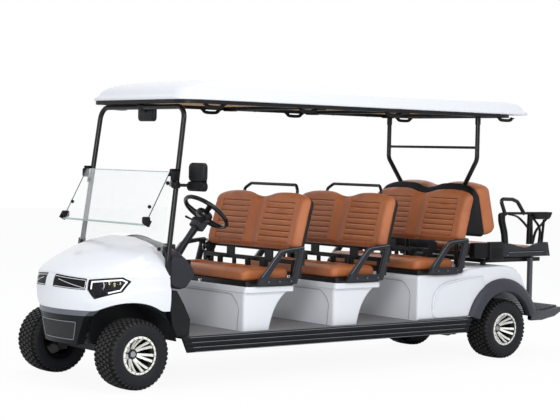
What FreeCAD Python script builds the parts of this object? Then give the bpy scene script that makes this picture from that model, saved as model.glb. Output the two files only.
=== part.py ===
import FreeCAD, Part
import math
import os

# Golf cart with three forward benches and one rear-facing bench.
# Frame: +X forward, +Y left, +Z up, origin on the ground under the middle of the wheelbase.
# All lengths are in millimetres.

Vec = FreeCAD.Vector

# Wheels and axles
wheelbase = 3657.0
wheel_y = 532.0
tyre_diameter = 500.0
tyre_width = 254.0
tyre_shoulder_radius = 34.0
tyre_bead_diameter = 252.0
tyre_bead_width = 196.0
rim_lip_diameter = 274.0
rim_lip_width = 10.0
rim_outer_offset = 111.0
rim_inner_offset = 100.0
rim_wall = 5.0
rim_disc_thickness = 14.0
rim_disc_diameter = 104.0
rim_cap_diameter = 62.0
rim_hub_radius = 34.0
rim_hub_length = 50.0
rim_cap_length = 16.0
spoke_width = 15.0
spoke_depth = 12.0
spoke_pair_spread = 15.0
spoke_pair_count = 7
hub_bore_diameter = 32.0
kingpin_y = 420.0
kingpin_diameter = 22.0
knuckle_boss_diameter = 50.0
knuckle_boss_height = 86.0
spindle_flange_diameter = 92.0
spindle_flange_thickness = 12.0
steering_arm_reach = 108.0
steering_arm_inset = 28.0
steering_arm_width = 26.0
steering_arm_thickness = 14.0
steering_arm_drop = 14.0
track_rod_diameter = 20.0
beam_width = 56.0
beam_height = 50.0
yoke_plate = 14.0
notch_depth = 24.0
notch_length = 27.0
axle_tube_diameter = 76.0
differential_diameter = 214.0
differential_width = 150.0
brake_drum_diameter = 206.0
brake_drum_width = 60.0
motor_diameter = 190.0
motor_length = 300.0
leaf_half_span = 330.0
leaf_front_reach = 165.0
leaf_thickness = 22.0
leaf_width = 50.0
spring_pad = 7.0

# Ladder frame, floor and sills
frame_front_x = 2020.0
frame_rear_x = -2235.0
rail_y = 190.0
rail_width = 50.0
rail_height = 44.0
rail_kick = 43.0
rail_kick_run = 70.0
rail_front_kick_x = 1400.0
rail_rear_kick_x = -1390.0
floor_top_z = 361.0
floor_thickness = 14.0
floor_half_width = 560.0
floor_front_x = 1400.0
floor_rear_x = -900.0
toe_board_x = 1545.0
toe_board_z = 600.0
firewall_top_z = 820.0
sill_outer_y = 642.0
sill_bottom_z = 244.0
sill_front_x = 1470.0
sill_rear_x = -1440.0
sill_rake = 62.0
sill_groove_depth = 7.0
sill_wall = 9.0
sill_groove_count = 3

# Nose
nose_centre_x = 1590.0
nose_front_x = 2192.0
nose_half_width = 605.0
nose_rear_x = 1560.0
nose_bottom_z = 545.0
hood_top_z = 1046.0
cowl_wall = 6.0
arch_half_length = 348.0
arch_crown_z = 612.0
arch_liner_wall = 6.0
arch_liner_inner_y = 262.0
lamp_depth = 46.0
lamp_recess = 4.0
strip_depth = 30.0
strip_recess = 5.0
band_height = 38.0
band_depth = 60.0
bumper_bottom_z = 296.0
bumper_wall = 14.0
mesh_recess = 6.0

# Dash, column, pedals
dash_rear_x = 1323.0
dash_half_width = 585.0
dash_side_top_z = 925.0
dash_crown = 118.0
dash_bottom_z = 690.0
glove_width = 300.0
glove_y = -300.0
pocket_width = 190.0
pocket_y = 70.0
glove_depth = 110.0
glove_height = 100.0
steering_y = 300.0
steering_hub_x = 1040.0
steering_hub_z = 1232.0
steering_angle = 50.7
steering_wheel_radius = 178.0
steering_rim_radius = 15.0
column_radius = 26.0
column_shaft_radius = 13.0
column_length = 440.0
switch_housing_size = 110.0
shaft_depth = 40.0
shroud_radius = 46.0
shroud_length = 150.0

# Roof, its frames and the windscreen
roof_front_x = 1500.0
roof_rear_x = -2110.0
roof_half_width = 655.0
roof_corner = 150.0
roof_lip_z = 2045.0
roof_lip_height = 26.0
roof_crown_z = 2214.0
roof_wall = 8.0
roof_trim_height = 26.0
roof_trim_width = 52.0
roof_trim_rear_x = -1895.0
liner_thickness = 6.0
post_radius = 19.0
post_y = 582.0
post_top_y = 552.0
hoop_top_z = 1996.0
hoop_bend = 90.0
rear_post_x = -1546.0
rear_post_y = 540.0
rear_post_knee_z = 1663.0
rear_post_foot_y = 300.0
rear_post_foot_z = 1330.0
rear_post_foot_x = -1574.0
rear_cross_z = 1763.0
pane_thickness = 5.0
pane_half_width = 556.0
pane_hinge_x = 1522.0
pane_hinge_z = 1540.0
pane_bottom_x = 1601.0
pane_bottom_z = 935.0
pane_fold_angle = 61.7
pane_fold_length = 430.0
pane_edge_gap = 12.0
clip_size = 46.0

# Seats
seat_pitch = 870.0
row_front_x = 888.0
row_rise_rear = 33.0
rear_row = 2
pod_half_width = 575.0
pod_depth = 430.0
pod_foot_depth = 262.0
pod_wall = 7.0
pod_ledge_z = 646.0
pod_top_z = 690.0
ledge_overhang = 26.0
pod_recess = 10.0
hatch_margin = 52.0
seat_base_height = 38.0
seat_frame_clear = 4.0
cushion_depth = 452.0
cushion_half_width = 548.0
cushion_thickness = 82.0
cushion_corner = 60.0
back_half_width = 600.0
back_bottom_z = 938.0
back_top_z = 1397.0
back_thickness = 62.0
back_front_x_offset = 487.0
back_rake = 15.0
shell_thickness = 26.0
lobe_drop = 44.0
seat_bar_height = 34.0
seat_bar_z = 862.0
bracket_width = 90.0
arm_outer_y = 646.0
arm_width = 34.0
grab_rail_radius = 11.0
grab_rail_half_width = 262.0
grab_rail_z = 1414.0

# Rear body, deck and step
body_half_width = 598.0
body_front_x = -858.0
body_top_z = 724.0
body_crown_z = 780.0
body_rear_x = -2165.0
body_wall = 7.0
flare_width = 64.0
flare_lip = 46.0
arch_rear_radius = 318.0
deck_front_x = -1700.0
deck_rear_x = -2400.0
deck_bottom_z = 800.0
deck_height = 34.0
deck_half_width = 492.0
rear_cushion_depth = 400.0
rear_cushion_thickness = 96.0
rear_cushion_half_width = 468.0
rear_back_top_z = 1486.0
rear_back_bottom_z = 1040.0
side_panel_front_x = -1890.0
side_panel_rear_x = -2470.0
side_panel_bottom_z = 845.0
side_panel_top_z = 966.0
side_panel_thickness = 40.0
side_panel_y = 508.0
armrest_z = 1225.0
armrest_radius = 17.0
step_front_x = -2235.0
step_rear_x = -2600.0
step_half_width = 520.0
step_top_z = 372.0
step_rise = 40.0
step_thickness = 26.0
step_cap_width = 46.0
rear_post_strut_x = -2238.0
rear_post_strut_half = 17.0

# Lamps, strip, band and bumper
lamp_inner_y = 345.0
lamp_outer_y = 545.0
lamp_low_z = 630.0
lamp_high_z = 787.0
strip_inner_y = 48.0
strip_outer_y = 336.0
strip_low_z = 692.0
strip_high_z = 790.0
band_half_width = 350.0
bumper_low_front_x = 2120.0
bumper_low_half = 205.0
mesh_half_width = 235.0
mesh_low_z = 325.0
mesh_high_z = 462.0

# Front pillars and their feet
pillar_foot_x = 1440.0
pillar_knee_x = 1570.0
bend_limit_share = 0.45
foot_rear_x = 1385.0
foot_front_x = 1580.0
foot_top_z = 689.0
foot_width = 62.0

# Column, steering wheel and pedals
column_top_gap = 62.0
wheel_spoke_count = 3
wheel_spoke_turn = 60.0
hub_rims = 3.0
pedal_lean = 30.0
pedal_width = 90.0
pedal_height = 110.0
pedal_thickness = 14.0
pedal_x = 1440.0
pedal_z = 520.0

# Post sleeves and mirror arm
sleeve_length = 65.0
sleeve_wall = 4.0
mirror_arm_radius = 7.0

# Windscreen hinge
fold_stand_off = 16.0
hinge_plate = 8.0
hinge_pin_radius = 5.0

# Mirrors
mirror_width = 200.0
mirror_height = 205.0
mirror_depth = 46.0
mirror_x = 1452.0
mirror_y = 628.0
mirror_z = 1395.0
inner_mirror_width = 224.0
inner_mirror_height = 112.0
inner_mirror_depth = 32.0
inner_mirror_x = 1364.0
inner_mirror_z = 1892.0

# Battery, wedge shell and hip restraints
battery_length = 185.0
battery_half_width = 440.0
battery_height = 250.0
wedge_reach = 420.0
arm_rear_offset = 456.0
arm_length = 375.0
arm_height = 290.0
arm_seat = 12.0

# Rear armrests
rear_back_x = -1712.0
rear_back_rake = 14.0
tray_length = 235.0
tray_width = 96.0
tray_height = 62.0
cup_radius = 36.0
leg_inset = 42.0
loop_height = 112.0
loop_length = 210.0

# Shared clearances
fit_gap = 0.3
run_gap = 6.0
overrun = 20.0

right_angle = 90.0
full_turn = 360.0
axle_z = tyre_diameter / 2
front_axle_x = wheelbase / 2
rear_axle_x = -wheelbase / 2
rail_top_z = floor_top_z - floor_thickness
raised_rail_z = rail_top_z + rail_kick


def solid_box(x0, x1, y0, y1, z0, z1):
    """Box between two corners."""
    return Part.makeBox(x1 - x0, y1 - y0, z1 - z0, Vec(x0, y0, z0))


def rod(start, end, radius):
    """Round bar from start to end."""
    along = end.sub(start)
    return Part.makeCylinder(radius, along.Length, start, along)


def disc_y(x, y, z, radius, length):
    """Cylinder along +Y whose near face is at y."""
    return Part.makeCylinder(radius, length, Vec(x, y, z), Vec(0, 1, 0))


def polygon(points):
    """Face bounded by straight lines through the points."""
    return Part.Face(Part.makePolygon(points + [points[0]]))


def slab_y(outline_xz, y0, y1):
    """Extrude an outline in the XZ plane from y0 to y1."""
    face = polygon([Vec(x, y0, z) for x, z in outline_xz])
    return face.extrude(Vec(0, y1 - y0, 0))


def slab_x(outline_yz, x0, x1):
    """Extrude an outline in the YZ plane from x0 to x1."""
    face = polygon([Vec(x0, y, z) for y, z in outline_yz])
    return face.extrude(Vec(x1 - x0, 0, 0))


def mirrored(shape):
    """The same shape on the other side of the cart."""
    return shape.mirror(Vec(0, 0, 0), Vec(0, 1, 0))


def both_sides(shape):
    """A left-hand shape and its mirror image as separate solids."""
    return Part.makeCompound([shape, mirrored(shape)])


def joined(shapes):
    """One solid from shapes that meet."""
    whole = shapes[0].multiFuse(shapes[1:]) if len(shapes) > 1 else shapes[0]
    return whole.removeSplitter()


def bent_path(points, largest_bend):
    """Wire of straight runs with tangent arcs at the corners, drawn in where the runs are short."""
    edges = []
    start = points[0]
    for before, corner, after in zip(points, points[1:], points[2:]):
        into = before.sub(corner)
        out = after.sub(corner)
        shorter = min(into.Length, out.Length)
        into.normalize()
        out.normalize()
        half = into.getAngle(out) / 2
        bend = min(largest_bend, shorter * math.tan(half) * bend_limit_share)
        back = bend / math.tan(half)
        first = corner + into * back
        last = corner + out * back
        middle = corner + (into + out).normalize() * (bend / math.sin(half) - bend)
        edges.append(Part.makeLine(start, first))
        edges.append(Part.Arc(first, middle, last).toShape())
        start = last
    edges.append(Part.makeLine(start, points[-1]))
    return Part.Wire(edges)


def tube(points, radius, largest_bend):
    """Round tube along a bent path."""
    path = bent_path(points, largest_bend)
    ring = Part.Wire(Part.makeCircle(radius, points[0], points[1].sub(points[0])))
    return path.makePipeShell([ring], True, True)


def rounded_outline(x0, x1, half_width, corner, z):
    """Rounded rectangle in a level plane, symmetric about the centre line."""
    diagonal = corner * (1 - math.sqrt(2) / 2)
    y = half_width
    c = corner
    d = diagonal
    corners = [
        (Vec(x0, -y + c, z), Vec(x0 + d, -y + d, z), Vec(x0 + c, -y, z)),
        (Vec(x1 - c, -y, z), Vec(x1 - d, -y + d, z), Vec(x1, -y + c, z)),
        (Vec(x1, y - c, z), Vec(x1 - d, y - d, z), Vec(x1 - c, y, z)),
        (Vec(x0 + c, y, z), Vec(x0 + d, y - d, z), Vec(x0, y - c, z)),
    ]
    edges = []
    for index, (first, middle, last) in enumerate(corners):
        edges.append(Part.Arc(first, middle, last).toShape())
        edges.append(Part.makeLine(last, corners[(index + 1) % len(corners)][0]))
    return Part.Wire(edges)


def rounded_slab(x0, x1, half_width, corner, z0, z1):
    """Level plate with rounded corners."""
    face = Part.Face(rounded_outline(x0, x1, half_width, corner, z0))
    return face.extrude(Vec(0, 0, z1 - z0))


def rounded_box(x0, x1, y0, y1, z0, z1, radius):
    """Box with every edge rounded."""
    body = solid_box(x0, x1, y0, y1, z0, z1)
    return body.makeFillet(radius, body.Edges)


def revolve_y(profile_yr, x, z):
    """Turn a profile of (y, radius) points about an axis along Y."""
    face = polygon([Vec(x, y, z + r) for y, r in profile_yr])
    return face.revolve(Vec(x, 0, z), Vec(0, 1, 0), full_turn)


def scaled_outline(shares, x0, x1, z0, z1):
    """Points given as shares of the width and height of a frame."""
    return [(x0 + (x1 - x0) * u, z0 + (z1 - z0) * v) for u, v in shares]


def lowered(outline):
    """The outline with its first and last points moved below the floor, so that its form opens downwards."""
    low = floor_top_z - overrun
    return [(outline[0][0], low)] + outline + [(outline[-1][0], low)]


# Wheels

# Rows of (half width share, height share) up the side wall above the bead
TYRE_SIDE_SHARES = [(0.765, 0.10), (0.985, 0.34), (1.00, 0.52), (0.975, 0.72), (0.93, 0.86)]


def tyre(x, side):
    """Tyre with bulged side walls and rounded shoulders."""
    bead_radius = tyre_bead_diameter / 2
    height = tyre_diameter / 2 - bead_radius
    half = tyre_width / 2
    wall = [(tyre_bead_width / 2, bead_radius)]
    for width_share, height_share in TYRE_SIDE_SHARES:
        wall.append((half * width_share, bead_radius + height * height_share))
    shoulder = [(half - tyre_shoulder_radius, tyre_diameter / 2)]
    outer = wall + shoulder
    outline = [(-y, r) for y, r in reversed(outer)] + outer
    centre = side * wheel_y
    return revolve_y([(centre + y, r) for y, r in outline], x, axle_z)


def spoke(x, angle, offset, side):
    """One spoke from the recessed hub out to the rim, in a pair set apart by offset."""
    hub_radius = rim_disc_diameter / 2 - spoke_depth
    rim_radius = tyre_bead_diameter / 2 - rim_wall
    hub_y = rim_disc_thickness
    lip_y = rim_outer_offset - rim_lip_width
    outline = [
        (hub_radius, 0),
        (rim_radius, lip_y - 2 * spoke_depth),
        (rim_radius, lip_y),
        (hub_radius, hub_y),
    ]
    face = polygon([Vec(x + offset - spoke_width / 2, side * (wheel_y + y), axle_z + r) for r, y in outline])
    bar = face.extrude(Vec(spoke_width, 0, 0))
    bar.rotate(Vec(x, 0, axle_z), Vec(0, 1, 0), angle)
    return bar


def rim(x, side):
    """Alloy rim: barrel with lips, recessed hub and paired spokes."""
    bead_radius = tyre_bead_diameter / 2 - fit_gap
    lip_radius = rim_lip_diameter / 2
    bead = tyre_bead_width / 2 + fit_gap
    barrel = [
        (-rim_inner_offset - rim_lip_width, bead_radius - rim_wall),
        (-rim_inner_offset - rim_lip_width, lip_radius),
        (-bead, lip_radius),
        (-bead, bead_radius),
        (bead, bead_radius),
        (bead, lip_radius),
        (rim_outer_offset, lip_radius),
        (rim_outer_offset, bead_radius - rim_wall),
    ]
    pieces = [revolve_y([(side * (wheel_y + y), r) for y, r in barrel], x, axle_z)]
    bore = hub_bore_diameter / 2
    hub_back = [(-rim_hub_length, bore), (-rim_hub_length, rim_hub_radius), (fit_gap, rim_hub_radius),
                (fit_gap, bore)]
    pieces.append(revolve_y([(side * (wheel_y + y), r) for y, r in hub_back], x, axle_z))
    hub_start = 0 if side > 0 else -rim_disc_thickness
    pieces.append(disc_y(x, side * wheel_y + hub_start, axle_z, rim_disc_diameter / 2, rim_disc_thickness))
    cap_start = rim_disc_thickness if side > 0 else -rim_disc_thickness - rim_cap_length
    pieces.append(disc_y(x, side * wheel_y + cap_start, axle_z, rim_cap_diameter / 2, rim_cap_length))
    for index in range(spoke_pair_count):
        angle = full_turn / spoke_pair_count * index
        pieces.append(spoke(x, angle, spoke_pair_spread, side))
        pieces.append(spoke(x, angle, -spoke_pair_spread, side))
    return joined(pieces)


# Front axle and steering

def front_axle():
    """Beam with a yoke and kingpin at each end, notched where the steering arms swing."""
    beam_end = kingpin_y - knuckle_boss_diameter / 2 - run_gap
    rear = front_axle_x - beam_width / 2
    front = front_axle_x + beam_width / 2
    half = beam_height / 2
    pieces = [solid_box(rear, front, -beam_end, beam_end, axle_z - half, axle_z + half)]
    boss = knuckle_boss_height / 2 + run_gap
    ear_radius = knuckle_boss_diameter / 2
    low = axle_z - boss - yoke_plate
    high = axle_z + boss
    for side in (1, -1):
        y = side * kingpin_y
        inner = side * (beam_end - yoke_plate)
        web_low = min(inner, inner + side * yoke_plate)
        pieces.append(solid_box(rear, front, web_low, web_low + yoke_plate, low, high + yoke_plate))
        for z in (low, high):
            pieces.append(solid_box(front_axle_x - ear_radius, front_axle_x + ear_radius, min(inner, y),
                                    max(inner, y), z, z + yoke_plate))
            pieces.append(Part.makeCylinder(ear_radius, yoke_plate, Vec(front_axle_x, y, z)))
        pin_height = 2 * (boss + yoke_plate)
        pieces.append(Part.makeCylinder(kingpin_diameter / 2, pin_height, Vec(front_axle_x, y, low)))
    arm_z = axle_z - steering_arm_thickness / 2 - steering_arm_drop
    notch = solid_box(rear - overrun, rear + notch_depth, beam_end - notch_length, beam_end + fit_gap,
                      arm_z - run_gap, arm_z + steering_arm_thickness + run_gap)
    return joined(pieces).cut(notch).cut(mirrored(notch))


def steering_arm_end(side):
    """Centre of the steering arm's eye."""
    return front_axle_x - steering_arm_reach, side * (kingpin_y - steering_arm_inset)


def knuckle(side):
    """Kingpin boss with the wheel spindle, brake flange and steering arm."""
    y = side * kingpin_y
    low = axle_z - knuckle_boss_height / 2
    boss_radius = knuckle_boss_diameter / 2
    boss = Part.makeCylinder(boss_radius, knuckle_boss_height, Vec(front_axle_x, y, low))
    pivot = Vec(front_axle_x, y, axle_z)
    spindle_end = Vec(front_axle_x, side * (wheel_y - fit_gap), axle_z)
    spindle = rod(pivot, spindle_end, hub_bore_diameter / 2 - fit_gap)
    flange_start = Vec(front_axle_x, y + side * (boss_radius + spindle_flange_thickness), axle_z)
    flange_end = flange_start + Vec(0, side * spindle_flange_thickness, 0)
    flange = rod(flange_start, flange_end, spindle_flange_diameter / 2)
    neck = rod(pivot, flange_start, boss_radius - run_gap)
    end_x, end_y = steering_arm_end(side)
    half = steering_arm_width / 2
    arm_z = axle_z - steering_arm_thickness / 2 - steering_arm_drop
    arm_face = polygon([Vec(front_axle_x, y - half, arm_z), Vec(front_axle_x, y + half, arm_z),
                        Vec(end_x, end_y + half, arm_z), Vec(end_x, end_y - half, arm_z)])
    arm = arm_face.extrude(Vec(0, 0, steering_arm_thickness))
    eye = Part.makeCylinder(half, steering_arm_thickness, Vec(end_x, end_y, arm_z))
    bore_foot = Vec(front_axle_x, y, low - overrun)
    bore = Part.makeCylinder(kingpin_diameter / 2 + fit_gap, knuckle_boss_height + 2 * overrun, bore_foot)
    return joined([boss, spindle, flange, neck, arm, eye]).cut(bore)


def track_rod():
    """Rod between the steering arms with an eye over each arm."""
    end_x, end_y = steering_arm_end(1)
    eye_z = axle_z + steering_arm_thickness / 2 - steering_arm_drop + fit_gap
    half = steering_arm_width / 2
    rod_z = eye_z + track_rod_diameter / 2
    bar = rod(Vec(end_x, -end_y, rod_z), Vec(end_x, end_y, rod_z), track_rod_diameter / 2 - fit_gap)
    eyes = [Part.makeCylinder(half, track_rod_diameter, Vec(end_x, y, eye_z)) for y in (end_y, -end_y)]
    return joined([bar] + eyes)


def leaf_springs(axle_x, front_reach, seat_z):
    """Pair of leaf springs that arch from the axle seat up to the rails."""
    eye_z = raised_rail_z - rail_height - fit_gap - leaf_thickness
    middle_z = seat_z + fit_gap + spring_pad
    rear_x = axle_x - leaf_half_span
    front_x = axle_x + front_reach
    edges = []
    for lift in (0, leaf_thickness):
        rear = Vec(rear_x, rail_y, eye_z + lift)
        front = Vec(front_x, rail_y, eye_z + lift)
        edges.append(Part.Arc(rear, Vec(axle_x, rail_y, middle_z + lift), front).toShape())
    for x in (rear_x, front_x):
        edges.append(Part.makeLine(Vec(x, rail_y, eye_z), Vec(x, rail_y, eye_z + leaf_thickness)))
    leaf = Part.Face(Part.Wire(Part.__sortEdges__(edges))).extrude(Vec(0, leaf_width, 0))
    eyes = [disc_y(x, rail_y, eye_z, leaf_thickness, leaf_width) for x in (rear_x, front_x)]
    half = beam_width / 2
    pad = solid_box(axle_x - half, axle_x + half, rail_y, rail_y + leaf_width, seat_z + fit_gap,
                    middle_z + leaf_thickness / 2)
    return both_sides(joined([leaf, pad] + eyes))


def rear_axle():
    """Axle tube with differential bulge, brake drums and hub stubs."""
    drum_y = wheel_y - rim_hub_length - run_gap - brake_drum_width
    stub_y = wheel_y - fit_gap
    tube_end = drum_y + brake_drum_width
    tube_radius = axle_tube_diameter / 2
    stub_radius = hub_bore_diameter / 2 - fit_gap
    bulge_radius = differential_diameter / 2
    pieces = []
    for y, radius in ((tube_end, tube_radius), (stub_y, stub_radius)):
        pieces.append(rod(Vec(rear_axle_x, -y, axle_z), Vec(rear_axle_x, y, axle_z), radius))
    for side in (1, -1):
        inner = Vec(rear_axle_x, side * drum_y, axle_z)
        outer = Vec(rear_axle_x, side * tube_end, axle_z)
        pieces.append(rod(inner, outer, brake_drum_diameter / 2))
    half = differential_width / 2
    bulge = [(-half, tube_radius), (-half / 2, bulge_radius), (half / 2, bulge_radius), (half, tube_radius),
             (half, 0), (-half, 0)]
    pieces.append(revolve_y(bulge, rear_axle_x, axle_z))
    return joined(pieces)


def drive_motor():
    """Round drive motor ahead of the axle and parallel to it, hollowed to clear the differential."""
    x = rear_axle_x + differential_diameter / 2 + motor_diameter / 2 - rail_width / 2
    half = motor_length / 2
    body = disc_y(x, -half, axle_z, motor_diameter / 2, motor_length)
    cover = disc_y(x, -half - rim_lip_width, axle_z, motor_diameter / 2 - rim_lip_width, rim_lip_width)
    room = differential_diameter / 2 + fit_gap
    clear = disc_y(rear_axle_x, -motor_length, axle_z, room, 2 * motor_length)
    return joined([body, cover]).cut(clear)


# Ladder frame

def rail_outline():
    """Side outline of a rail, raised over both axles."""
    low = rail_top_z - rail_height
    front_up = rail_front_kick_x + rail_kick_run
    rear_up = rail_rear_kick_x - rail_kick_run
    under = [(frame_rear_x, low + rail_kick), (rear_up, low + rail_kick), (rail_rear_kick_x, low),
             (rail_front_kick_x, low), (front_up, low + rail_kick), (frame_front_x, low + rail_kick)]
    return under + [(x, z + rail_height) for x, z in reversed(under)]


def chassis_frame():
    """Two rails with cross members between them and outriggers under the floor."""
    low = rail_top_z - rail_height
    rail = slab_y(rail_outline(), rail_y, rail_y + rail_width)
    members = [rail, mirrored(rail)]
    inner = rail_y - fit_gap
    for x in (frame_front_x - rail_width, frame_rear_x):
        members.append(solid_box(x, x + rail_width, -inner, inner, low + rail_kick, raised_rail_z))
    near = rail_y + rail_width + fit_gap
    reach = sill_outer_y - 2 * sill_wall - sill_groove_depth - fit_gap
    first = floor_front_x - 2 * rail_width
    middle = [floor_front_x - row * seat_pitch for row in (1, 2)]
    for x in [first] + middle + [floor_rear_x - rail_width]:
        members.append(solid_box(x, x + rail_width, -inner, inner, low, rail_top_z))
        outrigger = solid_box(x, x + rail_width, near, reach, rail_top_z - rail_width / 2, rail_top_z)
        members += [outrigger, mirrored(outrigger)]
    return Part.makeCompound(members)


def floor_pan():
    """Flat floor that turns up into the toe board and firewall."""
    under = floor_top_z - floor_thickness
    t = floor_thickness
    outline = [
        (floor_rear_x, under), (floor_front_x, under), (toe_board_x + t, toe_board_z),
        (toe_board_x + t, firewall_top_z), (toe_board_x, firewall_top_z), (toe_board_x, toe_board_z),
        (floor_front_x - t / 2, floor_top_z), (floor_rear_x, floor_top_z),
    ]
    flat = slab_y(outline, -floor_half_width, floor_half_width)
    near = post_y - foot_width / 2 - fit_gap
    trim = solid_box(floor_front_x - overrun, toe_board_x + 2 * t, near, floor_half_width + overrun,
                     floor_top_z, firewall_top_z + overrun)
    return joined([flat.cut(trim).cut(mirrored(trim))] + pedal_set())


def running_board():
    """Grooved sill with a flat tread on top and raked ends."""
    top = floor_top_z
    inner = floor_half_width + fit_gap
    pitch = (top - sill_bottom_z - 2 * sill_wall) / sill_groove_count
    outer = sill_outer_y
    outline = [(inner, top), (outer - sill_wall, top), (outer, top - sill_wall)]
    for index in range(sill_groove_count):
        ridge = top - sill_wall - index * pitch
        outline.append((outer, ridge - pitch / 2))
        outline.append((outer - sill_groove_depth, ridge - pitch * 5 / 8))
        outline.append((outer - sill_groove_depth, ridge - pitch * 7 / 8))
        outline.append((outer, ridge - pitch))
    wall = outer - sill_wall - sill_groove_depth
    outline += [(outer - sill_wall, sill_bottom_z), (wall - sill_wall, sill_bottom_z),
                (wall - sill_wall, top - sill_wall), (inner, top - sill_wall)]
    bar = slab_x(outline, sill_rear_x, sill_front_x)
    return bar.cut(sill_end_cut(sill_front_x, -1)).cut(sill_end_cut(sill_rear_x, 1))


def sill_end_cut(x, inward):
    """Wedge that rakes one end of the running board."""
    low = sill_bottom_z - overrun
    high = floor_top_z
    away = x - inward * overrun
    outline = [(x, high), (x + inward * sill_rake, low), (away, low), (away, high)]
    return slab_y(outline, floor_half_width - overrun, sill_outer_y + overrun)


# Nose

# Rows of (height share, front share, width share) from the bottom of the cowl to the top of the hood
COWL_SHARES = [
    (0.000, 0.955, 0.985), (0.150, 0.990, 1.000), (0.310, 1.000, 1.000), (0.470, 0.965, 0.992),
    (0.590, 0.855, 0.965), (0.710, 0.660, 0.890), (0.830, 0.430, 0.760), (0.930, 0.215, 0.550),
    (1.000, 0.030, 0.230),
]
NOSE_ARC_POINTS = 13


def nose_outline(front, half_width, rear, z):
    """Level outline of the nose: straight rear and sides, half ellipse in front."""
    reach = front - nose_centre_x
    points = []
    for index in range(NOSE_ARC_POINTS):
        angle = math.pi * index / (NOSE_ARC_POINTS - 1)
        points.append(Vec(nose_centre_x + reach * math.sin(angle), half_width * math.cos(angle), z))
    curve = Part.BSplineCurve()
    curve.interpolate(points)
    left = Vec(rear, half_width, z)
    right = Vec(rear, -half_width, z)
    edges = [curve.toShape(), Part.makeLine(points[-1], right), Part.makeLine(right, left),
             Part.makeLine(left, points[0])]
    return Part.Wire(edges)


def cowl_form(inset, rear):
    """Solid form of the nose, drawn in by inset."""
    wires = []
    for height_share, front_share, width_share in COWL_SHARES:
        z = nose_bottom_z + (hood_top_z - nose_bottom_z) * height_share
        front = nose_centre_x + (nose_front_x - nose_centre_x) * front_share - inset
        half_width = nose_half_width * width_share - inset
        wires.append(nose_outline(max(front, nose_centre_x + inset), half_width, rear, z))
    return Part.makeLoft(wires, True, False)


def arch_form(half_length, crown_z, y0, y1):
    """Elliptical bar over the front wheel that opens the arch."""
    rise = crown_z - axle_z
    if half_length > rise:
        ellipse = Part.Ellipse(Vec(front_axle_x, y0, axle_z), half_length, rise)
        wire = Part.Wire(ellipse.toShape())
        wire.rotate(Vec(front_axle_x, y0, axle_z), Vec(1, 0, 0), right_angle)
    else:
        wire = Part.Wire(Part.makeCircle(half_length, Vec(front_axle_x, y0, axle_z), Vec(0, 1, 0)))
    return Part.Face(wire).extrude(Vec(0, y1 - y0, 0))


LAMP_SHARES = [(0.00, 0.86), (0.83, 1.00), (1.00, 0.83), (0.87, 0.34), (0.20, 0.00), (0.00, 0.42)]
STRIP_SHARES = [(0.00, 0.10), (1.00, 0.00), (1.00, 0.80), (0.00, 1.00)]


def facing_prism(shares, inner_y, outer_y, low_z, high_z, margin):
    """Bar along X with the outline of a front lamp or strip, grown by margin."""
    centre_y = (inner_y + outer_y) / 2
    centre_z = (low_z + high_z) / 2
    grow_y = 1 + 2 * margin / (outer_y - inner_y)
    grow_z = 1 + 2 * margin / (high_z - low_z)
    points = []
    for y, z in scaled_outline(shares, inner_y, outer_y, low_z, high_z):
        points.append((centre_y + (y - centre_y) * grow_y, centre_z + (z - centre_z) * grow_z))
    return slab_x(points, nose_centre_x + overrun, nose_front_x + overrun)


def lamp_prism(margin):
    """Outline of the left headlamp as a bar."""
    return facing_prism(LAMP_SHARES, lamp_inner_y, lamp_outer_y, lamp_low_z, lamp_high_z, margin)


def strip_prism(margin):
    """Outline of the left half of the nose strip as a bar."""
    return facing_prism(STRIP_SHARES, strip_inner_y, strip_outer_y, strip_low_z, strip_high_z, margin)


def cowl():
    """Thin cowl with wheel arches, lamp and strip openings."""
    shell = cowl_form(0, nose_rear_x).cut(cowl_form(cowl_wall, nose_rear_x - overrun))
    arch = arch_form(arch_half_length, arch_crown_z, arch_liner_inner_y, nose_half_width + overrun)
    post = pillar_tube(post_radius + run_gap / 2)
    for cutter in (lamp_prism(fit_gap), strip_prism(fit_gap), arch, post):
        shell = shell.cut(cutter).cut(mirrored(cutter))
    under = solid_box(nose_rear_x - overrun, nose_centre_x - post_radius, -nose_half_width - overrun,
                      nose_half_width + overrun, nose_bottom_z - overrun, nose_bottom_z + overrun)
    return shell.cut(under)


def headlamp():
    """Left headlamp block that fills its opening flush with the cowl."""
    face = cowl_form(lamp_recess, nose_rear_x)
    back = cowl_form(lamp_recess + lamp_depth, nose_rear_x - overrun)
    return face.cut(back).common(lamp_prism(0))


def nose_strip():
    """Black strip between the headlamps, set a little below the cowl."""
    face = cowl_form(strip_recess, nose_rear_x)
    back = cowl_form(strip_recess + strip_depth, nose_rear_x - overrun)
    band = face.cut(back)
    return Part.makeCompound([band.common(strip_prism(0)), band.common(mirrored(strip_prism(0)))])


def nose_front_at_foot():
    """Forward reach of the cowl's lower edge."""
    return nose_centre_x + (nose_front_x - nose_centre_x) * COWL_SHARES[0][1]


def nose_slice(front_low, front_high, half_width, z0, z1):
    """Lofted slice of the nose between two heights."""
    rear = nose_centre_x - overrun
    lower = nose_outline(front_low, half_width, rear, z0)
    upper = nose_outline(front_high, half_width, rear, z1)
    return Part.makeLoft([lower, upper], True, True)


def bumper_band():
    """Silver band under the cowl, cut short at slanted ends."""
    top = nose_bottom_z - fit_gap
    low = top - band_height
    front = nose_front_at_foot()
    width = nose_half_width * COWL_SHARES[0][2]
    outer = nose_slice(front, front, width, low, top)
    back = front - band_depth
    inner = nose_slice(back, back, width - band_depth, low - overrun, top + overrun)
    ends = slab_x([(-band_half_width, top), (band_half_width, top), (band_half_width - band_height, low),
                   (-band_half_width + band_height, low)], nose_centre_x, nose_front_x + overrun)
    return outer.cut(inner).common(ends)


MESH_SHARES = [(-0.84, 0.00), (0.84, 0.00), (1.00, 1.00), (-1.00, 1.00)]


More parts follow.
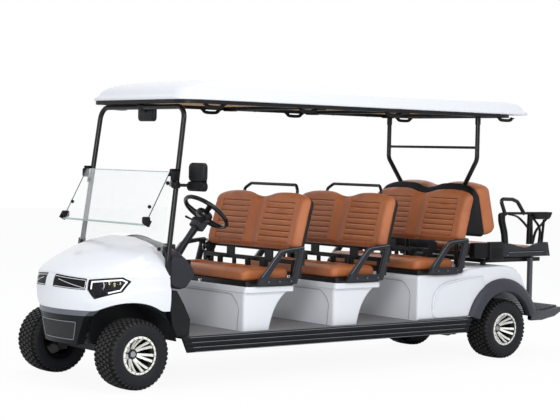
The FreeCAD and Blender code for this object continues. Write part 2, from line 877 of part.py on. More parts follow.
def bumper_form(inset):
    """Tapering bumper block, drawn in by inset and longer where it cuts another form."""
    top = nose_bottom_z - band_height - 2 * fit_gap
    extra = overrun if inset else 0
    front = nose_front_at_foot() - overrun / 2 - inset
    width = nose_half_width * COWL_SHARES[0][2] - overrun / 2 - inset
    block = nose_slice(bumper_low_front_x - inset, front, width, bumper_bottom_z + inset, top + extra)
    half_top = band_half_width - band_height - inset
    half_low = bumper_low_half - inset
    high = top + overrun
    low = bumper_bottom_z - overrun
    outline = [(-half_top, high), (half_top, high), (half_low, low), (-half_low, low)]
    return block.common(slab_x(outline, frame_front_x + fit_gap - extra, nose_front_x + overrun))


def bumper():
    """Hollow lower bumper with a recessed mesh panel."""
    shell = bumper_form(0).cut(bumper_form(bumper_wall))
    outline = [(mesh_half_width * u, mesh_low_z + (mesh_high_z - mesh_low_z) * v) for u, v in MESH_SHARES]
    panel_bar = slab_x(outline, nose_centre_x, nose_front_x + overrun)
    recess = bumper_form(0).cut(bumper_form(mesh_recess)).common(panel_bar)
    return shell.cut(recess)


def front_arch_liner():
    """Left arch liner: curved skin over the wheel with an inner wall."""
    outer_y = nose_half_width - overrun
    inner_y = arch_liner_inner_y
    t = arch_liner_wall
    crown = arch_crown_z - fit_gap - run_gap
    outside = arch_form(arch_half_length + t, crown, inner_y, outer_y)
    opening = arch_form(arch_half_length, crown - t, inner_y - overrun, outer_y + overrun)
    low = rail_top_z - rail_height / 2
    high = nose_bottom_z + band_height
    rear = front_axle_x - arch_half_length
    middle = front_axle_x + arch_half_length / 2
    keep = solid_box(rear - overrun, middle, inner_y, outer_y, low, high)
    wall = solid_box(rear, middle, inner_y, inner_y + t, low, high)
    inside = arch_form(arch_half_length + t / 2, crown - t / 2, inner_y, outer_y)
    room = cowl_wall + run_gap / 2
    half_width = nose_half_width * COWL_SHARES[0][2] - room
    plan = Part.Face(nose_outline(nose_front_at_foot() - room, half_width, foot_rear_x, low - overrun))
    under_cowl = plan.extrude(Vec(0, 0, nose_bottom_z))
    skin = outside.cut(opening).common(keep)
    lining = joined([skin, wall.common(inside)]).common(under_cowl)
    return joined([lining, foot_cover()])


# Pillars and their feet

# Rows of (height share, forward share) up the pillar's centre line
PILLAR_SHARES = [(0.0, 0.0), (0.045, 0.0), (0.138, 0.50), (0.206, 0.87), (0.331, 1.0), (1.0, -0.12)]


def pillar_points():
    """Centre line of the left front pillar from the floor up to the roof hoop."""
    z0 = floor_top_z + fit_gap
    rise = hoop_top_z - z0
    reach = pillar_knee_x - pillar_foot_x
    lean = post_y - post_top_y
    knee_share = PILLAR_SHARES[-2][0]
    points = []
    for height_share, forward_share in PILLAR_SHARES:
        inward = lean * max(0, height_share - knee_share) / (1 - knee_share)
        points.append(Vec(pillar_foot_x + reach * forward_share, post_y - inward, z0 + rise * height_share))
    return points


def pillar_tube(radius):
    """Left pillar as a tube of the given radius, from the floor to near the roof."""
    return tube(pillar_points(), radius, hoop_bend)


def front_hoop():
    """Both front pillars with the cross tube, the screen clamps and the screen's hinge pins."""
    left = pillar_points()
    right = [Vec(p.x, -p.y, p.z) for p in reversed(left)]
    return joined([tube(left + right, post_radius, hoop_bend)] + screen_clamps() + screen_hinge_pins())


FOOT_SHARES = [(0.05, 0.00), (0.62, 0.00), (0.80, 0.28), (0.87, 0.58), (0.84, 0.98), (0.62, 1.00),
               (0.30, 0.70), (0.00, 0.36)]


def foot_cover():
    """Moulded cover round the foot of the left pillar."""
    outline = scaled_outline(FOOT_SHARES, foot_rear_x, foot_front_x, floor_top_z + fit_gap, foot_top_z)
    y0 = post_y - foot_width / 2
    block = slab_y(outline, y0, y0 + foot_width)
    crown = arch_crown_z - fit_gap - run_gap - arch_liner_wall
    arch = arch_form(arch_half_length, crown, y0 - overrun, y0 + foot_width + overrun)
    return block.cut(arch).cut(pillar_tube(post_radius + fit_gap))


# Dash, column and pedals

DASH_SHARES = [(0.00, 0.42), (0.38, 0.95), (0.50, 1.00), (1.00, 1.00), (1.00, 0.10), (0.58, 0.00),
               (0.40, 0.06)]
DASH_CROWN_SHARES = [(-1.0, 0.0), (-0.52, 0.78), (0.0, 1.0), (0.52, 0.78), (1.0, 0.0)]


def dash_section(y, top):
    """Cross-section of the dash at one place across the cart."""
    points = scaled_outline(DASH_SHARES, dash_rear_x, toe_board_x - fit_gap, dash_bottom_z, top)
    vectors = [Vec(x, y, z) for x, z in points]
    return Part.makePolygon(vectors + [vectors[0]])


def dash():
    """Arched dash with an open glove box and a smaller pocket facing the seats."""
    wires = []
    for width_share, rise_share in DASH_CROWN_SHARES:
        wires.append(dash_section(dash_half_width * width_share, dash_side_top_z + dash_crown * rise_share))
    block = Part.makeLoft(wires, True, False)
    z0 = dash_bottom_z + glove_height * 3 / 4
    for middle, width in ((glove_y, glove_width), (pocket_y, pocket_width)):
        block = block.cut(solid_box(dash_rear_x - overrun, dash_rear_x + glove_depth, middle - width / 2,
                                    middle + width / 2, z0, z0 + glove_height))
    post = pillar_tube(post_radius + fit_gap)
    return block.cut(column_form(fit_gap)).cut(post).cut(mirrored(post))


def steering_axis():
    """Unit vector from the dash up through the steering wheel's hub."""
    slope = math.radians(steering_angle)
    return Vec(-math.cos(slope), 0, math.sin(slope))


def steering_hub():
    """Centre of the steering wheel."""
    return Vec(steering_hub_x, steering_y, steering_hub_z)


def column_form(gap):
    """Column tube with its wider shroud at the dash, grown by gap."""
    axis = steering_axis()
    top = steering_hub() - axis * column_top_gap
    foot = top - axis * column_length
    return joined([rod(top, foot - axis * gap, column_radius + gap),
                   rod(foot + axis * (shroud_length + gap), foot - axis * gap, shroud_radius + gap)])


def steering_column():
    """Column tube with the switch housing, down into the dash."""
    axis = steering_axis()
    top = steering_hub() - axis * column_top_gap
    bore = rod(top + axis * overrun, top - axis * (shaft_depth + run_gap), column_shaft_radius + fit_gap)
    half = switch_housing_size / 2
    house = rounded_box(-half, half, -half, half, -switch_housing_size, 0, column_shaft_radius)
    house.rotate(Vec(0, 0, 0), Vec(0, 1, 0), steering_angle - right_angle)
    house.translate(top)
    return joined([column_form(0), house]).cut(bore)


def steering_wheel():
    """Rim, three spokes, hub pad and shaft end, square to the steering axis."""
    centre = Vec(0, 0, 0)
    ring = Part.makeTorus(steering_wheel_radius, steering_rim_radius)
    r = steering_rim_radius
    hub = Part.makeCylinder(r * hub_rims, r * hub_rims, Vec(0, 0, -r * hub_rims))
    pieces = [ring, hub]
    for index in range(wheel_spoke_count):
        arm = solid_box(0, steering_wheel_radius, -r, r, -r * hub_rims / 2, -r / 2)
        arm.rotate(centre, Vec(0, 0, 1), full_turn / wheel_spoke_count * index + wheel_spoke_turn)
        pieces.append(arm)
    reach = column_top_gap + shaft_depth
    shaft = Part.makeCylinder(column_shaft_radius, reach, Vec(0, 0, -reach))
    wheel = joined(pieces + [shaft])
    wheel.rotate(centre, Vec(0, 1, 0), steering_angle - right_angle)
    wheel.translate(steering_hub())
    return wheel


def pedal_set():
    """Brake and accelerator pads on arms from the firewall."""
    pieces = []
    t = pedal_thickness / 2
    apart = pedal_width * 2 / 3
    for y in (steering_y - apart, steering_y + apart):
        pad = solid_box(-t, t, -pedal_width / 2, pedal_width / 2, -pedal_height / 2, pedal_height / 2)
        pad.rotate(Vec(0, 0, 0), Vec(0, 1, 0), pedal_lean)
        pad.translate(Vec(pedal_x, y, pedal_z))
        top = Vec(toe_board_x + floor_thickness / 2, y, pedal_z + pedal_height)
        arm = rod(Vec(pedal_x, y, pedal_z), top, t)
        pieces.append(joined([pad, arm]))
    return pieces


# Roof

ROOF_RISE_SHARES = [(0.00, 0.030), (0.32, 0.060), (0.56, 0.120), (0.74, 0.210), (0.88, 0.370), (0.97, 0.590)]


def roof_dome(inset, drop):
    """Domed solid above the lip."""
    base = roof_lip_z + roof_lip_height / 2
    wires = []
    for rise_share, inset_share in ROOF_RISE_SHARES:
        z = base + (roof_crown_z - base) * rise_share - drop
        away = roof_half_width * inset_share + inset
        corner = roof_corner + roof_half_width * inset_share / 4
        half = roof_half_width - away
        wires.append(rounded_outline(roof_rear_x + away, roof_front_x - away, half, corner, z))
    return Part.makeLoft(wires, True, False)


def roof():
    """Roof shell: flat lip all round and a hollow dome."""
    low = roof_lip_z
    top = roof_lip_z + roof_lip_height
    lip = rounded_slab(roof_rear_x, roof_front_x, roof_half_width, roof_corner, low, top)
    away = roof_half_width * ROOF_RISE_SHARES[0][1] + roof_wall
    mouth = rounded_slab(roof_rear_x + away, roof_front_x - away, roof_half_width - away, roof_corner,
                         low - overrun, top + overrun)
    dome = roof_dome(0, 0).cut(roof_dome(roof_wall, roof_wall))
    return joined([lip.cut(mouth), dome.cut(mouth.common(roof_dome(roof_wall, 0)))])


def roof_edge_frame():
    """Black edge bars under the roof with rounded corner pieces and three cross bows."""
    top = roof_lip_z - fit_gap
    low = top - roof_trim_height
    front = roof_front_x - rim_lip_width
    half = roof_half_width - rim_lip_width
    outer = rounded_slab(roof_trim_rear_x, front, half, roof_corner, low, top)
    wide = roof_trim_width
    under = low - overrun
    over = top + overrun
    inner = rounded_slab(roof_trim_rear_x + wide, front - wide, half - wide, roof_corner - wide, under, over)
    ring = outer.cut(inner)
    for x in (roof_trim_rear_x + roof_corner, front - roof_corner):
        ring = ring.cut(solid_box(x, x + fit_gap, -roof_half_width, roof_half_width, under, over))
    for y in (roof_corner - half, half - roof_corner):
        ring = ring.cut(solid_box(roof_rear_x, roof_front_x, y, y + fit_gap, under, over))
    bars = ring.Solids
    reach = half - wide - fit_gap
    for row in range(3):
        x = rear_post_x + seat_pitch * row
        bars.append(solid_box(x - wide / 2, x + wide / 2, -reach, reach, low, top))
    return Part.makeCompound(bars)


def headliner():
    """Flat tan lining above the edge frame."""
    away = rim_lip_width + roof_trim_width + run_gap
    low = roof_lip_z
    top = low + liner_thickness
    half = roof_half_width - away
    return rounded_slab(roof_trim_rear_x + away, roof_front_x - away, half, roof_corner / 2, low, top)


def rear_post_points(side):
    """Centre line of one rear post from the roof down to the rear body."""
    top = roof_lip_z - roof_trim_height - 2 * fit_gap
    y = side * rear_post_y
    foot_y = side * rear_post_foot_y
    return [Vec(rear_post_x, y, top), Vec(rear_post_x, y, rear_post_knee_z),
            Vec(rear_post_foot_x, foot_y, rear_post_foot_z),
            Vec(rear_post_foot_x, foot_y, body_crown_z + fit_gap)]


def rear_roof_frame():
    """Two rear posts that bend in behind the third bench, with a cross tube."""
    pieces = []
    for side in (1, -1):
        points = rear_post_points(side)
        sleeve_end = points[0] - Vec(0, 0, sleeve_length)
        pieces.append(tube(points, post_radius, hoop_bend))
        pieces.append(rod(points[0], sleeve_end, post_radius + sleeve_wall))
    left = Vec(rear_post_x, rear_post_y, rear_cross_z)
    right = Vec(rear_post_x, -rear_post_y, rear_cross_z)
    pieces.append(rod(right, left, grab_rail_radius))
    return joined(pieces)


# Windscreen

def lower_pane():
    """Lower windscreen pane with its bottom edge arched over the cowl."""
    top = pane_hinge_z - pane_edge_gap
    half = pane_half_width
    lean = pane_bottom_x - pane_hinge_x
    right_foot = Vec(0, -half, pane_bottom_z)
    left_foot = Vec(0, half, pane_bottom_z)
    left_top = Vec(0, half, top)
    right_top = Vec(0, -half, top)
    arch = Part.Arc(right_foot, Vec(0, 0, hood_top_z + overrun), left_foot).toShape()
    edges = [arch, Part.makeLine(left_foot, left_top), Part.makeLine(left_top, right_top),
             Part.makeLine(right_top, right_foot)]
    pane = Part.Face(Part.Wire(edges)).extrude(Vec(pane_thickness, 0, 0))
    tilt = math.degrees(math.atan2(lean, top - pane_bottom_z))
    pane.rotate(Vec(0, 0, pane_hinge_z), Vec(0, 1, 0), -tilt)
    pane.translate(Vec(pane_hinge_x, 0, 0))
    return pane


def fold_direction():
    """Direction from the hinge down the folded upper pane."""
    slope = math.radians(pane_fold_angle)
    return Vec(math.cos(slope), 0, -math.sin(slope))


def pane_hinge():
    """Middle of the fold's hinge line."""
    return Vec(pane_hinge_x + pane_thickness / 2 + fold_stand_off, 0, pane_hinge_z)


def upper_pane():
    """Upper pane folded down in front of the lower one."""
    along = fold_direction()
    near = pane_hinge() + along * pane_edge_gap
    return strip_along(near, along, pane_fold_length, pane_thickness / 2, -pane_half_width, pane_half_width)


def strip_along(start, along, length, half_thickness, y0, y1):
    """Bar of a given length from start, along a direction in the XZ plane."""
    out = Vec(-along.z, 0, along.x) * half_thickness
    far = start + along * length
    corners = [start - out, far - out, far + out, start + out]
    return slab_y([(p.x, p.z) for p in corners], y0, y1)


def pane_clips():
    """Hinge leaves and rubber end clips that ride on the upper pane."""
    start = pane_hinge()
    along = fold_direction()
    far = start + along * (pane_edge_gap + pane_fold_length - clip_size)
    half = clip_size / 2
    pieces = []
    for side in (1, -1):
        y0 = min(side * pane_half_width, side * (pane_half_width + half))
        near = y0 + fit_gap
        reach = y0 + half - fit_gap
        clip = strip_along(far, along, clip_size, half, near, reach)
        leaf = strip_along(start, along, clip_size, pane_thickness, near, reach)
        barrel = disc_y(start.x, near, start.z, pane_edge_gap - fit_gap, half - 2 * fit_gap)
        bore = disc_y(start.x, y0, start.z, hinge_pin_radius + fit_gap, half)
        pieces += [clip, joined([leaf, barrel]).cut(bore)]
    return Part.makeCompound(pieces)


def pillar_at(z):
    """Centre of the left pillar's upper run at a height."""
    low, high = pillar_points()[-2:]
    share = (z - low.z) / (high.z - low.z)
    return low + (high - low) * share


def pane_back_x(z):
    """Rear face of the lower pane at a height."""
    rise = pane_hinge_z - pane_edge_gap - pane_bottom_z
    return pane_hinge_x + (pane_hinge_z - z) * (pane_bottom_x - pane_hinge_x) / rise


def screen_clamps():
    """Clamp blocks between the pillars and the lower pane."""
    pieces = []
    for height in (pane_bottom_z + clip_size, pane_hinge_z - 2 * clip_size):
        post = pillar_at(height)
        half = clip_size / 2
        outline = [(post.x, height - half), (pane_back_x(height - half) - fit_gap, height - half),
                   (pane_back_x(height + half) - fit_gap, height + half), (post.x, height + half)]
        block = slab_y(outline, pane_half_width - half, post.y)
        pieces += [block, mirrored(block)]
    return pieces


def screen_hinge_pins():
    """Hinge pins for the upper pane on brackets from the pillars."""
    centre = pane_hinge()
    post = pillar_at(pane_hinge_z)
    gap = pane_edge_gap
    y0 = pane_half_width + clip_size / 2 + fit_gap
    y1 = y0 + hinge_plate
    plate = solid_box(post.x, centre.x + gap, y0, y1, centre.z - gap, centre.z + gap)
    arm = solid_box(post.x - gap / 2, post.x + gap / 2, post.y, y1, centre.z - gap, centre.z + gap)
    pin_y = pane_half_width + 2 * fit_gap
    pin = disc_y(centre.x, pin_y, centre.z, hinge_pin_radius, (clip_size + hinge_plate) / 2)
    bracket = joined([plate, arm, pin])
    return [bracket, mirrored(bracket)]


# Mirrors

def side_mirror():
    """Door-side mirror on a short stalk from the left pillar."""
    top = mirror_z + mirror_height
    corner = mirror_depth / 4
    front = mirror_x - mirror_depth
    house = rounded_box(front, mirror_x, mirror_y, mirror_y + mirror_width, mirror_z, top, corner)
    foot_z = mirror_z + mirror_height / 5
    seat = Vec(mirror_x - mirror_depth / 2, mirror_y + mirror_depth, foot_z)
    stalk = rod(pillar_at(foot_z), seat, corner)
    return joined([house, stalk]).cut(pillar_tube(post_radius + fit_gap))


def interior_mirror():
    """Mirror on a short arm behind the front cross tube."""
    half = inner_mirror_width / 2
    x1 = inner_mirror_x + inner_mirror_depth
    top = inner_mirror_z + inner_mirror_height
    house = rounded_box(inner_mirror_x, x1, -half, half, inner_mirror_z, top, inner_mirror_depth / 4)
    cross = pillar_points()[-1]
    tube_part = rod(Vec(cross.x, -half, cross.z), Vec(cross.x, half, cross.z), post_radius + fit_gap)
    arm = rod(Vec(x1 - inner_mirror_depth / 2, 0, inner_mirror_z + inner_mirror_height / 2),
              Vec(cross.x, 0, cross.z), mirror_arm_radius)
    return joined([house, arm]).cut(tube_part)


# Seats

POD_REAR_SHARES = [(1.00, 0.00), (0.42, 0.36), (0.10, 0.72), (0.00, 1.00)]


def pod_front(row):
    """Front face of the pod in a row, counted from 0."""
    return row_front_x - row * seat_pitch


def row_z(row):
    """Height that a row's seat stands above the first row."""
    return row_rise_rear if row == rear_row else 0


def pod_outline(front, inset):
    """Side outline of a seat pod: upright front and a concave rear."""
    z1 = pod_ledge_z + (overrun if inset else 0)
    rear = front - pod_depth + inset
    foot = front - pod_foot_depth + inset
    curve = scaled_outline(POD_REAR_SHARES, rear, foot, floor_top_z, pod_ledge_z)
    lead = front - ledge_overhang / 2 - inset
    outline = [(lead, floor_top_z), (lead, z1), (curve[-1][0], z1)] + list(reversed(curve))
    return lowered(outline) if inset else outline


def seat_pod(row):
    """Hollow pod with an overhanging ledge and a recessed front panel."""
    front = pod_front(row)
    half = pod_half_width
    body = slab_y(pod_outline(front, 0), -half, half)
    hollow = slab_y(pod_outline(front, pod_wall), -half + pod_wall, half - pod_wall)
    corner = cushion_corner / 2
    rear = front - pod_depth - 2 * ledge_overhang
    ledge = rounded_slab(rear, front, half + ledge_overhang, corner, pod_ledge_z, pod_top_z)
    lead = front - ledge_overhang / 2
    recess = solid_box(lead - pod_recess, lead + overrun, -half + 4 * overrun, half - 4 * overrun,
                       floor_top_z + overrun, pod_ledge_z - overrun)
    panel = solid_box(lead - pod_recess - pod_wall, lead - pod_recess, -half + pod_wall, half - pod_wall,
                      floor_top_z, pod_ledge_z)
    shell = body.cut(hollow)
    return joined([shell.cut(recess), panel, ledge.cut(access_hatch(front))])


def access_hatch(front):
    """Bar through the seat pan and the pod's ledge that the lifted cushion uncovers."""
    half = pod_half_width - hatch_margin
    rear = front - pod_depth + hatch_margin
    return solid_box(rear, front - hatch_margin, -half, half, pod_ledge_z - overrun, back_bottom_z)


def battery_pack():
    """Battery block on the floor inside the front pod."""
    front = pod_front(0) - ledge_overhang - pod_wall - pod_recess - overrun
    return solid_box(front - battery_length, front, -battery_half_width, battery_half_width,
                     floor_top_z + fit_gap, floor_top_z + battery_height)


def seat_frame(row):
    """Black seat pan with the cross bar, back brackets and lap belt posts."""
    front = pod_front(row)
    z0 = pod_top_z + row_z(row) + fit_gap
    z1 = z0 + seat_base_height
    half = cushion_half_width + cushion_corner / 2
    rear = front - pod_depth - 2 * ledge_overhang - seat_frame_clear
    pan = rounded_slab(rear, front - ledge_overhang, half, cushion_corner / 2, z0, z1)
    bar_z = seat_bar_z + row_z(row)
    thick = seat_bar_height
    back_x = rear
    pieces = [pan.cut(access_hatch(front))]
    pieces.append(solid_box(back_x, back_x + thick / 2, -half, half, bar_z - thick / 2, bar_z + thick / 2))
    for y in (-half, -half / 3, half / 3 - thick, half - thick):
        pieces.append(solid_box(back_x, back_x + thick / 2, y, y + thick, z1 - fit_gap, bar_z))
    low = bar_z - thick / 2
    lean = math.tan(math.radians(back_rake))
    edge_x = front - back_front_x_offset
    outline = [(back_x - thick / 2, low), (back_x, low)]
    for x in (back_x, back_x - thick / 2):
        outline.append((x, back_bottom_z + row_z(row) - fit_gap - max(0, edge_x - x) * lean))
    for y in (-half / 2, half / 2 - bracket_width):
        pieces.append(slab_y(outline, y, y + bracket_width))
    return joined(pieces)


def seat_cushion(row):
    """Plain closed cushion that tips up on its front edge."""
    front = pod_front(row) - ledge_overhang / 2
    z0 = pod_top_z + row_z(row) + seat_base_height + 2 * fit_gap
    z1 = z0 + cushion_thickness
    return rounded_slab(front - cushion_depth, front, cushion_half_width, cushion_corner, z0, z1)


LOBE_SHARES = [(0.00, 0.80), (0.28, 0.00), (0.57, -0.10), (0.84, 0.30), (1.00, 1.60)]


def back_outline(half_width, bottom, top, x):
    """Front outline of a bench back with two rounded lobes."""
    left = []
    for width_share, drop_share in LOBE_SHARES:
        left.append(Vec(x, half_width * width_share, top - lobe_drop * drop_share))
    corner = cushion_corner
    curve_points = [Vec(x, -p.y, p.z) for p in reversed(left[1:])] + left
    crown = Part.BSplineCurve()
    crown.interpolate(curve_points)
    right_top = curve_points[0]
    left_top = curve_points[-1]
    low_y = half_width - corner / 3
    edges = [
        crown.toShape(),
        Part.makeLine(left_top, Vec(x, half_width, bottom + corner)),
        Part.makeLine(Vec(x, half_width, bottom + corner), Vec(x, low_y - corner, bottom)),
        Part.makeLine(Vec(x, low_y - corner, bottom), Vec(x, -low_y + corner, bottom)),
        Part.makeLine(Vec(x, -low_y + corner, bottom), Vec(x, -half_width, bottom + corner)),
        Part.makeLine(Vec(x, -half_width, bottom + corner), right_top),
    ]
    return Part.Wire(edges)


def back_slab(row, start, thickness, inset):
    """Upright slice of a bench back, raked about its lower edge."""
    bottom = back_bottom_z + row_z(row)
    top = back_top_z + row_z(row)
    x = pod_front(row) - back_front_x_offset
    wire = back_outline(back_half_width - inset, bottom + inset, top - inset, x - start)
    slab = Part.Face(wire).extrude(Vec(-thickness, 0, 0))
    slab.rotate(Vec(x, 0, bottom), Vec(0, 1, 0), -back_rake)
    return slab


def seat_back(row):
    """Cushioned back of a bench."""
    return back_slab(row, 0, back_thickness, 0)


def back_shell(row):
    """Black shell behind a bench back with its grab rail."""
    shell = back_slab(row, back_thickness + fit_gap, shell_thickness, overrun / 2)
    return joined([shell, grab_rail(row)])


def wedge_shell():
    """Black cover that fills the space between the third back and the rear-facing one."""
    lean = math.tan(math.radians(back_rake))
    depth = (back_thickness + fit_gap) / math.cos(math.radians(back_rake))
    x = pod_front(rear_row) - back_front_x_offset - depth
    bottom = back_bottom_z + row_z(rear_row)
    z0 = rear_back_bottom_z - overrun
    z1 = rear_back_top_z
    rear_lean = math.tan(math.radians(rear_back_rake))
    outline = [(x - (z0 - bottom) * lean, z0), (x - (z1 - bottom) * lean, z1),
               (rear_back_x + (z1 - rear_back_bottom_z) * rear_lean, z1), (rear_back_x, z0)]
    block = slab_y(outline, -back_half_width, back_half_width)
    wire = back_outline(back_half_width - 2 * overrun, z0, z1, rear_back_x - 2 * overrun)
    lobes = Part.Face(wire).extrude(Vec(wedge_reach, 0, 0))
    wedge = block.common(lobes)
    for side in (1, -1):
        wedge = wedge.cut(tube(rear_post_points(side), post_radius + fit_gap, hoop_bend))
    return wedge


ARM_SHARES = [(0.00, 0.00), (1.00, 0.00), (0.97, 0.10), (0.82, 0.26), (0.44, 0.86), (0.34, 0.92),
              (-0.16, 1.00), (-0.22, 0.94)]
ARM_HOLE_SHARES = [(0.10, 0.16), (0.66, 0.16), (0.72, 0.22), (0.36, 0.74), (0.28, 0.80), (-0.06, 0.88)]


def hip_restraint(row):
    """Left moulded hip restraint: a sloped loop with a tall rear leg."""
    rear = pod_front(row) - arm_rear_offset
    z0 = pod_top_z + row_z(row) + fit_gap + arm_seat
    outer = scaled_outline(ARM_SHARES, rear, rear + arm_length, z0, z0 + arm_height)
    inner = scaled_outline(ARM_HOLE_SHARES, rear, rear + arm_length, z0, z0 + arm_height)
    y0 = arm_outer_y - arm_width
    body = slab_y(outer, y0, arm_outer_y)
    hole = slab_y(inner, y0 - overrun, arm_outer_y + overrun)
    near = cushion_half_width + cushion_corner / 2 + fit_gap
    middle_y = y0 + arm_width / 2
    foot = solid_box(rear + arm_width, rear + arm_length * 3 / 4, near, middle_y, z0, z0 + arm_seat)
    return joined([body.cut(hole), foot])


def grab_rail(row):
    """Rail behind the top of a bench back for the row behind."""
    x = pod_front(row) - back_front_x_offset
    bottom = back_bottom_z + row_z(row)
    lean = math.tan(math.radians(back_rake))
    behind = back_thickness + shell_thickness + grab_rail_radius + 2 * fit_gap
    top_x = x - (grab_rail_z - bottom) * lean - behind
    low_z = back_top_z - 4 * lobe_drop
    low_x = x - (low_z - bottom) * lean - behind / math.cos(math.radians(back_rake))
    half = grab_rail_half_width + 2 * overrun
    points = [Vec(low_x, -half, low_z), Vec(top_x, -half + overrun, grab_rail_z),
              Vec(top_x, half - overrun, grab_rail_z), Vec(low_x, half, low_z)]
    return tube(points, grab_rail_radius, 2 * overrun)


# Rear body and wheel flares

BODY_SHARES = [
    (1.000, 0.000), (1.000, 0.864), (0.620, 0.864), (0.600, 0.925), (0.560, 0.955), (0.420, 0.985),
    (0.240, 1.000), (0.150, 0.960), (0.075, 0.780), (0.030, 0.520), (0.000, 0.060), (0.000, 0.000),
]


def body_outline(inset):
    """Side outline of the rear body."""
    rear = body_rear_x + inset
    front = body_front_x - inset
    outline = scaled_outline(BODY_SHARES, rear, front, floor_top_z, body_crown_z - inset)
    return lowered(outline) if inset else outline


def rear_arch_bar(radius, y0, y1):
    """Round bar over the rear wheel."""
    return disc_y(rear_axle_x, y0, axle_z, radius, y1 - y0)


def rear_body():
    """Hollow white rear body with the third pod's ledge and open wheel arches."""
    half = body_half_width
    block = slab_y(body_outline(0), -half, half)
    hollow = slab_y(body_outline(body_wall), -half + body_wall, half - body_wall)
    shell = block.cut(hollow)
    arch = rear_arch_bar(arch_rear_radius, -half - overrun, half + overrun)
    inset = half - 4 * overrun
    tail = solid_box(body_rear_x - overrun, body_rear_x + body_wall + overrun, -inset, inset,
                     floor_top_z - overrun, body_top_z - 4 * overrun)
    recess = solid_box(body_front_x - pod_recess / 2, body_front_x + overrun, -inset, inset,
                       floor_top_z + overrun, pod_ledge_z)
    return shell.cut(arch).cut(tail).cut(recess).cut(access_hatch(pod_front(rear_row)))


def fender_flare():
    """Left black flare round the rear arch."""
    y0 = body_half_width + fit_gap
    inner = arch_rear_radius
    profile = [(y0, inner), (y0 + flare_lip - rim_lip_width, inner), (y0 + flare_lip, inner + rim_lip_width),
               (y0 + flare_lip - rim_lip_width, inner + flare_width / 2), (y0, inner + flare_width)]
    ring = revolve_y(profile, rear_axle_x, axle_z)
    reach = inner + flare_width + overrun
    keep = solid_box(rear_axle_x - reach, rear_axle_x + reach, y0 - overrun, y0 + flare_lip + overrun,
                     floor_top_z - rail_width, axle_z + reach)
    return ring.common(keep)


def rear_arch_liner():
    """Left inner skin of the rear arch."""
    outer = arch_rear_radius + fit_gap + body_wall
    inner_y = rail_y + rail_width + overrun
    y1 = body_half_width - body_wall - fit_gap
    opening = rear_arch_bar(arch_rear_radius, inner_y - overrun, y1 + overrun)
    ring = rear_arch_bar(outer, inner_y, y1).cut(opening)
    wall = rear_arch_bar(outer, inner_y - body_wall / 2, inner_y)
    keep = solid_box(rear_axle_x - outer, rear_axle_x + outer, inner_y - overrun, y1,
                     rail_top_z + fit_gap, axle_z + outer)
    return joined([ring, wall]).common(keep)


# Rear-facing seat

def rear_back_outline(x):
    """Outline of the rear-facing back."""
    return back_outline(back_half_width - 2 * overrun, rear_back_bottom_z, rear_back_top_z, x)


def rear_facing_slab(start, thickness):
    """Slice of the rear-facing back, raked towards the rear."""
    wire = rear_back_outline(rear_back_x - start)
    slab = Part.Face(wire).extrude(Vec(-thickness, 0, 0))
    slab.rotate(Vec(rear_back_x, 0, rear_back_bottom_z), Vec(0, 1, 0), rear_back_rake)
    return slab


def rear_facing_back():
    """Cushioned back that faces the rear."""
    return rear_facing_slab(fit_gap, back_thickness + overrun)


def rear_deck():
    """Deck frame under the rear cushion with brackets down to the body."""
    h = deck_height
    top = deck_bottom_z + h
    half = deck_half_width
    plate = solid_box(deck_rear_x, deck_front_x, -half, half, deck_bottom_z, top)
    pocket = solid_box(deck_rear_x + h, deck_front_x - h, -half + h, half - h, deck_bottom_z - overrun,
                       deck_bottom_z + h * 3 / 4)
    near = rear_post_foot_y + post_radius + overrun
    front = side_panel_front_x + 2 * h
    bracket = solid_box(front - h, front, near, near + h, body_crown_z + fit_gap, top)
    return joined([plate.cut(pocket), bracket, mirrored(bracket)])


def rear_cushion():
    """Rear bench cushion that flips over its rear edge to become a load deck."""
    z0 = deck_bottom_z + deck_height + fit_gap
    z1 = z0 + rear_cushion_thickness
    x0 = deck_rear_x + rim_lip_width
    return rounded_slab(x0, x0 + rear_cushion_depth, rear_cushion_half_width, cushion_corner / 2, z0, z1)


PANEL_SHARES = [(0.00, 0.00), (1.00, 0.00), (0.95, 1.00), (0.75, 0.98), (0.60, 0.80), (0.45, 0.72),
                (0.30, 0.84), (0.12, 1.00), (0.00, 1.00)]


def rear_side_panel():
    """Left wavy panel beside the rear cushion."""
    outline = scaled_outline(PANEL_SHARES, side_panel_front_x, side_panel_rear_x, side_panel_bottom_z,
                             side_panel_top_z)
    return slab_y(outline, side_panel_y, side_panel_y + side_panel_thickness)


def cup_tray(y):
    """Tray at the rear end of the armrest, before its cup bore is cut."""
    rear = side_panel_rear_x
    half = tray_width / 2
    low = armrest_z - tray_height
    return rounded_box(rear, rear + tray_length, y - half, y + half, low, armrest_z, rim_lip_width)


def assist_loop(y, front, foot_z):
    """Grab loop above the armrest."""
    rear = front - loop_length
    top = armrest_z + loop_height
    points = [Vec(front - leg_inset, y, foot_z), Vec(front, y, top), Vec(rear, y, top),
              Vec(rear - 3 * leg_inset, y, foot_z)]
    return tube(points, grab_rail_radius, cushion_corner / 2)


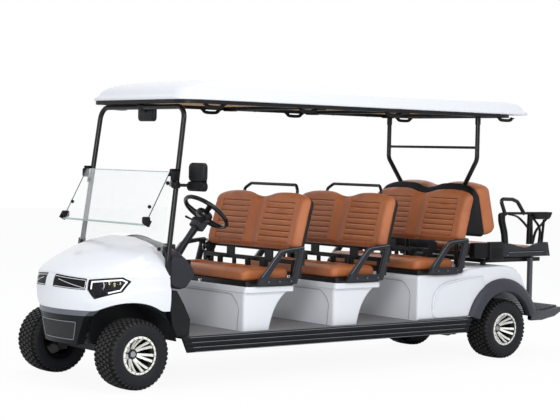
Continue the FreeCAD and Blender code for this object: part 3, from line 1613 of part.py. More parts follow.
def rear_armrest():
    """Left rear armrest: side panel, front leg, top bar, cup tray, struts and assist loop."""
    y = side_panel_y + side_panel_thickness / 2
    z0 = side_panel_top_z - fit_gap - overrun
    front = side_panel_front_x + leg_inset
    tray_rear = side_panel_rear_x
    leg_top = armrest_z - armrest_radius
    bend = [Vec(side_panel_front_x - leg_inset, y, z0), Vec(front, y, leg_top),
            Vec(tray_rear + tray_length, y, leg_top)]
    bar = tube(bend, armrest_radius, cushion_corner / 2)
    cup_foot = Vec(tray_rear + tray_length / 3, y, armrest_z - tray_height + rim_lip_width)
    cup = Part.makeCylinder(cup_radius, tray_height, cup_foot)
    strut_top = armrest_z - tray_height / 2
    rear_foot = Vec(rear_post_strut_x, y, z0)
    rear_top = Vec(rear_post_strut_x + rim_lip_width, y, strut_top)
    near_foot = Vec(tray_rear + tray_length / 2, y, z0)
    near_top = Vec(tray_rear + tray_length / 2, y, strut_top)
    struts = [rod(rear_foot, rear_top, armrest_radius), rod(near_foot, near_top, armrest_radius * 3 / 4)]
    pieces = [rear_side_panel(), bar, cup_tray(y)] + struts + [assist_loop(y, front, leg_top)]
    return joined(pieces).cut(cup)


def rear_strut():
    """Left square post from the side panel down to the step."""
    y = side_panel_y + side_panel_thickness / 2
    half = rear_post_strut_half
    low = step_top_z - step_thickness / 2
    return solid_box(rear_post_strut_x - half, rear_post_strut_x + half, y - half, y + half, low,
                     side_panel_bottom_z - fit_gap)


STEP_CAP_SHARES = [(0.00, 0.60), (0.20, 0.95), (0.55, 1.00), (1.00, 1.35), (1.02, 0.85), (0.82, 0.42),
                   (0.35, 0.00), (0.00, 0.10)]


def rear_step():
    """Footrest plate with moulded end caps and arms to the frame."""
    front = step_front_x - fit_gap
    top = step_top_z
    rear_top = step_top_z + step_rise
    plate = [(front, top), (step_rear_x, rear_top), (step_rear_x, rear_top - step_thickness),
             (front, top - step_thickness)]
    cap_outline = scaled_outline(STEP_CAP_SHARES, front, step_rear_x, top - 3 * step_thickness, top)
    cap = slab_y(cap_outline, step_half_width, step_half_width + step_cap_width)
    arm = solid_box(step_rear_x + 4 * overrun, front, rail_y, rail_y + rail_width,
                    raised_rail_z - rail_height, top - step_thickness / 2)
    strut = rear_strut()
    pieces = [slab_y(plate, -step_half_width, step_half_width)]
    for piece in (cap, arm, strut):
        pieces += [piece, mirrored(piece)]
    return joined(pieces)


def make_nodes():
    """Every node of the cart by name."""
    nodes = {
        "chassis_frame": chassis_frame(),
        "floor_pan": floor_pan(),
        "running_boards": both_sides(running_board()),
        "front_cowl": cowl(),
        "nose_strip": nose_strip(),
        "headlamps": both_sides(headlamp()),
        "bumper_band": bumper_band(),
        "front_bumper": bumper(),
        "front_arch_liners": both_sides(front_arch_liner()),
        "rear_arch_liners": both_sides(rear_arch_liner()),
        "dash": dash(),
        "steering_column": steering_column(),
        "front_hoop": front_hoop(),
        "rear_roof_frame": rear_roof_frame(),
        "roof": roof(),
        "roof_edge_frame": roof_edge_frame(),
        "headliner": headliner(),
        "windscreen_lower": lower_pane(),
        "windscreen_upper": upper_pane(),
        "windscreen_clips": pane_clips(),
        "mirrors": Part.makeCompound([side_mirror(), interior_mirror()]),
        "front_axle": front_axle(),
        "knuckle_left": knuckle(1),
        "knuckle_right": knuckle(-1),
        "track_rod": track_rod(),
        "leaf_springs": Part.makeCompound([
            leaf_springs(front_axle_x, leaf_front_reach, axle_z + beam_height / 2),
            leaf_springs(rear_axle_x, leaf_half_span, axle_z + axle_tube_diameter / 2)]),
        "rear_axle": rear_axle(),
        "drive_motor": drive_motor(),
        "battery_pack": battery_pack(),
        "steering_wheel": steering_wheel(),
        "seat_pods": Part.makeCompound([seat_pod(0), seat_pod(1)]),
        "rear_body": rear_body(),
        "fender_flares": both_sides(fender_flare()),
        "seat_frames": Part.makeCompound([seat_frame(row) for row in range(3)]),
        "seat_backs": Part.makeCompound([seat_back(row) for row in range(3)] + [rear_facing_back()]),
        "seat_back_shells": Part.makeCompound([back_shell(0), back_shell(1), wedge_shell()]),
        "hip_restraints": Part.makeCompound([both_sides(hip_restraint(row)) for row in range(3)]),
        "seat_cushion_front": seat_cushion(0),
        "seat_cushion_middle": seat_cushion(1),
        "seat_cushion_rear": seat_cushion(2),
        "rear_facing_cushion": rear_cushion(),
        "rear_deck": rear_deck(),
        "rear_armrests": both_sides(rear_armrest()),
        "rear_step": rear_step(),
    }
    for end, x in (("front", front_axle_x), ("rear", rear_axle_x)):
        for side_name, side in (("left", 1), ("right", -1)):
            nodes["tyre_" + end + "_" + side_name] = tyre(x, side)
            nodes["rim_" + end + "_" + side_name] = rim(x, side)
    return nodes


os.makedirs("parts", exist_ok=True)
for node_name, node_shape in make_nodes().items():
    node_shape.exportStep("parts/" + node_name + ".step")
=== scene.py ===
import logging
import math
from dataclasses import dataclass, field
from enum import Enum

import bmesh
import bpy
import numpy as np
from mathutils import Matrix, Vector


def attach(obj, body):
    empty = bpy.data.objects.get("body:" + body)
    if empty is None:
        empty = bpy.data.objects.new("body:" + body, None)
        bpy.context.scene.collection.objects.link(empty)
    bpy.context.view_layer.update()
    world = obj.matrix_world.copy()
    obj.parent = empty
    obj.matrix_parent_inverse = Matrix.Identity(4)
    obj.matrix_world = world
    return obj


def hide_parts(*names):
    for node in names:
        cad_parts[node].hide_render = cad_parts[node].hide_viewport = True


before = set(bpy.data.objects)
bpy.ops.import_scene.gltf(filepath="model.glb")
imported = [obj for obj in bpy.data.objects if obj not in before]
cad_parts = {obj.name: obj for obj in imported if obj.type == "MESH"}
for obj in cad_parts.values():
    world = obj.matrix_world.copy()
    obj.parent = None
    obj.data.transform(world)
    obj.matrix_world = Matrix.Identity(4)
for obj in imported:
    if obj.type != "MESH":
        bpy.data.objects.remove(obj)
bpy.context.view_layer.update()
log = logging.getLogger("golf_cart")

Array = np.ndarray
ROOT = "chassis"
PHOTO_WIDTH = 560
MERGE_DISTANCE = 1e-5
WHEEL_X = 1.8285
AXLE_Z = 0.250
ARCH_RADIUS = 0.318
FLOOR_Z = 0.3613
FRONT_BENCH_X = 0.888
BENCH_PITCH = 0.870
LAST_BENCH_RISE = 0.033
BENCH_RAKE = 15.0
REAR_RAKE = 14.0


class Side(Enum):
    """The two sides of the cart, with the sign of their Y coordinates."""

    LEFT = 1
    RIGHT = -1


# Mesh tools


def grid_faces(rows: int, cols: int, wrap_rows: bool = False, wrap_cols: bool = False, start: int = 0) -> Array:
    """Quads between neighbouring points of a grid stored row by row.

    Args:
        rows: number of rows of points.
        cols: number of points in a row.
        wrap_rows: whether the last row joins the first.
        wrap_cols: whether the last column joins the first.
        start: index of the grid's first point.

    Returns:
        An array of four indices per quad.
    """
    i = np.arange(rows if wrap_rows else rows - 1)
    j = np.arange(cols if wrap_cols else cols - 1)
    ii, jj = np.meshgrid(i, j, indexing="ij")
    i2 = (ii + 1) % rows
    j2 = (jj + 1) % cols
    quads = np.stack([ii * cols + jj, ii * cols + j2, i2 * cols + j2, i2 * cols + jj], axis=-1)
    return quads.reshape(-1, 4) + start


def closed_faces(rows: int, cols: int) -> list:
    """Faces of a grid whose rows are rings: quads between the rings, and one face over each end ring.

    Args:
        rows: number of rings.
        cols: points in a ring.

    Returns:
        Index lists.
    """
    faces = [list(f) for f in grid_faces(rows, cols, False, True)]
    return faces + [list(range(cols))[::-1], [(rows - 1) * cols + k for k in range(cols)]]


class Patch:
    """Points and faces that are gathered and then made into one mesh object."""

    def __init__(self) -> None:
        """Starts with nothing in it."""
        self.points: list[Array] = []
        self.faces: list[list[int]] = []
        self.count = 0

    def add(self, points: Array, faces: Array | list) -> int:
        """Adds points and the faces between them.

        Args:
            points: array of shape (n, 3).
            faces: index lists that count from this call's first point.

        Returns:
            The index of the first point added.
        """
        start = self.count
        flat = np.asarray(points, dtype=float).reshape(-1, 3)
        self.points.append(flat)
        self.faces += [[int(k) + start for k in face] for face in faces]
        self.count += len(flat)
        return start

    def grid(self, points: Array, wrap_rows: bool = False, wrap_cols: bool = False, caps: bool = False) -> None:
        """Adds a grid of points of shape (rows, cols, 3), and closes its two end rows with flat faces if asked.

        Args:
            points: the grid.
            wrap_rows: whether the last row joins the first.
            wrap_cols: whether the last column joins the first.
            caps: whether the first and the last row become faces.
        """
        rows, cols = points.shape[:2]
        faces = [list(f) for f in grid_faces(rows, cols, wrap_rows, wrap_cols)]
        if caps:
            faces.append(list(range(cols))[::-1])
            faces.append([(rows - 1) * cols + k for k in range(cols)])
        self.add(points, faces)

    def build(self, name: str, smooth: float = 35.0) -> bpy.types.Object:
        """Makes the mesh object, merges double points and turns its faces outwards.

        Args:
            name: the object's name.
            smooth: largest angle in degrees between faces that are shaded as one surface.

        Returns:
            The object, at the origin.
        """
        mesh = bpy.data.meshes.new(name)
        mesh.from_pydata(np.concatenate(self.points).tolist(), [], self.faces)
        tool = bmesh.new()
        tool.from_mesh(mesh)
        bmesh.ops.remove_doubles(tool, verts=tool.verts, dist=MERGE_DISTANCE)
        bmesh.ops.dissolve_degenerate(tool, edges=tool.edges, dist=MERGE_DISTANCE)
        bmesh.ops.recalc_face_normals(tool, faces=tool.faces)
        tool.to_mesh(mesh)
        tool.free()
        obj = bpy.data.objects.new(name, mesh)
        bpy.context.scene.collection.objects.link(obj)
        shade(obj, smooth)
        return obj


def shade(obj: bpy.types.Object, angle: float) -> None:
    """Shades a mesh smooth, with sharp edges where its faces meet at more than the angle in degrees.

    Args:
        obj: the object.
        angle: the angle.
    """
    mesh = obj.data
    mesh.polygons.foreach_set("use_smooth", np.ones(len(mesh.polygons), dtype=bool))
    mesh.set_sharp_from_angle(angle=math.radians(angle))


def unit(vectors: Array) -> Array:
    """Vectors divided by their lengths."""
    return vectors / np.maximum(np.linalg.norm(vectors, axis=-1, keepdims=True), 1e-12)


def rounded_path(points: list, radius: float, steps: int = 8, closed: bool = False) -> Array:
    """Points along straight runs joined by tangent arcs.

    Each corner is replaced by an arc that touches both runs at radius / tan(half the corner's angle) from it.

    Args:
        points: the corners.
        radius: the arcs' radius, made smaller where a run is too short for it.
        steps: points on each arc.
        closed: whether the last run leads back to the first corner.

    Returns:
        An array of shape (n, 3).
    """
    corners = [np.asarray(p, dtype=float) for p in points]
    count = len(corners)
    result = [] if closed else [corners[0][None]]
    for index in range(count) if closed else range(1, count - 1):
        before, corner, after = corners[index - 1], corners[index], corners[(index + 1) % count]
        run_in, run_out = before - corner, after - corner
        a, b = unit(run_in), unit(run_out)
        half = math.acos(float(np.clip(a @ b, -1, 1))) / 2
        back = min(radius / math.tan(half), 0.49 * min(np.linalg.norm(run_in), np.linalg.norm(run_out)))
        bend = back * math.tan(half)
        middle = unit(a + b)
        centre = corner + middle * bend / math.sin(half)
        first, last = corner + a * back - centre, corner + b * back - centre
        sweep_angle = math.acos(float(np.clip(unit(first) @ unit(last), -1, 1)))
        t = np.linspace(0, 1, steps)[:, None]
        mixed = np.sin((1 - t) * sweep_angle) * first + np.sin(t * sweep_angle) * last
        arc = mixed / max(math.sin(sweep_angle), 1e-9)
        result.append(centre + arc)
    if not closed:
        result.append(corners[-1][None])
    return np.concatenate(result)


def curve_through(points: list | Array, samples: int, closed: bool = False) -> Array:
    """Smooth line through points, a Catmull-Rom spline sampled evenly between them.

    Args:
        points: the points to go through, in any number of dimensions.
        samples: how many points the result has.
        closed: whether it comes back to its start.

    Returns:
        An array of shape (samples, dimensions).
    """
    p = np.asarray(points, dtype=float)
    n = len(p)
    if closed:
        ext = np.concatenate([p[-1:], p, p[:2]])
        t = np.linspace(0, n, samples, endpoint=False)
    else:
        ext = np.concatenate([2 * p[:1] - p[1:2], p, 2 * p[-1:] - p[-2:-1]])
        t = np.linspace(0, n - 1, samples)
    k = np.minimum(t.astype(int), (n - 1 if closed else n - 2))
    u = (t - k)[:, None]
    a, b, c, d = ext[k], ext[k + 1], ext[k + 2], ext[k + 3]
    return 0.5 * (2 * b + (c - a) * u + (2 * a - 5 * b + 4 * c - d) * u ** 2 + (3 * b - a - 3 * c + d) * u ** 3)


def section_frames(path: Array, up: tuple, closed: bool) -> tuple[Array, Array]:
    """Two directions square to a path at each of its points.

    Args:
        path: array of shape (n, 3).
        up: a direction that the path never runs along.
        closed: whether the path comes back to its start.

    Returns:
        The sideways and the upward directions, each of shape (n, 3).
    """
    if closed:
        along = np.roll(path, -1, axis=0) - np.roll(path, 1, axis=0)
    else:
        along = np.gradient(path, axis=0)
    along = unit(along)
    side = unit(np.cross(along, np.asarray(up, dtype=float)))
    return side, np.cross(side, along)


def sweep(path: Array, profile: Array, up: tuple = (0, 0, 1), closed: bool = False,
          scale: Array | None = None) -> Array:
    """Grid of a profile carried along a path: each row is the profile set square to the path at one point.

    Args:
        path: array of shape (n, 3).
        profile: closed outline of shape (m, 2), sideways and upwards.
        up: a direction that the path never runs along.
        closed: whether the path comes back to its start.
        scale: the profile's size at each point.

    Returns:
        An array of shape (n, m, 3).
    """
    side, high = section_frames(path, up, closed)
    size = np.ones(len(path)) if scale is None else np.asarray(scale)
    x = profile[None, :, 0, None] * side[:, None] * size[:, None, None]
    y = profile[None, :, 1, None] * high[:, None] * size[:, None, None]
    return path[:, None] + x + y


def circle(radius: float, count: int = 16) -> Array:
    """Outline of a circle of shape (count, 2)."""
    t = np.linspace(0, 2 * np.pi, count, endpoint=False)
    return np.stack([radius * np.cos(t), radius * np.sin(t)], axis=1)


def rounded_rect(width: float, height: float, radius: float, steps: int = 5) -> Array:
    """Outline of a rectangle with round corners, centred on zero, anticlockwise.

    Args:
        width: size along the first axis.
        height: size along the second axis.
        radius: of the corners.
        steps: points on each corner.

    Returns:
        An array of shape (4 * steps, 2).
    """
    r = min(radius, width / 2 * 0.999, height / 2 * 0.999)
    t = np.linspace(0, np.pi / 2, steps)
    parts = []
    for k, (sx, sy) in enumerate(((1, 1), (-1, 1), (-1, -1), (1, -1))):
        angle = t + k * np.pi / 2
        centre = np.array([sx * (width / 2 - r), sy * (height / 2 - r)])
        parts.append(centre + r * np.stack([np.cos(angle), np.sin(angle)], axis=1))
    return np.concatenate(parts)


def lathe(profile: Array, centre: tuple, axis: str = "y", count: int = 64) -> Array:
    """Grid of a profile turned about an axis: row k is the profile's point k carried round a full circle.

    Args:
        profile: array of shape (n, 2), place along the axis and radius.
        centre: a point on the axis.
        axis: "x", "y" or "z".
        count: points round the circle.

    Returns:
        An array of shape (n, count, 3).
    """
    t = np.linspace(0, 2 * np.pi, count, endpoint=False)
    along = np.repeat(profile[:, :1], count, axis=1)
    c = profile[:, 1:] * np.cos(t)
    s = profile[:, 1:] * np.sin(t)
    order = {"x": (along, c, s), "y": (s, along, c), "z": (c, s, along)}[axis]
    return np.stack(order, axis=-1) + np.asarray(centre, dtype=float)


def rounded_block(centre: tuple, size: tuple, radius: float, steps: int = 4) -> tuple[Array, list]:
    """Block with round edges: eight eighths of a small sphere, set at its corners, with flat faces between.

    Args:
        centre: its middle.
        size: its three sizes.
        radius: of the edges.
        steps: points on each quarter turn.

    Returns:
        Points of shape (n, 3) and their faces.
    """
    r = min(radius, min(size) / 2 * 0.999)
    inner = np.asarray(size) / 2 - r
    quarter = np.linspace(0, np.pi / 2, steps)
    turn = np.concatenate([quarter + k * np.pi / 2 for k in range(4)])
    sign_x = np.repeat([1, -1, -1, 1], steps)
    sign_y = np.repeat([1, 1, -1, -1], steps)
    rise = np.concatenate([quarter - np.pi / 2, quarter])
    sign_z = np.repeat([-1, 1], steps)
    cos_r = np.cos(rise)[:, None]
    x = sign_x * inner[0] + r * cos_r * np.cos(turn)
    y = sign_y * inner[1] + r * cos_r * np.sin(turn)
    z = np.repeat((sign_z * inner[2] + r * np.sin(rise))[:, None], len(turn), axis=1)
    points = np.stack([x, y, z], axis=-1) + np.asarray(centre, dtype=float)
    return points.reshape(-1, 3), closed_faces(*points.shape[:2])


def inset_outline(outline: Array, distance: float) -> Array:
    """A closed anticlockwise outline moved inwards by a distance, each point along the mean of its runs' normals.

    Args:
        outline: of shape (n, 2).
        distance: how far it moves.

    Returns:
        The outline, with as many points.
    """
    along = unit(np.roll(outline, -1, axis=0) - outline)
    normal = np.stack([-along[:, 1], along[:, 0]], axis=1)
    both = unit(normal + np.roll(normal, 1, axis=0))
    lean = np.maximum((both * normal).sum(axis=1), 0.35)
    return outline + both * (distance / lean)[:, None]


def soft_slab(outline: Array, low: float, high: float, radius: float, steps: int = 4) -> Array:
    """Grid of a slab whose outline is drawn in along a quarter circle at both faces.

    Args:
        outline: closed anticlockwise outline of shape (n, 2).
        low: the lower face's height.
        high: the upper face's height.
        radius: of the round edges.
        steps: rows on each round edge.

    Returns:
        An array of shape (2 * steps, n, 3) with the height as the third coordinate.
    """
    t = np.linspace(0, np.pi / 2, steps)
    rows = [(radius * (1 - math.sin(a)), low + radius * (1 - math.cos(a))) for a in t]
    rows += [(radius * (1 - math.cos(a)), high - radius * (1 - math.sin(a))) for a in t]
    layers = []
    for away, height in rows:
        ring = inset_outline(outline, away)
        layers.append(np.concatenate([ring, np.full((len(ring), 1), height)], axis=1))
    return np.stack(layers)


def xz_slab(outline_xz: Array, y0: float, y1: float, radius: float, steps: int = 4) -> Array:
    """The same slab for an outline in the XZ plane, between two Y places."""
    grid = soft_slab(counterclockwise(outline_xz), min(y0, y1), max(y0, y1), radius, steps)
    return grid[..., [0, 2, 1]]


def yz_slab(outline_yz: Array, x0: float, x1: float, radius: float, steps: int = 4) -> Array:
    """The same slab for an outline in the YZ plane, between two X places."""
    grid = soft_slab(counterclockwise(outline_yz), min(x0, x1), max(x0, x1), radius, steps)
    return grid[..., [2, 0, 1]]


def counterclockwise(outline: Array) -> Array:
    """The outline, turned round if it runs clockwise.

    Args:
        outline: closed outline of shape (n, 2).

    Returns:
        The outline, anticlockwise.
    """
    outline = np.asarray(outline, dtype=float)
    x, y = outline[:, 0], outline[:, 1]
    area = (x * np.roll(y, -1) - y * np.roll(x, -1)).sum()
    return outline if area > 0 else outline[::-1]


def rounded_polygon(corners: list, radius: float, steps: int = 5) -> Array:
    """Closed outline in a plane with round corners, of shape (n, 2)."""
    lifted = [(c[0], c[1], 0.0) for c in corners]
    return rounded_path(lifted, radius, steps, closed=True)[:, :2]


def dense(outline: Array, step: float = 0.012) -> Array:
    """The closed outline with more points, so that none of its runs is longer than the step.

    Args:
        outline: of shape (n, 2).
        step: the longest run.

    Returns:
        An outline with at least as many points.
    """
    parts = []
    for here, there in zip(outline, np.roll(outline, -1, axis=0)):
        count = max(1, int(math.ceil(np.linalg.norm(there - here) / step)))
        parts.append(here + (there - here) * (np.arange(count) / count)[:, None])
    return np.concatenate(parts)


def mirror(points: Array) -> Array:
    """Points on the other side of the cart."""
    return points * np.array([1.0, -1.0, 1.0])


def smooth_step(t: Array) -> Array:
    """0 below 0, 1 above 1 and a smooth rise between."""
    t = np.clip(t, 0, 1)
    return t * t * (3 - 2 * t)


# Shader tools


class Value:
    """One number of a material, on which the usual operators add Math nodes."""

    def __init__(self, recipe: "Recipe", socket: bpy.types.NodeSocket) -> None:
        """Wraps an output socket.

        Args:
            recipe: the material it belongs to.
            socket: the output that carries the number.
        """
        self.recipe = recipe
        self.socket = socket

    def math(self, operation: str, *others: "Value | float") -> "Value":
        """This value with others through one Math node.

        Args:
            operation: the node's operation.
            *others: its other inputs.

        Returns:
            The result.
        """
        inputs = {k: v for k, v in enumerate((self, *others))}
        node = self.recipe.node("ShaderNodeMath", {"operation": operation}, inputs)
        return Value(self.recipe, node.outputs[0])

    def __add__(self, other: "Value | float") -> "Value":
        """Sum."""
        return self.math("ADD", other)

    __radd__ = __add__

    def __mul__(self, other: "Value | float") -> "Value":
        """Product."""
        return self.math("MULTIPLY", other)

    __rmul__ = __mul__

    def __sub__(self, other: "Value | float") -> "Value":
        """Difference."""
        return self.math("SUBTRACT", other)

    def __rsub__(self, other: float) -> "Value":
        """Difference from a number."""
        return (self * -1.0) + other

    def __pow__(self, other: float) -> "Value":
        """Power."""
        return self.math("POWER", other)

    def wave(self, length: float) -> "Value":
        """A sine of this value with the given wavelength, between -1 and 1."""
        return (self * (2 * math.pi / length)).math("SINE")

    def step(self, low: float, high: float) -> "Value":
        """Smooth rise from 0 at low to 1 at high.

        Args:
            low: where the rise starts.
            high: where it ends.

        Returns:
            The result.
        """
        settings = {"interpolation_type": "SMOOTHSTEP", "clamp": True}
        node = self.recipe.node("ShaderNodeMapRange", settings, {0: self, 1: low, 2: high, 3: 0.0, 4: 1.0})
        return Value(self.recipe, node.outputs[0])

    def spread(self, low: float, high: float) -> "Value":
        """This value, taken from 0..1 to low..high."""
        return self * (high - low) + low


class Recipe:
    """One material's node tree around a Principled shader."""

    def __init__(self, name: str) -> None:
        """Makes an empty material.

        Args:
            name: the material's name.
        """
        self.material = bpy.data.materials.new(name)
        self.material.use_nodes = True
        self.tree = self.material.node_tree
        self.tree.nodes.clear()
        self.shader = self.node("ShaderNodeBsdfPrincipled")
        self.out = self.node("ShaderNodeOutputMaterial", None, {"Surface": self.shader.outputs[0]})
        self.place: bpy.types.NodeSocket | None = None

    def node(self, kind: str, settings: dict | None = None, inputs: dict | None = None) -> bpy.types.Node:
        """Adds one node.

        Args:
            kind: the node's type.
            settings: its properties, set first.
            inputs: values or links of its sockets, by name or number.

        Returns:
            The node.
        """
        node = self.tree.nodes.new(kind)
        for key, value in (settings or {}).items():
            setattr(node, key, value)
        for key, value in (inputs or {}).items():
            self.feed(node.inputs[key], value)
        return node

    def feed(self, socket: bpy.types.NodeSocket, value: object) -> None:
        """Links or sets one input socket.

        Args:
            socket: the input.
            value: a value, a socket or a constant.
        """
        if isinstance(value, Value):
            self.tree.links.new(value.socket, socket)
        elif isinstance(value, bpy.types.NodeSocket):
            self.tree.links.new(value, socket)
        else:
            socket.default_value = value

    def coordinates(self) -> tuple[Value, Value, Value]:
        """The three object coordinates as values."""
        parts = self.node("ShaderNodeSeparateXYZ", None, {0: self.spot()})
        return tuple(Value(self, out) for out in parts.outputs)

    def spot(self) -> bpy.types.NodeSocket:
        """The object coordinates' socket, whose node is made once.

        Returns:
            The socket.
        """
        if self.place is None:
            self.place = self.node("ShaderNodeTexCoord").outputs["Object"]
        return self.place

    def noise(self, scale: float, detail: float = 2.0, rough: float = 0.5) -> Value:
        """Noise between 0 and 1, by its features per metre, its octaves and how strong the finer ones are."""
        inputs = {"Vector": self.spot(), "Scale": scale, "Detail": detail, "Roughness": rough}
        return Value(self, self.node("ShaderNodeTexNoise", None, inputs).outputs[0])

    def cells(self, scale: float) -> Value:
        """Cell pattern: the distance to the nearest cell's edge, for a number of cells per metre."""
        node = self.node("ShaderNodeTexVoronoi", {"feature": "DISTANCE_TO_EDGE"},
                         {"Vector": self.spot(), "Scale": scale})
        return Value(self, node.outputs["Distance"])

    def blend(self, factor: "Value | float", first: tuple, second: tuple) -> bpy.types.NodeSocket:
        """A colour between two colours.

        Args:
            factor: 0 for the first, 1 for the second.
            first: a colour or a colour socket.
            second: a colour or a colour socket.

        Returns:
            The colour's socket.
        """
        fill = [c if isinstance(c, bpy.types.NodeSocket) else (*c, 1.0) for c in (first, second)]
        node = self.node("ShaderNodeMix", {"data_type": "RGBA"}, {0: factor, 6: fill[0], 7: fill[1]})
        return node.outputs[2]

    def bump(self, height: Value, distance: float, strength: float = 1.0,
             under: bpy.types.NodeSocket | None = None) -> bpy.types.NodeSocket:
        """A normal from a height.

        Args:
            height: the height, between 0 and 1.
            distance: how many metres a height of 1 is.
            strength: from 0 to 1.
            under: another bump's normal below this one.

        Returns:
            The normal's socket.
        """
        inputs = {"Strength": strength, "Distance": distance, "Height": height}
        if under is not None:
            inputs["Normal"] = under
        return self.node("ShaderNodeBump", None, inputs).outputs[0]

    def dress(self, **sockets: object) -> bpy.types.Material:
        """Sets the shader's sockets, with underscores for the spaces in their names, and gives the material.

        Args:
            **sockets: value or link of each socket.

        Returns:
            The material.
        """
        for key, value in sockets.items():
            self.feed(self.shader.inputs[key.replace("_", " ")], value)
        return self.material


@dataclass(frozen=True)
class Moulded:
    """Moulded plastic, rubber or painted metal: a colour with fine grain, slow waves and a little dust."""

    name: str
    colour: tuple
    roughness: float = 0.4
    metallic: float = 0.0
    coat: float = 0.0
    grain: float = 900.0
    grain_depth: float = 0.00012
    ripple: float = 0.0
    dust: float = 0.06
    specular: float = 0.5

    def build(self) -> bpy.types.Material:
        """The finish as a material.

        Returns:
            The material.
        """
        recipe = Recipe(self.name)
        patches = recipe.noise(7.0, 3.0, 0.6)
        pale = tuple(c + (0.45 - c) * self.dust for c in self.colour)
        colour = recipe.blend(patches.step(0.42, 0.75), self.colour, pale)
        grain = recipe.noise(self.grain, 2.0, 0.6)
        normal = recipe.bump(grain, self.grain_depth)
        if self.ripple:
            normal = recipe.bump(recipe.noise(14.0, 1.0), self.ripple, 1.0, normal)
        rough = patches.spread(self.roughness * 0.9, min(1.0, self.roughness * 1.12))
        recipe.shader.inputs["Coat Roughness"].default_value = 0.06
        return recipe.dress(Base_Color=colour, Roughness=rough, Metallic=self.metallic, Coat_Weight=self.coat,
                            Normal=normal, Specular_IOR_Level=self.specular)


@dataclass(frozen=True)
class Leather:
    """Grained leather: nearly even in colour and darker in its pores, with painted shade in the sewn channels and a
    painted highlight line beside them.
    """

    name: str = "tan_leather"
    colour: tuple = (0.43, 0.135, 0.045)
    dark: tuple = (0.36, 0.105, 0.032)
    light: tuple = (0.50, 0.175, 0.068)
    # Painted shade colour for the channels, and painted highlight colour for the line beside them.
    channel_shade: tuple = (0.060, 0.016, 0.007)
    channel_highlight: tuple = (0.80, 0.42, 0.24)

    def build(self) -> bpy.types.Material:
        """The finish as a material.

        Returns:
            The material.
        """
        recipe = Recipe(self.name)
        clouds = recipe.noise(3.5, 3.0, 0.55)
        pores = recipe.cells(420.0)
        creases = recipe.noise(170.0, 3.0, 0.6)
        colour = recipe.blend(clouds.step(0.30, 0.60), self.dark, self.colour)
        colour = recipe.blend(clouds.step(0.5, 0.85) * 0.5, colour, self.light)
        colour = recipe.blend((1.0 - pores.step(0.0, 0.10)) * 0.25, colour, self.dark)
        # Painted shade in the channels, round the panels and at the cushions' sunken places, and a painted highlight
        # line beside each channel, read from the mesh attribute that the pads write.
        sewn = Value(recipe, recipe.node("ShaderNodeAttribute", {"attribute_name": "groove"}).outputs["Fac"])
        colour = recipe.blend(sewn.step(0.0, 1.0) * 0.85, colour, self.channel_shade)
        colour = recipe.blend((sewn * -1.0).step(0.0, 1.0) * 0.75, colour, self.channel_highlight)
        normal = recipe.bump(pores.step(0.0, 0.16), 0.00020)
        normal = recipe.bump(creases, 0.00030, 1.0, normal)
        rough = creases.spread(0.36, 0.48)
        return recipe.dress(Base_Color=colour, Roughness=rough, Normal=normal, Specular_IOR_Level=0.42)


@dataclass(frozen=True)
class Clear:
    """Clear sheet or lamp cover: nearly all light passes, and the edges look greenish."""

    name: str = "clear_sheet"
    tint: tuple = (0.93, 0.97, 0.955)
    alpha: float = 0.13
    roughness: float = 0.02
    coat: float = 0.3

    def build(self) -> bpy.types.Material:
        """The finish as a material.

        Returns:
            The material.
        """
        recipe = Recipe(self.name)
        smear = recipe.noise(9.0, 3.0, 0.6)
        return recipe.dress(Base_Color=(*self.tint, 1.0), Roughness=smear.spread(self.roughness, self.roughness + 0.03),
                            Alpha=smear.spread(self.alpha * 0.85, self.alpha * 1.15), Coat_Weight=self.coat)


@dataclass(frozen=True)
class TreadMat:
    """Rubber floor mat with small raised diamonds: two crossed waves along the diagonals."""

    name: str = "floor_mat"
    colour: tuple = (0.095, 0.092, 0.096)
    raised: tuple = (0.36, 0.35, 0.36)
    pitch: float = 0.046

    def build(self) -> bpy.types.Material:
        """The finish as a material.

        Returns:
            The material.
        """
        recipe = Recipe(self.name)
        x, y, _ = recipe.coordinates()
        first = (x + y * 0.5).wave(self.pitch).math("ABSOLUTE")
        second = (x - y * 0.5).wave(self.pitch).math("ABSOLUTE")
        ridge = first.math("MAXIMUM", second).step(0.70, 0.90)
        wear = recipe.noise(4.0, 4.0, 0.65)
        colour = recipe.blend(ridge * wear.spread(0.35, 1.0), self.colour, self.raised)
        normal = recipe.bump(ridge, 0.0016)
        normal = recipe.bump(recipe.noise(700.0, 2.0), 0.0002, 1.0, normal)
        return recipe.dress(Base_Color=colour, Roughness=wear.spread(0.6, 0.8), Normal=normal)


@dataclass(frozen=True)
class MeshInsert:
    """Dark grille mesh: a lattice of diagonal wires over deep holes that are painted near black as painted shade."""

    name: str = "grille_mesh"
    colour: tuple = (0.055, 0.057, 0.06)
    # Near-black colour of the holes: painted shade.
    hole: tuple = (0.004, 0.004, 0.004)
    pitch: float = 0.016

    def build(self) -> bpy.types.Material:
        """The finish as a material.

        Returns:
            The material.
        """
        recipe = Recipe(self.name)
        _, y, z = recipe.coordinates()
        first = (y + z * 1.3).wave(self.pitch).math("ABSOLUTE")
        second = (y - z * 1.3).wave(self.pitch).math("ABSOLUTE")
        hole = first.math("MINIMUM", second).step(0.28, 0.48)
        # The holes get the near-black colour: painted shade in the hollow behind the wires.
        colour = recipe.blend(hole, self.colour, self.hole)
        normal = recipe.bump(1.0 - hole, 0.003)
        return recipe.dress(Base_Color=colour, Roughness=hole.spread(0.38, 0.9), Normal=normal)


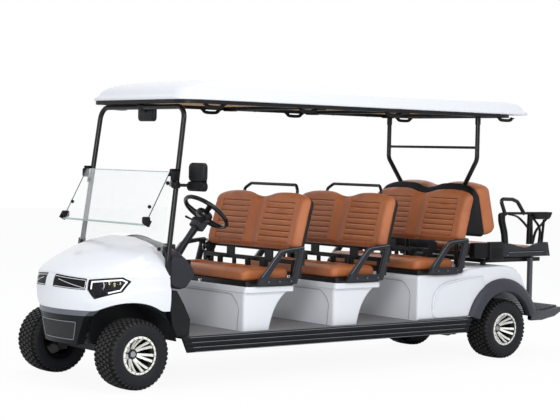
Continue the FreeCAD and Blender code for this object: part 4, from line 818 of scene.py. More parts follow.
@dataclass(frozen=True)
class Lining:
    """Woven lining of the roof: two fine crossed waves and soft stains."""

    name: str = "headliner_tan"
    colour: tuple = (0.50, 0.33, 0.16)

    def build(self) -> bpy.types.Material:
        """The finish as a material.

        Returns:
            The material.
        """
        recipe = Recipe(self.name)
        x, y, _ = recipe.coordinates()
        weave = x.wave(0.004) * y.wave(0.004)
        clouds = recipe.noise(5.0, 3.0)
        colour = recipe.blend(clouds.step(0.3, 0.8) * 0.4, self.colour, tuple(c * 0.72 for c in self.colour))
        return recipe.dress(Base_Color=colour, Roughness=0.85, Normal=recipe.bump(weave * 0.5 + 0.5, 0.0004))


@dataclass(frozen=True)
class Rubber:
    """Tyre rubber: painted shade on the tread between the lugs, so that their tops look greyer, with fine rings on the
    walls.
    """

    name: str = "tyre"
    colour: tuple = (0.020, 0.0195, 0.020)
    # Colour of the painted shade between the lugs.
    groove: tuple = (0.0020, 0.0020, 0.0022)
    wall: tuple = (0.010, 0.0105, 0.0135)
    wheel_x: float = WHEEL_X
    axle_z: float = AXLE_Z

    def build(self) -> bpy.types.Material:
        """The finish as a material.

        Returns:
            The material.
        """
        recipe = Recipe(self.name)
        x, y, z = recipe.coordinates()
        ahead = x.math("ABSOLUTE") - self.wheel_x
        above = z - self.axle_z
        radius = (ahead * ahead + above * above) ** 0.5
        side = (y.math("ABSOLUTE") - 0.532).math("ABSOLUTE")
        # Mask of the painted shade on the tread between the lugs.
        deep = (1.0 - radius.step(0.2425, 0.2470)) * (1.0 - side.step(0.108, 0.116))
        tone = recipe.noise(18.0, 3.0)
        colour = recipe.blend(radius.step(0.205, 0.230), self.wall, self.colour)
        colour = recipe.blend(deep, colour, self.groove)
        rings = radius.wave(0.0075).step(0.80, 1.0) * side.step(0.112, 0.118)
        normal = recipe.bump(rings, 0.0008)
        normal = recipe.bump(recipe.noise(500.0, 2.0), 0.0003, 1.0, normal)
        return recipe.dress(Base_Color=colour, Roughness=tone.spread(0.45, 0.58), Normal=normal,
                            Specular_IOR_Level=0.20)


@dataclass(frozen=True)
class Glow:
    """Pale light guide of the running lamp, a little bright by itself."""

    name: str = "light_guide"
    colour: tuple = (0.93, 0.95, 0.98)
    strength: float = 0.35

    def build(self) -> bpy.types.Material:
        """The finish as a material.

        Returns:
            The material.
        """
        recipe = Recipe(self.name)
        recipe.shader.inputs["Emission Strength"].default_value = self.strength
        tone = recipe.noise(60.0, 1.0).spread(0.18, 0.26)
        return recipe.dress(Base_Color=(*self.colour, 1.0), Roughness=tone, Emission_Color=(*self.colour, 1.0))


class Palette:
    """Every finish of the cart, built once and shared."""

    def __init__(self) -> None:
        """Builds the materials."""
        plain = [
            Moulded("white_body", (0.735, 0.75, 0.785), 0.24, 0.0, 0.35, 1500.0, 0.00002, 0.0006, 0.02),
            Moulded("white_trim", (0.62, 0.64, 0.66), 0.35, 0.0, 0.1, 900.0, 0.00006, 0.0, 0.03),
            Moulded("black_trim", (0.007, 0.0075, 0.0085), 0.40, 0.0, 0.0, 1300.0, 0.0002, 0.0, 0.008, 0.18),
            Moulded("dark_grey_trim", (0.018, 0.0195, 0.025), 0.42, 0.0, 0.0, 1200.0, 0.00025, 0.0, 0.012, 0.24),
            Moulded("flare_grey", (0.034, 0.036, 0.047), 0.45, 0.0, 0.0, 1200.0, 0.00025, 0.0, 0.02, 0.30),
            Moulded("grey_trim", (0.060, 0.063, 0.072), 0.5, 0.0, 0.0, 1100.0, 0.00025, 0.0, 0.04, 0.35),
            Moulded("gloss_black", (0.004, 0.004, 0.005), 0.16, 0.0, 0.15, 900.0, 0.00002, 0.0003, 0.005, 0.25),
            Moulded("silver_trim", (0.34, 0.36, 0.39), 0.3, 0.6, 0.3, 2600.0, 0.00004, 0.0, 0.03),
            Moulded("chrome", (0.75, 0.76, 0.78), 0.10, 1.0, 0.0, 600.0, 0.00001, 0.0002, 0.0),
            Moulded("reflector", (0.62, 0.58, 0.38), 0.18, 1.0, 0.0, 500.0, 0.0001, 0.0, 0.0),
            Moulded("frame_black", (0.006, 0.006, 0.007), 0.30, 0.0, 0.08, 700.0, 0.00005, 0.0003, 0.005, 0.25),
            Moulded("frame_steel", (0.016, 0.016, 0.018), 0.5, 0.0, 0.0, 500.0, 0.0002, 0.0, 0.05, 0.30),
            Moulded("motor_metal", (0.17, 0.17, 0.175), 0.5, 0.7, 0.0, 350.0, 0.0004, 0.0, 0.15),
            Moulded("battery_case", (0.03, 0.03, 0.035), 0.5, 0.0, 0.0, 600.0, 0.0002, 0.0, 0.08, 0.30),
            Moulded("soft_black", (0.005, 0.005, 0.006), 0.5, 0.0, 0.0, 1500.0, 0.0003, 0.0, 0.005, 0.15),
            Moulded("rubber_trim", (0.006, 0.006, 0.007), 0.7, 0.0, 0.0, 900.0, 0.0002, 0.0, 0.01, 0.15),
            Moulded("alloy", (0.86, 0.85, 0.80), 0.40, 0.25, 0.0, 2600.0, 0.00005, 0.0, 0.0),
            Moulded("wheel_black", (0.005, 0.005, 0.006), 0.28, 0.0, 0.25, 900.0, 0.00005, 0.0, 0.01, 0.30),
            Moulded("mirror_face", (0.85, 0.86, 0.88), 0.02, 1.0, 0.0, 200.0, 0.000005, 0.0, 0.0),
            Moulded("amber", (0.75, 0.28, 0.03), 0.2, 0.0, 0.4, 300.0, 0.0003, 0.0, 0.0),
            Moulded("red_lens", (0.45, 0.012, 0.012), 0.18, 0.0, 0.5, 300.0, 0.0004, 0.0, 0.0),
            Moulded("ridge_grey", (0.16, 0.165, 0.18), 0.42, 0.0, 0.0, 1200.0, 0.0002, 0.0, 0.06, 0.40),
            Moulded("brown_accent", (0.16, 0.085, 0.05), 0.35, 0.0, 0.3, 600.0, 0.0001, 0.0, 0.0),
            Moulded("band_grey", (0.115, 0.12, 0.14), 0.38, 0.0, 0.2, 2200.0, 0.00005, 0.0, 0.03, 0.4),
            Moulded("line_grey", (0.20, 0.21, 0.23), 0.45, 0.0, 0.0, 900.0, 0.00005, 0.0, 0.0, 0.3),
            Moulded("screen_edge", (0.34, 0.46, 0.42), 0.25, 0.0, 0.3, 900.0, 0.00005, 0.0, 0.0),
        ]
        special = [Leather(), Clear(), Clear("lamp_cover", (0.10, 0.10, 0.11), 0.05, 0.02, 0.0), TreadMat(),
                   MeshInsert(),
                   Lining(), Glow(), Rubber()]
        self.materials = {finish.name: finish.build() for finish in plain + special}

    def __getitem__(self, name: str) -> bpy.types.Material:
        """The material of that name."""
        return self.materials[name]


palette = Palette()


def place(obj: bpy.types.Object, finish: str, body: str = ROOT, instead_of: tuple = ()) -> bpy.types.Object:
    """Gives a new piece its finish and its body.

    Args:
        obj: the piece.
        finish: name of the finish.
        body: the body it moves with.
        instead_of: CAD nodes that it stands for.

    Returns:
        The piece.
    """
    obj.data.materials.append(palette[finish])
    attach(obj, body)
    if instead_of:
        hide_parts(*instead_of)
    log.info("piece %s: %d points", obj.name, len(obj.data.vertices))
    return obj


def repaint(node: str, finish: str) -> None:
    """Gives a CAD node one of the finishes.

    Args:
        node: the node's name.
        finish: name of the finish.
    """
    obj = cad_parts[node]
    if not obj.material_slots:
        obj.data.materials.append(palette[finish])
    for slot in obj.material_slots:
        slot.material = palette[finish]


# Camera and light


@dataclass
class Studio:
    """Camera at the photograph's place, pale floor and soft lamps."""

    place: tuple = (7.951, 9.821, 1.663)
    yaw: float = 38.64
    pitch: float = -1.97
    roll: float = 1.29
    focal_pixels: float = 1588.97
    sensor: float = 36.0
    floor_half: float = 30.0
    floor_white: float = 0.93
    fill_colour: tuple = (0.90, 0.94, 1.0, 1.0)
    fill_strength: float = 0.57
    lamps: tuple = (("lamp_key", (7.6, 6.2, 3.0), (0.0, 0.0, 0.6), 3.2, 300.0),
                    ("lamp_side", (0.5, 8.0, 6.0), (-0.5, 0.0, 0.9), 3.0, 225.0),
                    ("lamp_back", (-6.0, -5.0, 6.0), (0.0, 0.0, 1.0), 4.5, 90.0),
                    ("lamp_top", (0.5, 0.5, 12.0), (0.5, 0.0, 1.0), 5.5, 400.0))

    def camera(self) -> None:
        """Puts the camera where it stood, from its measured place and turn."""
        data = bpy.data.cameras.new("camera")
        data.sensor_width = self.sensor
        data.lens = self.focal_pixels * self.sensor / PHOTO_WIDTH
        data.clip_end = 100.0
        cam = bpy.data.objects.new("camera", data)
        yaw, pitch, roll = (math.radians(a) for a in (self.yaw, self.pitch, self.roll))
        forward = Vector((-math.sin(yaw) * math.cos(pitch), -math.cos(yaw) * math.cos(pitch), math.sin(pitch)))
        right = forward.cross(Vector((0, 0, 1))).normalized()
        up = right.cross(forward)
        right2 = math.cos(roll) * right + math.sin(roll) * up
        up2 = math.cos(roll) * up - math.sin(roll) * right
        turn = Matrix((right2, up2, -forward)).transposed().to_4x4()
        cam.matrix_world = Matrix.Translation(self.place) @ turn
        bpy.context.scene.collection.objects.link(cam)
        bpy.context.scene.camera = cam

    def floor(self) -> None:
        """Lays a wide pale floor."""
        mesh = bpy.data.meshes.new("floor")
        s = self.floor_half
        mesh.from_pydata([(-s, -s, 0), (s, -s, 0), (s, s, 0), (-s, s, 0)], [], [(0, 1, 2, 3)])
        floor = bpy.data.objects.new("floor", mesh)
        bpy.context.scene.collection.objects.link(floor)
        recipe = Recipe("studio_floor")
        recipe.dress(Base_Color=(0.93, 0.93, 0.93, 1.0), Roughness=recipe.noise(3.0, 2.0).spread(0.75, 0.85))
        rays = recipe.node("ShaderNodeLightPath")
        bright = recipe.node("ShaderNodeEmission", None, {"Color": (1.0, 1.0, 1.0, 1.0), "Strength": 1.0})
        shadow = recipe.node("ShaderNodeMixShader", None, {0: self.floor_white, 1: recipe.shader.outputs[0],
                                                           2: bright.outputs[0]})
        mixed = recipe.node("ShaderNodeMixShader", None, {0: rays.outputs["Is Camera Ray"],
                                                          1: recipe.shader.outputs[0], 2: shadow.outputs[0]})
        recipe.feed(recipe.out.inputs["Surface"], mixed.outputs[0])
        mesh.materials.append(recipe.material)

    def lamp(self, name: str, spot: tuple, aim: tuple, size: float, power: float) -> None:
        """Hangs one square soft lamp.

        Args:
            name: its name.
            spot: where it is.
            aim: the point it faces.
            size: its side in metres.
            power: in watts.
        """
        data = bpy.data.lights.new(name, "AREA")
        data.shape = "SQUARE"
        data.size = size
        data.energy = power
        lamp = bpy.data.objects.new(name, data)
        direction = Vector(aim) - Vector(spot)
        lamp.rotation_mode = "QUATERNION"
        lamp.rotation_quaternion = direction.to_track_quat("-Z", "Y")
        lamp.location = spot
        bpy.context.scene.collection.objects.link(lamp)

    def world(self) -> None:
        """Fills in with an even pale sky that the camera sees as white."""
        world = bpy.data.worlds.new("studio")
        bpy.context.scene.world = world
        world.use_nodes = True
        tree = world.node_tree
        tree.nodes.clear()
        out = tree.nodes.new("ShaderNodeOutputWorld")
        fill = tree.nodes.new("ShaderNodeBackground")
        fill.inputs[0].default_value = self.fill_colour
        fill.inputs[1].default_value = self.fill_strength
        white = tree.nodes.new("ShaderNodeBackground")
        white.inputs[0].default_value = (1.0, 1.0, 1.0, 1.0)
        rays = tree.nodes.new("ShaderNodeLightPath")
        most = tree.nodes.new("ShaderNodeMath")
        most.operation = "MAXIMUM"
        mix = tree.nodes.new("ShaderNodeMixShader")
        tree.links.new(rays.outputs["Is Camera Ray"], most.inputs[0])
        tree.links.new(rays.outputs["Is Transmission Ray"], most.inputs[1])
        also = tree.nodes.new("ShaderNodeMath")
        also.operation = "MAXIMUM"
        tree.links.new(most.outputs[0], also.inputs[0])
        tree.links.new(rays.outputs["Is Glossy Ray"], also.inputs[1])
        tree.links.new(also.outputs[0], mix.inputs[0])
        tree.links.new(fill.outputs[0], mix.inputs[1])
        tree.links.new(white.outputs[0], mix.inputs[2])
        tree.links.new(mix.outputs[0], out.inputs[0])

    def build(self) -> None:
        """Sets up everything that isn't the cart."""
        scene = bpy.context.scene
        scene.view_settings.view_transform = "Standard"
        self.camera()
        self.floor()
        self.world()
        for row in self.lamps:
            self.lamp(*row)


# Nose


@dataclass
class NoseForm:
    """The nose's surface: level rows, each half an ellipse in front and straight at its sides."""

    centre_x: float = 1.590
    front_x: float = 2.1908
    half_width: float = 0.605
    rear_x: float = 1.560
    low_z: float = 0.545
    high_z: float = 1.046
    rows: tuple = ((0.0, 0.955, 0.985), (0.15, 0.99, 1.0), (0.31, 1.0, 1.0), (0.47, 0.965, 0.992),
                   (0.59, 0.855, 0.965), (0.71, 0.66, 0.89), (0.83, 0.43, 0.76), (0.93, 0.215, 0.55),
                   (1.0, 0.03, 0.23))
    arch_x: float = WHEEL_X
    arch_half: float = 0.348
    arch_base: float = AXLE_Z
    arch_rise: float = 0.362
    fine: Array = field(init=False, repr=False)

    def __post_init__(self) -> None:
        """Samples the rows into one smooth table of height, front and half width."""
        table = curve_through(list(self.rows), 400)
        self.fine = np.stack([self.low_z + (self.high_z - self.low_z) * table[:, 0],
                              self.centre_x + (self.front_x - self.centre_x) * table[:, 1],
                              self.half_width * table[:, 2]], axis=1)

    def section(self, z: Array) -> tuple[Array, Array]:
        """Front x and half width of the form at heights z."""
        return np.interp(z, self.fine[:, 0], self.fine[:, 1]), np.interp(z, self.fine[:, 0], self.fine[:, 2])

    def x_at(self, y: Array, z: Array, inset: float = 0.0) -> Array:
        """The surface's x: centre + (front - centre) * sqrt(1 - (y / half)^2), less the inset.

        Args:
            y: sideways places.
            z: heights.
            inset: depth below the surface, along X.

        Returns:
            The x of each point.
        """
        front, half = self.section(z)
        reach = np.sqrt(np.clip(1 - (y / half) ** 2, 0.0, 1.0))
        return self.centre_x + (front - self.centre_x) * reach - inset

    def lower_edge(self, phi: Array) -> Array:
        """Height of the lower edge: level in front, and along the wheel arch's ellipse at the sides.

        Args:
            phi: angles round the front, 0 and pi at the sides.

        Returns:
            The heights.
        """
        x = self.centre_x + (self.front_x - self.centre_x) * 0.96 * np.sin(phi)
        along = np.clip(1 - ((x - self.arch_x) / self.arch_half) ** 2, 0, 1)
        arch = self.arch_base + self.arch_rise * np.sqrt(along)
        return np.logaddexp(arch * 150, self.low_z * 150) / 150

    def features(self, y: Array, z: Array, side_share: Array) -> Array:
        """Outward relief: the hood's front edge stands over the lamps, and a ledge runs back over the arch.

        The hood adds 10 mm * step(z - edge) * exp(-(z - edge) / 0.10), and the ledge adds 13 mm * step(ledge - z).

        Args:
            y: sideways places.
            z: heights.
            side_share: 0 in front, 1 at the sides.

        Returns:
            Distances outwards.
        """
        a = np.abs(y)
        edge = np.interp(a, [0.0, 0.06, 0.34, 0.44, 0.51, 0.56, 0.61],
                         [0.800, 0.797, 0.777, 0.786, 0.794, 0.778, 0.785])
        above = z - edge
        hood = 0.010 * smooth_step(above / 0.012 + 0.5) * np.exp(-np.clip(above, 0, None) / 0.10)
        hood *= 1 - 0.65 * smooth_step((a - 0.53) / 0.05)
        ledge_z = np.interp(a, [0.30, 0.385, 0.45, 0.52, 0.56, 0.60], [0.612, 0.613, 0.640, 0.668, 0.690, 0.712])
        ledge = 0.013 * smooth_step((ledge_z - z) / 0.028 + 0.5) * smooth_step((a - 0.30) / 0.10)
        return hood + ledge + 0.003 * side_share

    def skin(self, rows: int = 100, cols: int = 190) -> Array:
        """The whole outer surface as a grid, from the lower edge up over the hood to the rear line.

        Args:
            rows: from bottom to top.
            cols: round the front, from left to right.

        Returns:
            An array of shape (rows + 1, cols, 3).
        """
        bend = np.linspace(0, np.pi, cols - 8)
        phi = np.concatenate([np.zeros(4), bend, np.full(4, np.pi)])
        back = np.concatenate([np.linspace(1, 0.25, 4), np.zeros(cols - 8), np.linspace(0.25, 1, 4)])
        t = np.linspace(0, 1, rows)
        level = np.interp(t, np.linspace(0, 1, 400), self.fine[:, 0])
        low = self.lower_edge(phi)
        z = low + (self.high_z - low) * ((level[:, None] - self.low_z) / (self.high_z - self.low_z))
        front, half = self.section(z)
        sin_p, cos_p = np.sin(phi), np.cos(phi)
        x = self.centre_x + (front - self.centre_x) * sin_p - (self.centre_x - self.rear_x) * back
        y = half * cos_p
        out = unit(np.stack([sin_p * half, cos_p * np.maximum(front - self.centre_x, 0.02)], axis=-1))
        out = np.where((back > 0)[None, :, None], np.stack([np.zeros_like(y), np.sign(y)], axis=-1), out)
        lift = self.features(y, z, np.abs(cos_p)) * smooth_step((self.high_z - z) / 0.05)
        x, y = x + out[..., 0] * lift, y + out[..., 1] * lift
        grid = np.stack([x, y, z], axis=-1)
        cap = grid[-1:].copy()
        cap[..., 0] = self.rear_x
        return np.concatenate([grid, cap])

    def patch(self, outline: Array, inset: float, rings: int = 7) -> Array:
        """Sheet inside an outline that follows the surface: rings of the outline drawn in towards its middle.

        Args:
            outline: closed outline of shape (n, 2) in y and z.
            inset: depth below the surface.
            rings: how many rings.

        Returns:
            An array of shape (rings, n, 3), with all points of the last ring in one place.
        """
        middle = outline.mean(axis=0)
        share = np.linspace(1, 0, rings)[:, None, None]
        flat = middle + (outline[None] - middle) * share
        x = self.x_at(flat[..., 0], flat[..., 1], inset)
        return np.concatenate([x[..., None], flat], axis=-1)

    def wall(self, outline: Array, insets: Array) -> Array:
        """Wall along an outline through several depths, of shape (len(insets), n, 3).

        Args:
            outline: closed outline in y and z.
            insets: depths below the surface.

        Returns:
            The grid.
        """
        x = np.stack([self.x_at(outline[:, 0], outline[:, 1], d) for d in insets])
        flat = np.broadcast_to(outline, (len(insets), *outline.shape))
        return np.concatenate([x[..., None], flat], axis=-1)


def scaled(shares: list, low: tuple, high: tuple) -> list:
    """Outline in shares between two corners, as points."""
    return [(low[0] + (high[0] - low[0]) * u, low[1] + (high[1] - low[1]) * v) for u, v in shares]


def bar_along_x(outline: Array, x0: float, x1: float) -> tuple[Array, list]:
    """Closed prism along X with an outline in y and z.

    Args:
        outline: of shape (n, 2).
        x0: one end.
        x1: the other end.

    Returns:
        Points and faces.
    """
    n = len(outline)
    ends = [np.concatenate([np.full((n, 1), x), outline], axis=1) for x in (x0, x1)]
    return np.concatenate(ends), closed_faces(2, n)


def apply_modifiers(obj: bpy.types.Object) -> None:
    """Turns an object's modifiers into mesh.

    Args:
        obj: the object.
    """
    graph = bpy.context.evaluated_depsgraph_get()
    graph.update()
    done = bpy.data.meshes.new_from_object(obj.evaluated_get(graph))
    old = obj.data
    obj.modifiers.clear()
    obj.data = done
    bpy.data.meshes.remove(old)


def thicken(obj: bpy.types.Object, thickness: float, inwards: bool = True) -> None:
    """Gives a sheet a wall.

    Args:
        obj: the sheet.
        thickness: of the wall.
        inwards: whether the wall grows against the faces' normals.
    """
    tool = obj.modifiers.new("wall", "SOLIDIFY")
    tool.thickness = thickness
    tool.offset = -1.0 if inwards else 1.0
    tool.use_even_offset = False
    apply_modifiers(obj)


def carve(obj: bpy.types.Object, cutters: list) -> None:
    """Cuts closed forms out of an object.

    Args:
        obj: the object.
        cutters: (points, faces) of each form.
    """
    tools = []
    for index, (points, faces) in enumerate(cutters):
        patch = Patch()
        patch.add(points, faces)
        cutter = patch.build(f"{obj.name}_cutter_{index}")
        tool = obj.modifiers.new(cutter.name, "BOOLEAN")
        tool.operation = "DIFFERENCE"
        tool.solver = "EXACT"
        tool.object = cutter
        tools.append(cutter)
    apply_modifiers(obj)
    for cutter in tools:
        bpy.data.meshes.remove(cutter.data)


def tube_form(path: Array, radius: float, count: int = 14, up: tuple = (0, 0, 1)) -> tuple[Array, list]:
    """Closed round tube along a path, as points and faces.

    Args:
        path: of shape (n, 3).
        radius: of the tube.
        count: points round it.
        up: a direction that the path never runs along.

    Returns:
        Points of shape (n, 3) and their faces.
    """
    grid = sweep(path, circle(radius, count), up)
    return grid.reshape(-1, 3), closed_faces(*grid.shape[:2])


def pillar_path(side: int = 1) -> Array:
    """Centre line of a front pillar, from the floor to the roof.

    Args:
        side: 1 for the left, -1 for the right.

    Returns:
        An array of shape (n, 3).
    """
    shares = ((0.0, 0.0), (0.045, 0.0), (0.138, 0.50), (0.206, 0.87), (0.331, 1.0), (1.0, -0.12))
    z0, rise = FLOOR_Z, 1.6347
    points = []
    for up, ahead in shares:
        lean = 0.030 * max(0.0, (up - 0.331) / 0.669)
        points.append((1.440 + 0.130 * ahead, side * (0.582 - lean), z0 + rise * up))
    return rounded_path(points, 0.25, 8)


@dataclass
class Nose:
    """Front end: cowl, lamps, strip, ornament and the bumper's mesh panel."""

    form: NoseForm = field(default_factory=NoseForm)
    lamp_low: tuple = (0.345, 0.630)
    lamp_high: tuple = (0.545, 0.787)
    lamp_shares: tuple = ((0.0, 0.86), (0.83, 1.0), (1.0, 0.83), (0.87, 0.34), (0.20, 0.0), (0.0, 0.42))
    strip_low: tuple = (0.048, 0.692)
    strip_high: tuple = (0.336, 0.790)
    strip_shares: tuple = ((0.0, 0.10), (1.0, 0.0), (1.0, 0.80), (0.0, 1.0))

    def lamp_outline(self, grow: float = 0.0, radius: float = 0.010, steps: int = 6) -> Array:
        """The left lamp's pentagon in y and z, with round corners.

        Args:
            grow: distance added all round.
            radius: of the corners.
            steps: points on each corner.

        Returns:
            The closed outline, anticlockwise.
        """
        corners = scaled(list(self.lamp_shares), self.lamp_low, self.lamp_high)
        outline = counterclockwise(rounded_polygon(corners, radius, steps))
        return dense(inset_outline(outline, -grow) if grow else outline)

    def strip_outline(self, grow: float = 0.0) -> Array:
        """The left strip's outline in y and z.

        Args:
            grow: distance added all round.

        Returns:
            The closed outline, anticlockwise.
        """
        corners = scaled(list(self.strip_shares), self.strip_low, self.strip_high)
        outline = counterclockwise(rounded_polygon(corners, 0.008, 4))
        return dense(inset_outline(outline, -grow) if grow else outline)

    def cowl(self) -> None:
        """White shell with its openings and the notches for the pillars."""
        patch = Patch()
        patch.grid(self.form.skin())
        cowl = patch.build("nose_cowl", 40.0)
        normals = np.empty(len(cowl.data.polygons) * 3)
        cowl.data.polygons.foreach_get("normal", normals)
        if normals[0::3].mean() < 0:
            cowl.data.flip_normals()
        thicken(cowl, 0.006)
        cutters = []
        for outline in (self.lamp_outline(0.0015), self.strip_outline(0.0012)):
            points, faces = bar_along_x(outline, 1.62, 2.25)
            cutters += [(points, faces), (mirror(points), faces)]
        for side in (1, -1):
            cutters.append(tube_form(pillar_path(side)[2:], 0.0225, 16, (0, 1, 0)))
        carve(cowl, cutters)
        shade(cowl, 32.0)
        place(cowl, "white_body", instead_of=("front_cowl",))

    def lamp(self) -> None:
        """Both lamps: black bowl, dark frame, running light, projector, small lights and a clear cover."""
        bowl, frame_ring, guide, cover, reflector, lens, chrome = (Patch() for _ in range(7))
        form = self.form
        for side in Side:
            turn = np.array([1.0, side.value, 1.0])
            outline = self.lamp_outline()
            bowl.grid(form.wall(outline, np.array([0.003, 0.010, 0.024, 0.040])) * turn, wrap_cols=True)
            bowl.grid(form.patch(outline, 0.040) * turn, wrap_cols=True)
            rim = inset_outline(outline, 0.004)
            ring = form.wall(rim, np.array([0.0030]))[0]
            frame_ring.grid(sweep(ring, rounded_rect(0.009, 0.004, 0.0015, 3), (1, 0, 0), True) * turn, True, True)
            inner = inset_outline(self.lamp_outline(0.0, 0.014, 8), 0.017)
            light = form.wall(inner, np.array([0.010]))[0]
            keep = self.running_light(light)
            guide.grid(sweep(keep, rounded_rect(0.011, 0.009, 0.004, 4), (1, 0, 0)) * turn, False, True, True)
            cover.grid(form.patch(self.lamp_outline(-0.0015), 0.0012, 9) * turn, wrap_cols=True)
            self.projector(reflector, lens, chrome, turn)
        place(bowl.build("lamp_bowls"), "soft_black", instead_of=("headlamps",))
        place(frame_ring.build("lamp_frames", 50.0), "black_trim")
        place(guide.build("lamp_running_lights", 50.0), "light_guide")
        place(cover.build("lamp_covers", 30.0), "lamp_cover")
        place(reflector.build("lamp_reflectors", 30.0), "reflector")
        place(lens.build("lamp_lenses", 40.0), "lamp_cover")
        place(chrome.build("lamp_rings", 40.0), "chrome")

    @staticmethod
    def running_light(ring: Array) -> Array:
        """The part of a ring inside the lamp that runs along its outer and lower edges.

        Args:
            ring: closed line of shape (n, 3) inside the lamp.

        Returns:
            The open line, four fifths as long.
        """
        start = int(np.argmin(np.abs(ring[:, 1] - 0.47) - ring[:, 2]))
        turned = np.roll(ring, -start, axis=0)
        low = int(np.argmin(turned[:, 2]))
        if low < len(turned) // 2:
            turned = turned[::-1]
        first = int(np.argmax(turned[:, 1] < 0.373)) if (turned[:, 1] < 0.373).any() else 0
        return np.roll(turned, -first - 2, axis=0)[: int(len(turned) * 0.80)]

    def projector(self, reflector: Patch, lens: Patch, chrome: Patch, turn: Array) -> None:
        """The main lens with its ring, the folded reflector beside it and the row of small lights.

        Args:
            reflector: patch of the yellowish mirrors.
            lens: patch of the clear lenses.
            chrome: patch of the bright rings.
            turn: sign of each axis for this side.
        """
        form = self.form
        y, z, depth = 0.405, 0.727, 0.016
        x = float(form.x_at(np.array(y), np.array(z), 0.0))
        t = np.linspace(0, np.pi / 2, 7)
        ball = np.stack([x - depth - 0.016 + 0.016 * np.sin(t), 0.026 * np.cos(t)], axis=1)
        lens.grid(lathe(ball, (0, y, z), "x", 28) * turn, wrap_cols=True)
        ring = np.stack([x - depth - 0.016 + 0.0035 * np.cos(2 * t * 2), 0.031 + 0.0035 * np.sin(2 * t * 2)], axis=1)
        chrome.grid(lathe(ring, (0, y, z), "x", 28) * turn, wrap_rows=True, wrap_cols=True)
        cup = np.stack([x - depth - np.array([0.012, 0.020, 0.026]), np.array([0.0315, 0.020, 0.001])], axis=1)
        reflector.grid(lathe(cup, (0, y, z), "x", 28) * turn, wrap_cols=True)
        for index, (py, pz, width, height) in enumerate(((0.447, 0.744, 0.030, 0.024), (0.470, 0.735, 0.026, 0.030),
                                                         (0.492, 0.745, 0.024, 0.022))):
            px = float(form.x_at(np.array(py), np.array(pz), 0.018 + 0.004 * index))
            points, faces = rounded_block((px, py, pz), (0.012, width, height), 0.004, 3)
            reflector.add(points * turn, faces)
        for py, pz in ((0.388, 0.668), (0.416, 0.672), (0.446, 0.681), (0.476, 0.693)):
            px = float(form.x_at(np.array(py), np.array(pz), 0.016))
            dome = np.stack([px + 0.006 * np.sin(t), 0.0075 * np.cos(t)], axis=1)
            lens.grid(lathe(dome, (0, py, pz), "x", 16) * turn, wrap_cols=True)
            base = np.stack([np.full(3, px - 0.001), np.array([0.0095, 0.005, 0.0005])], axis=1)
            chrome.grid(lathe(base, (0, py, pz), "x", 16) * turn, wrap_cols=True)

    def strip(self) -> None:
        """Black panels between the lamps with bright lines, and the plain ribbed ornament in the middle."""
        plate, line, rib = Patch(), Patch(), Patch()
        form = self.form
        for side in Side:
            turn = np.array([1.0, side.value, 1.0])
            outline = self.strip_outline()
            plate.grid(form.wall(outline, np.array([0.022, 0.007])) * turn, wrap_cols=True)
            plate.grid(form.patch(outline, 0.007, 9) * turn, wrap_cols=True)
            upper = np.stack([np.linspace(0.055, 0.330, 24), np.linspace(0.778, 0.760, 24)], axis=1)
            cross = np.stack([np.linspace(0.100, 0.330, 24), np.linspace(0.757, 0.704, 24)], axis=1)
            down = np.stack([np.linspace(0.325, 0.327, 6), np.linspace(0.762, 0.700, 6)], axis=1)
            lower = np.stack([np.linspace(0.06, 0.325, 16), np.linspace(0.707, 0.698, 16)], axis=1)
            for flat, width in ((upper, 0.008), (cross, 0.003), (down, 0.004), (lower, 0.0025)):
                x = form.x_at(flat[:, 0], flat[:, 1], 0.0045)
                path = np.concatenate([x[:, None], flat], axis=1)
                line.grid(sweep(path, rounded_rect(0.005, width, 0.0012, 3), (1, 0, 0.02)) * turn, False, True, True)
        t = np.linspace(0, 2 * np.pi, 40, endpoint=False)
        oval = np.stack([0.040 * np.cos(t) * (1 - 0.18 * np.sin(t)), 0.738 + 0.074 * np.sin(t)], axis=1)
        proud = form.wall(oval, np.array([0.012, 0.0036, 0.0024]))
        top = form.patch(inset_outline(oval, 0.004), 0.0021, 5)
        rib.grid(proud, wrap_cols=True)
        rib.grid(np.concatenate([proud[-1:], top]), wrap_cols=True)
        place(rib.build("nose_ornament_base", 40.0), "white_trim")
        bars = Patch()
        for z in np.linspace(0.690, 0.786, 7):
            half = 0.029 * math.sqrt(max(0.05, 1 - ((z - 0.738) / 0.066) ** 2))
            y = np.linspace(-half, half, 9)
            path = np.stack([form.x_at(y, np.full(9, z), 0.0046), y, np.full(9, z)], axis=1)
            bars.grid(sweep(path, rounded_rect(0.005, 0.006, 0.002, 3), (1, 0, 0.02)), False, True, True)
        place(bars.build("nose_ornament_ribs", 40.0), "silver_trim")
        place(plate.build("nose_strip_panels", 30.0), "soft_black", instead_of=("nose_strip",))
        place(line.build("nose_strip_lines", 50.0), "chrome")

    def bumper_x(self, y: Array, z: Array, inset: float) -> Array:
        """The bumper's front surface: it tapers from its top at 0.506 m to its bottom at 0.296 m."""
        front = np.interp(z, [0.296, 0.506], [2.120, 2.1549])
        return self.form.centre_x + (front - self.form.centre_x) * np.sqrt(1 - (y / 0.586) ** 2) - inset

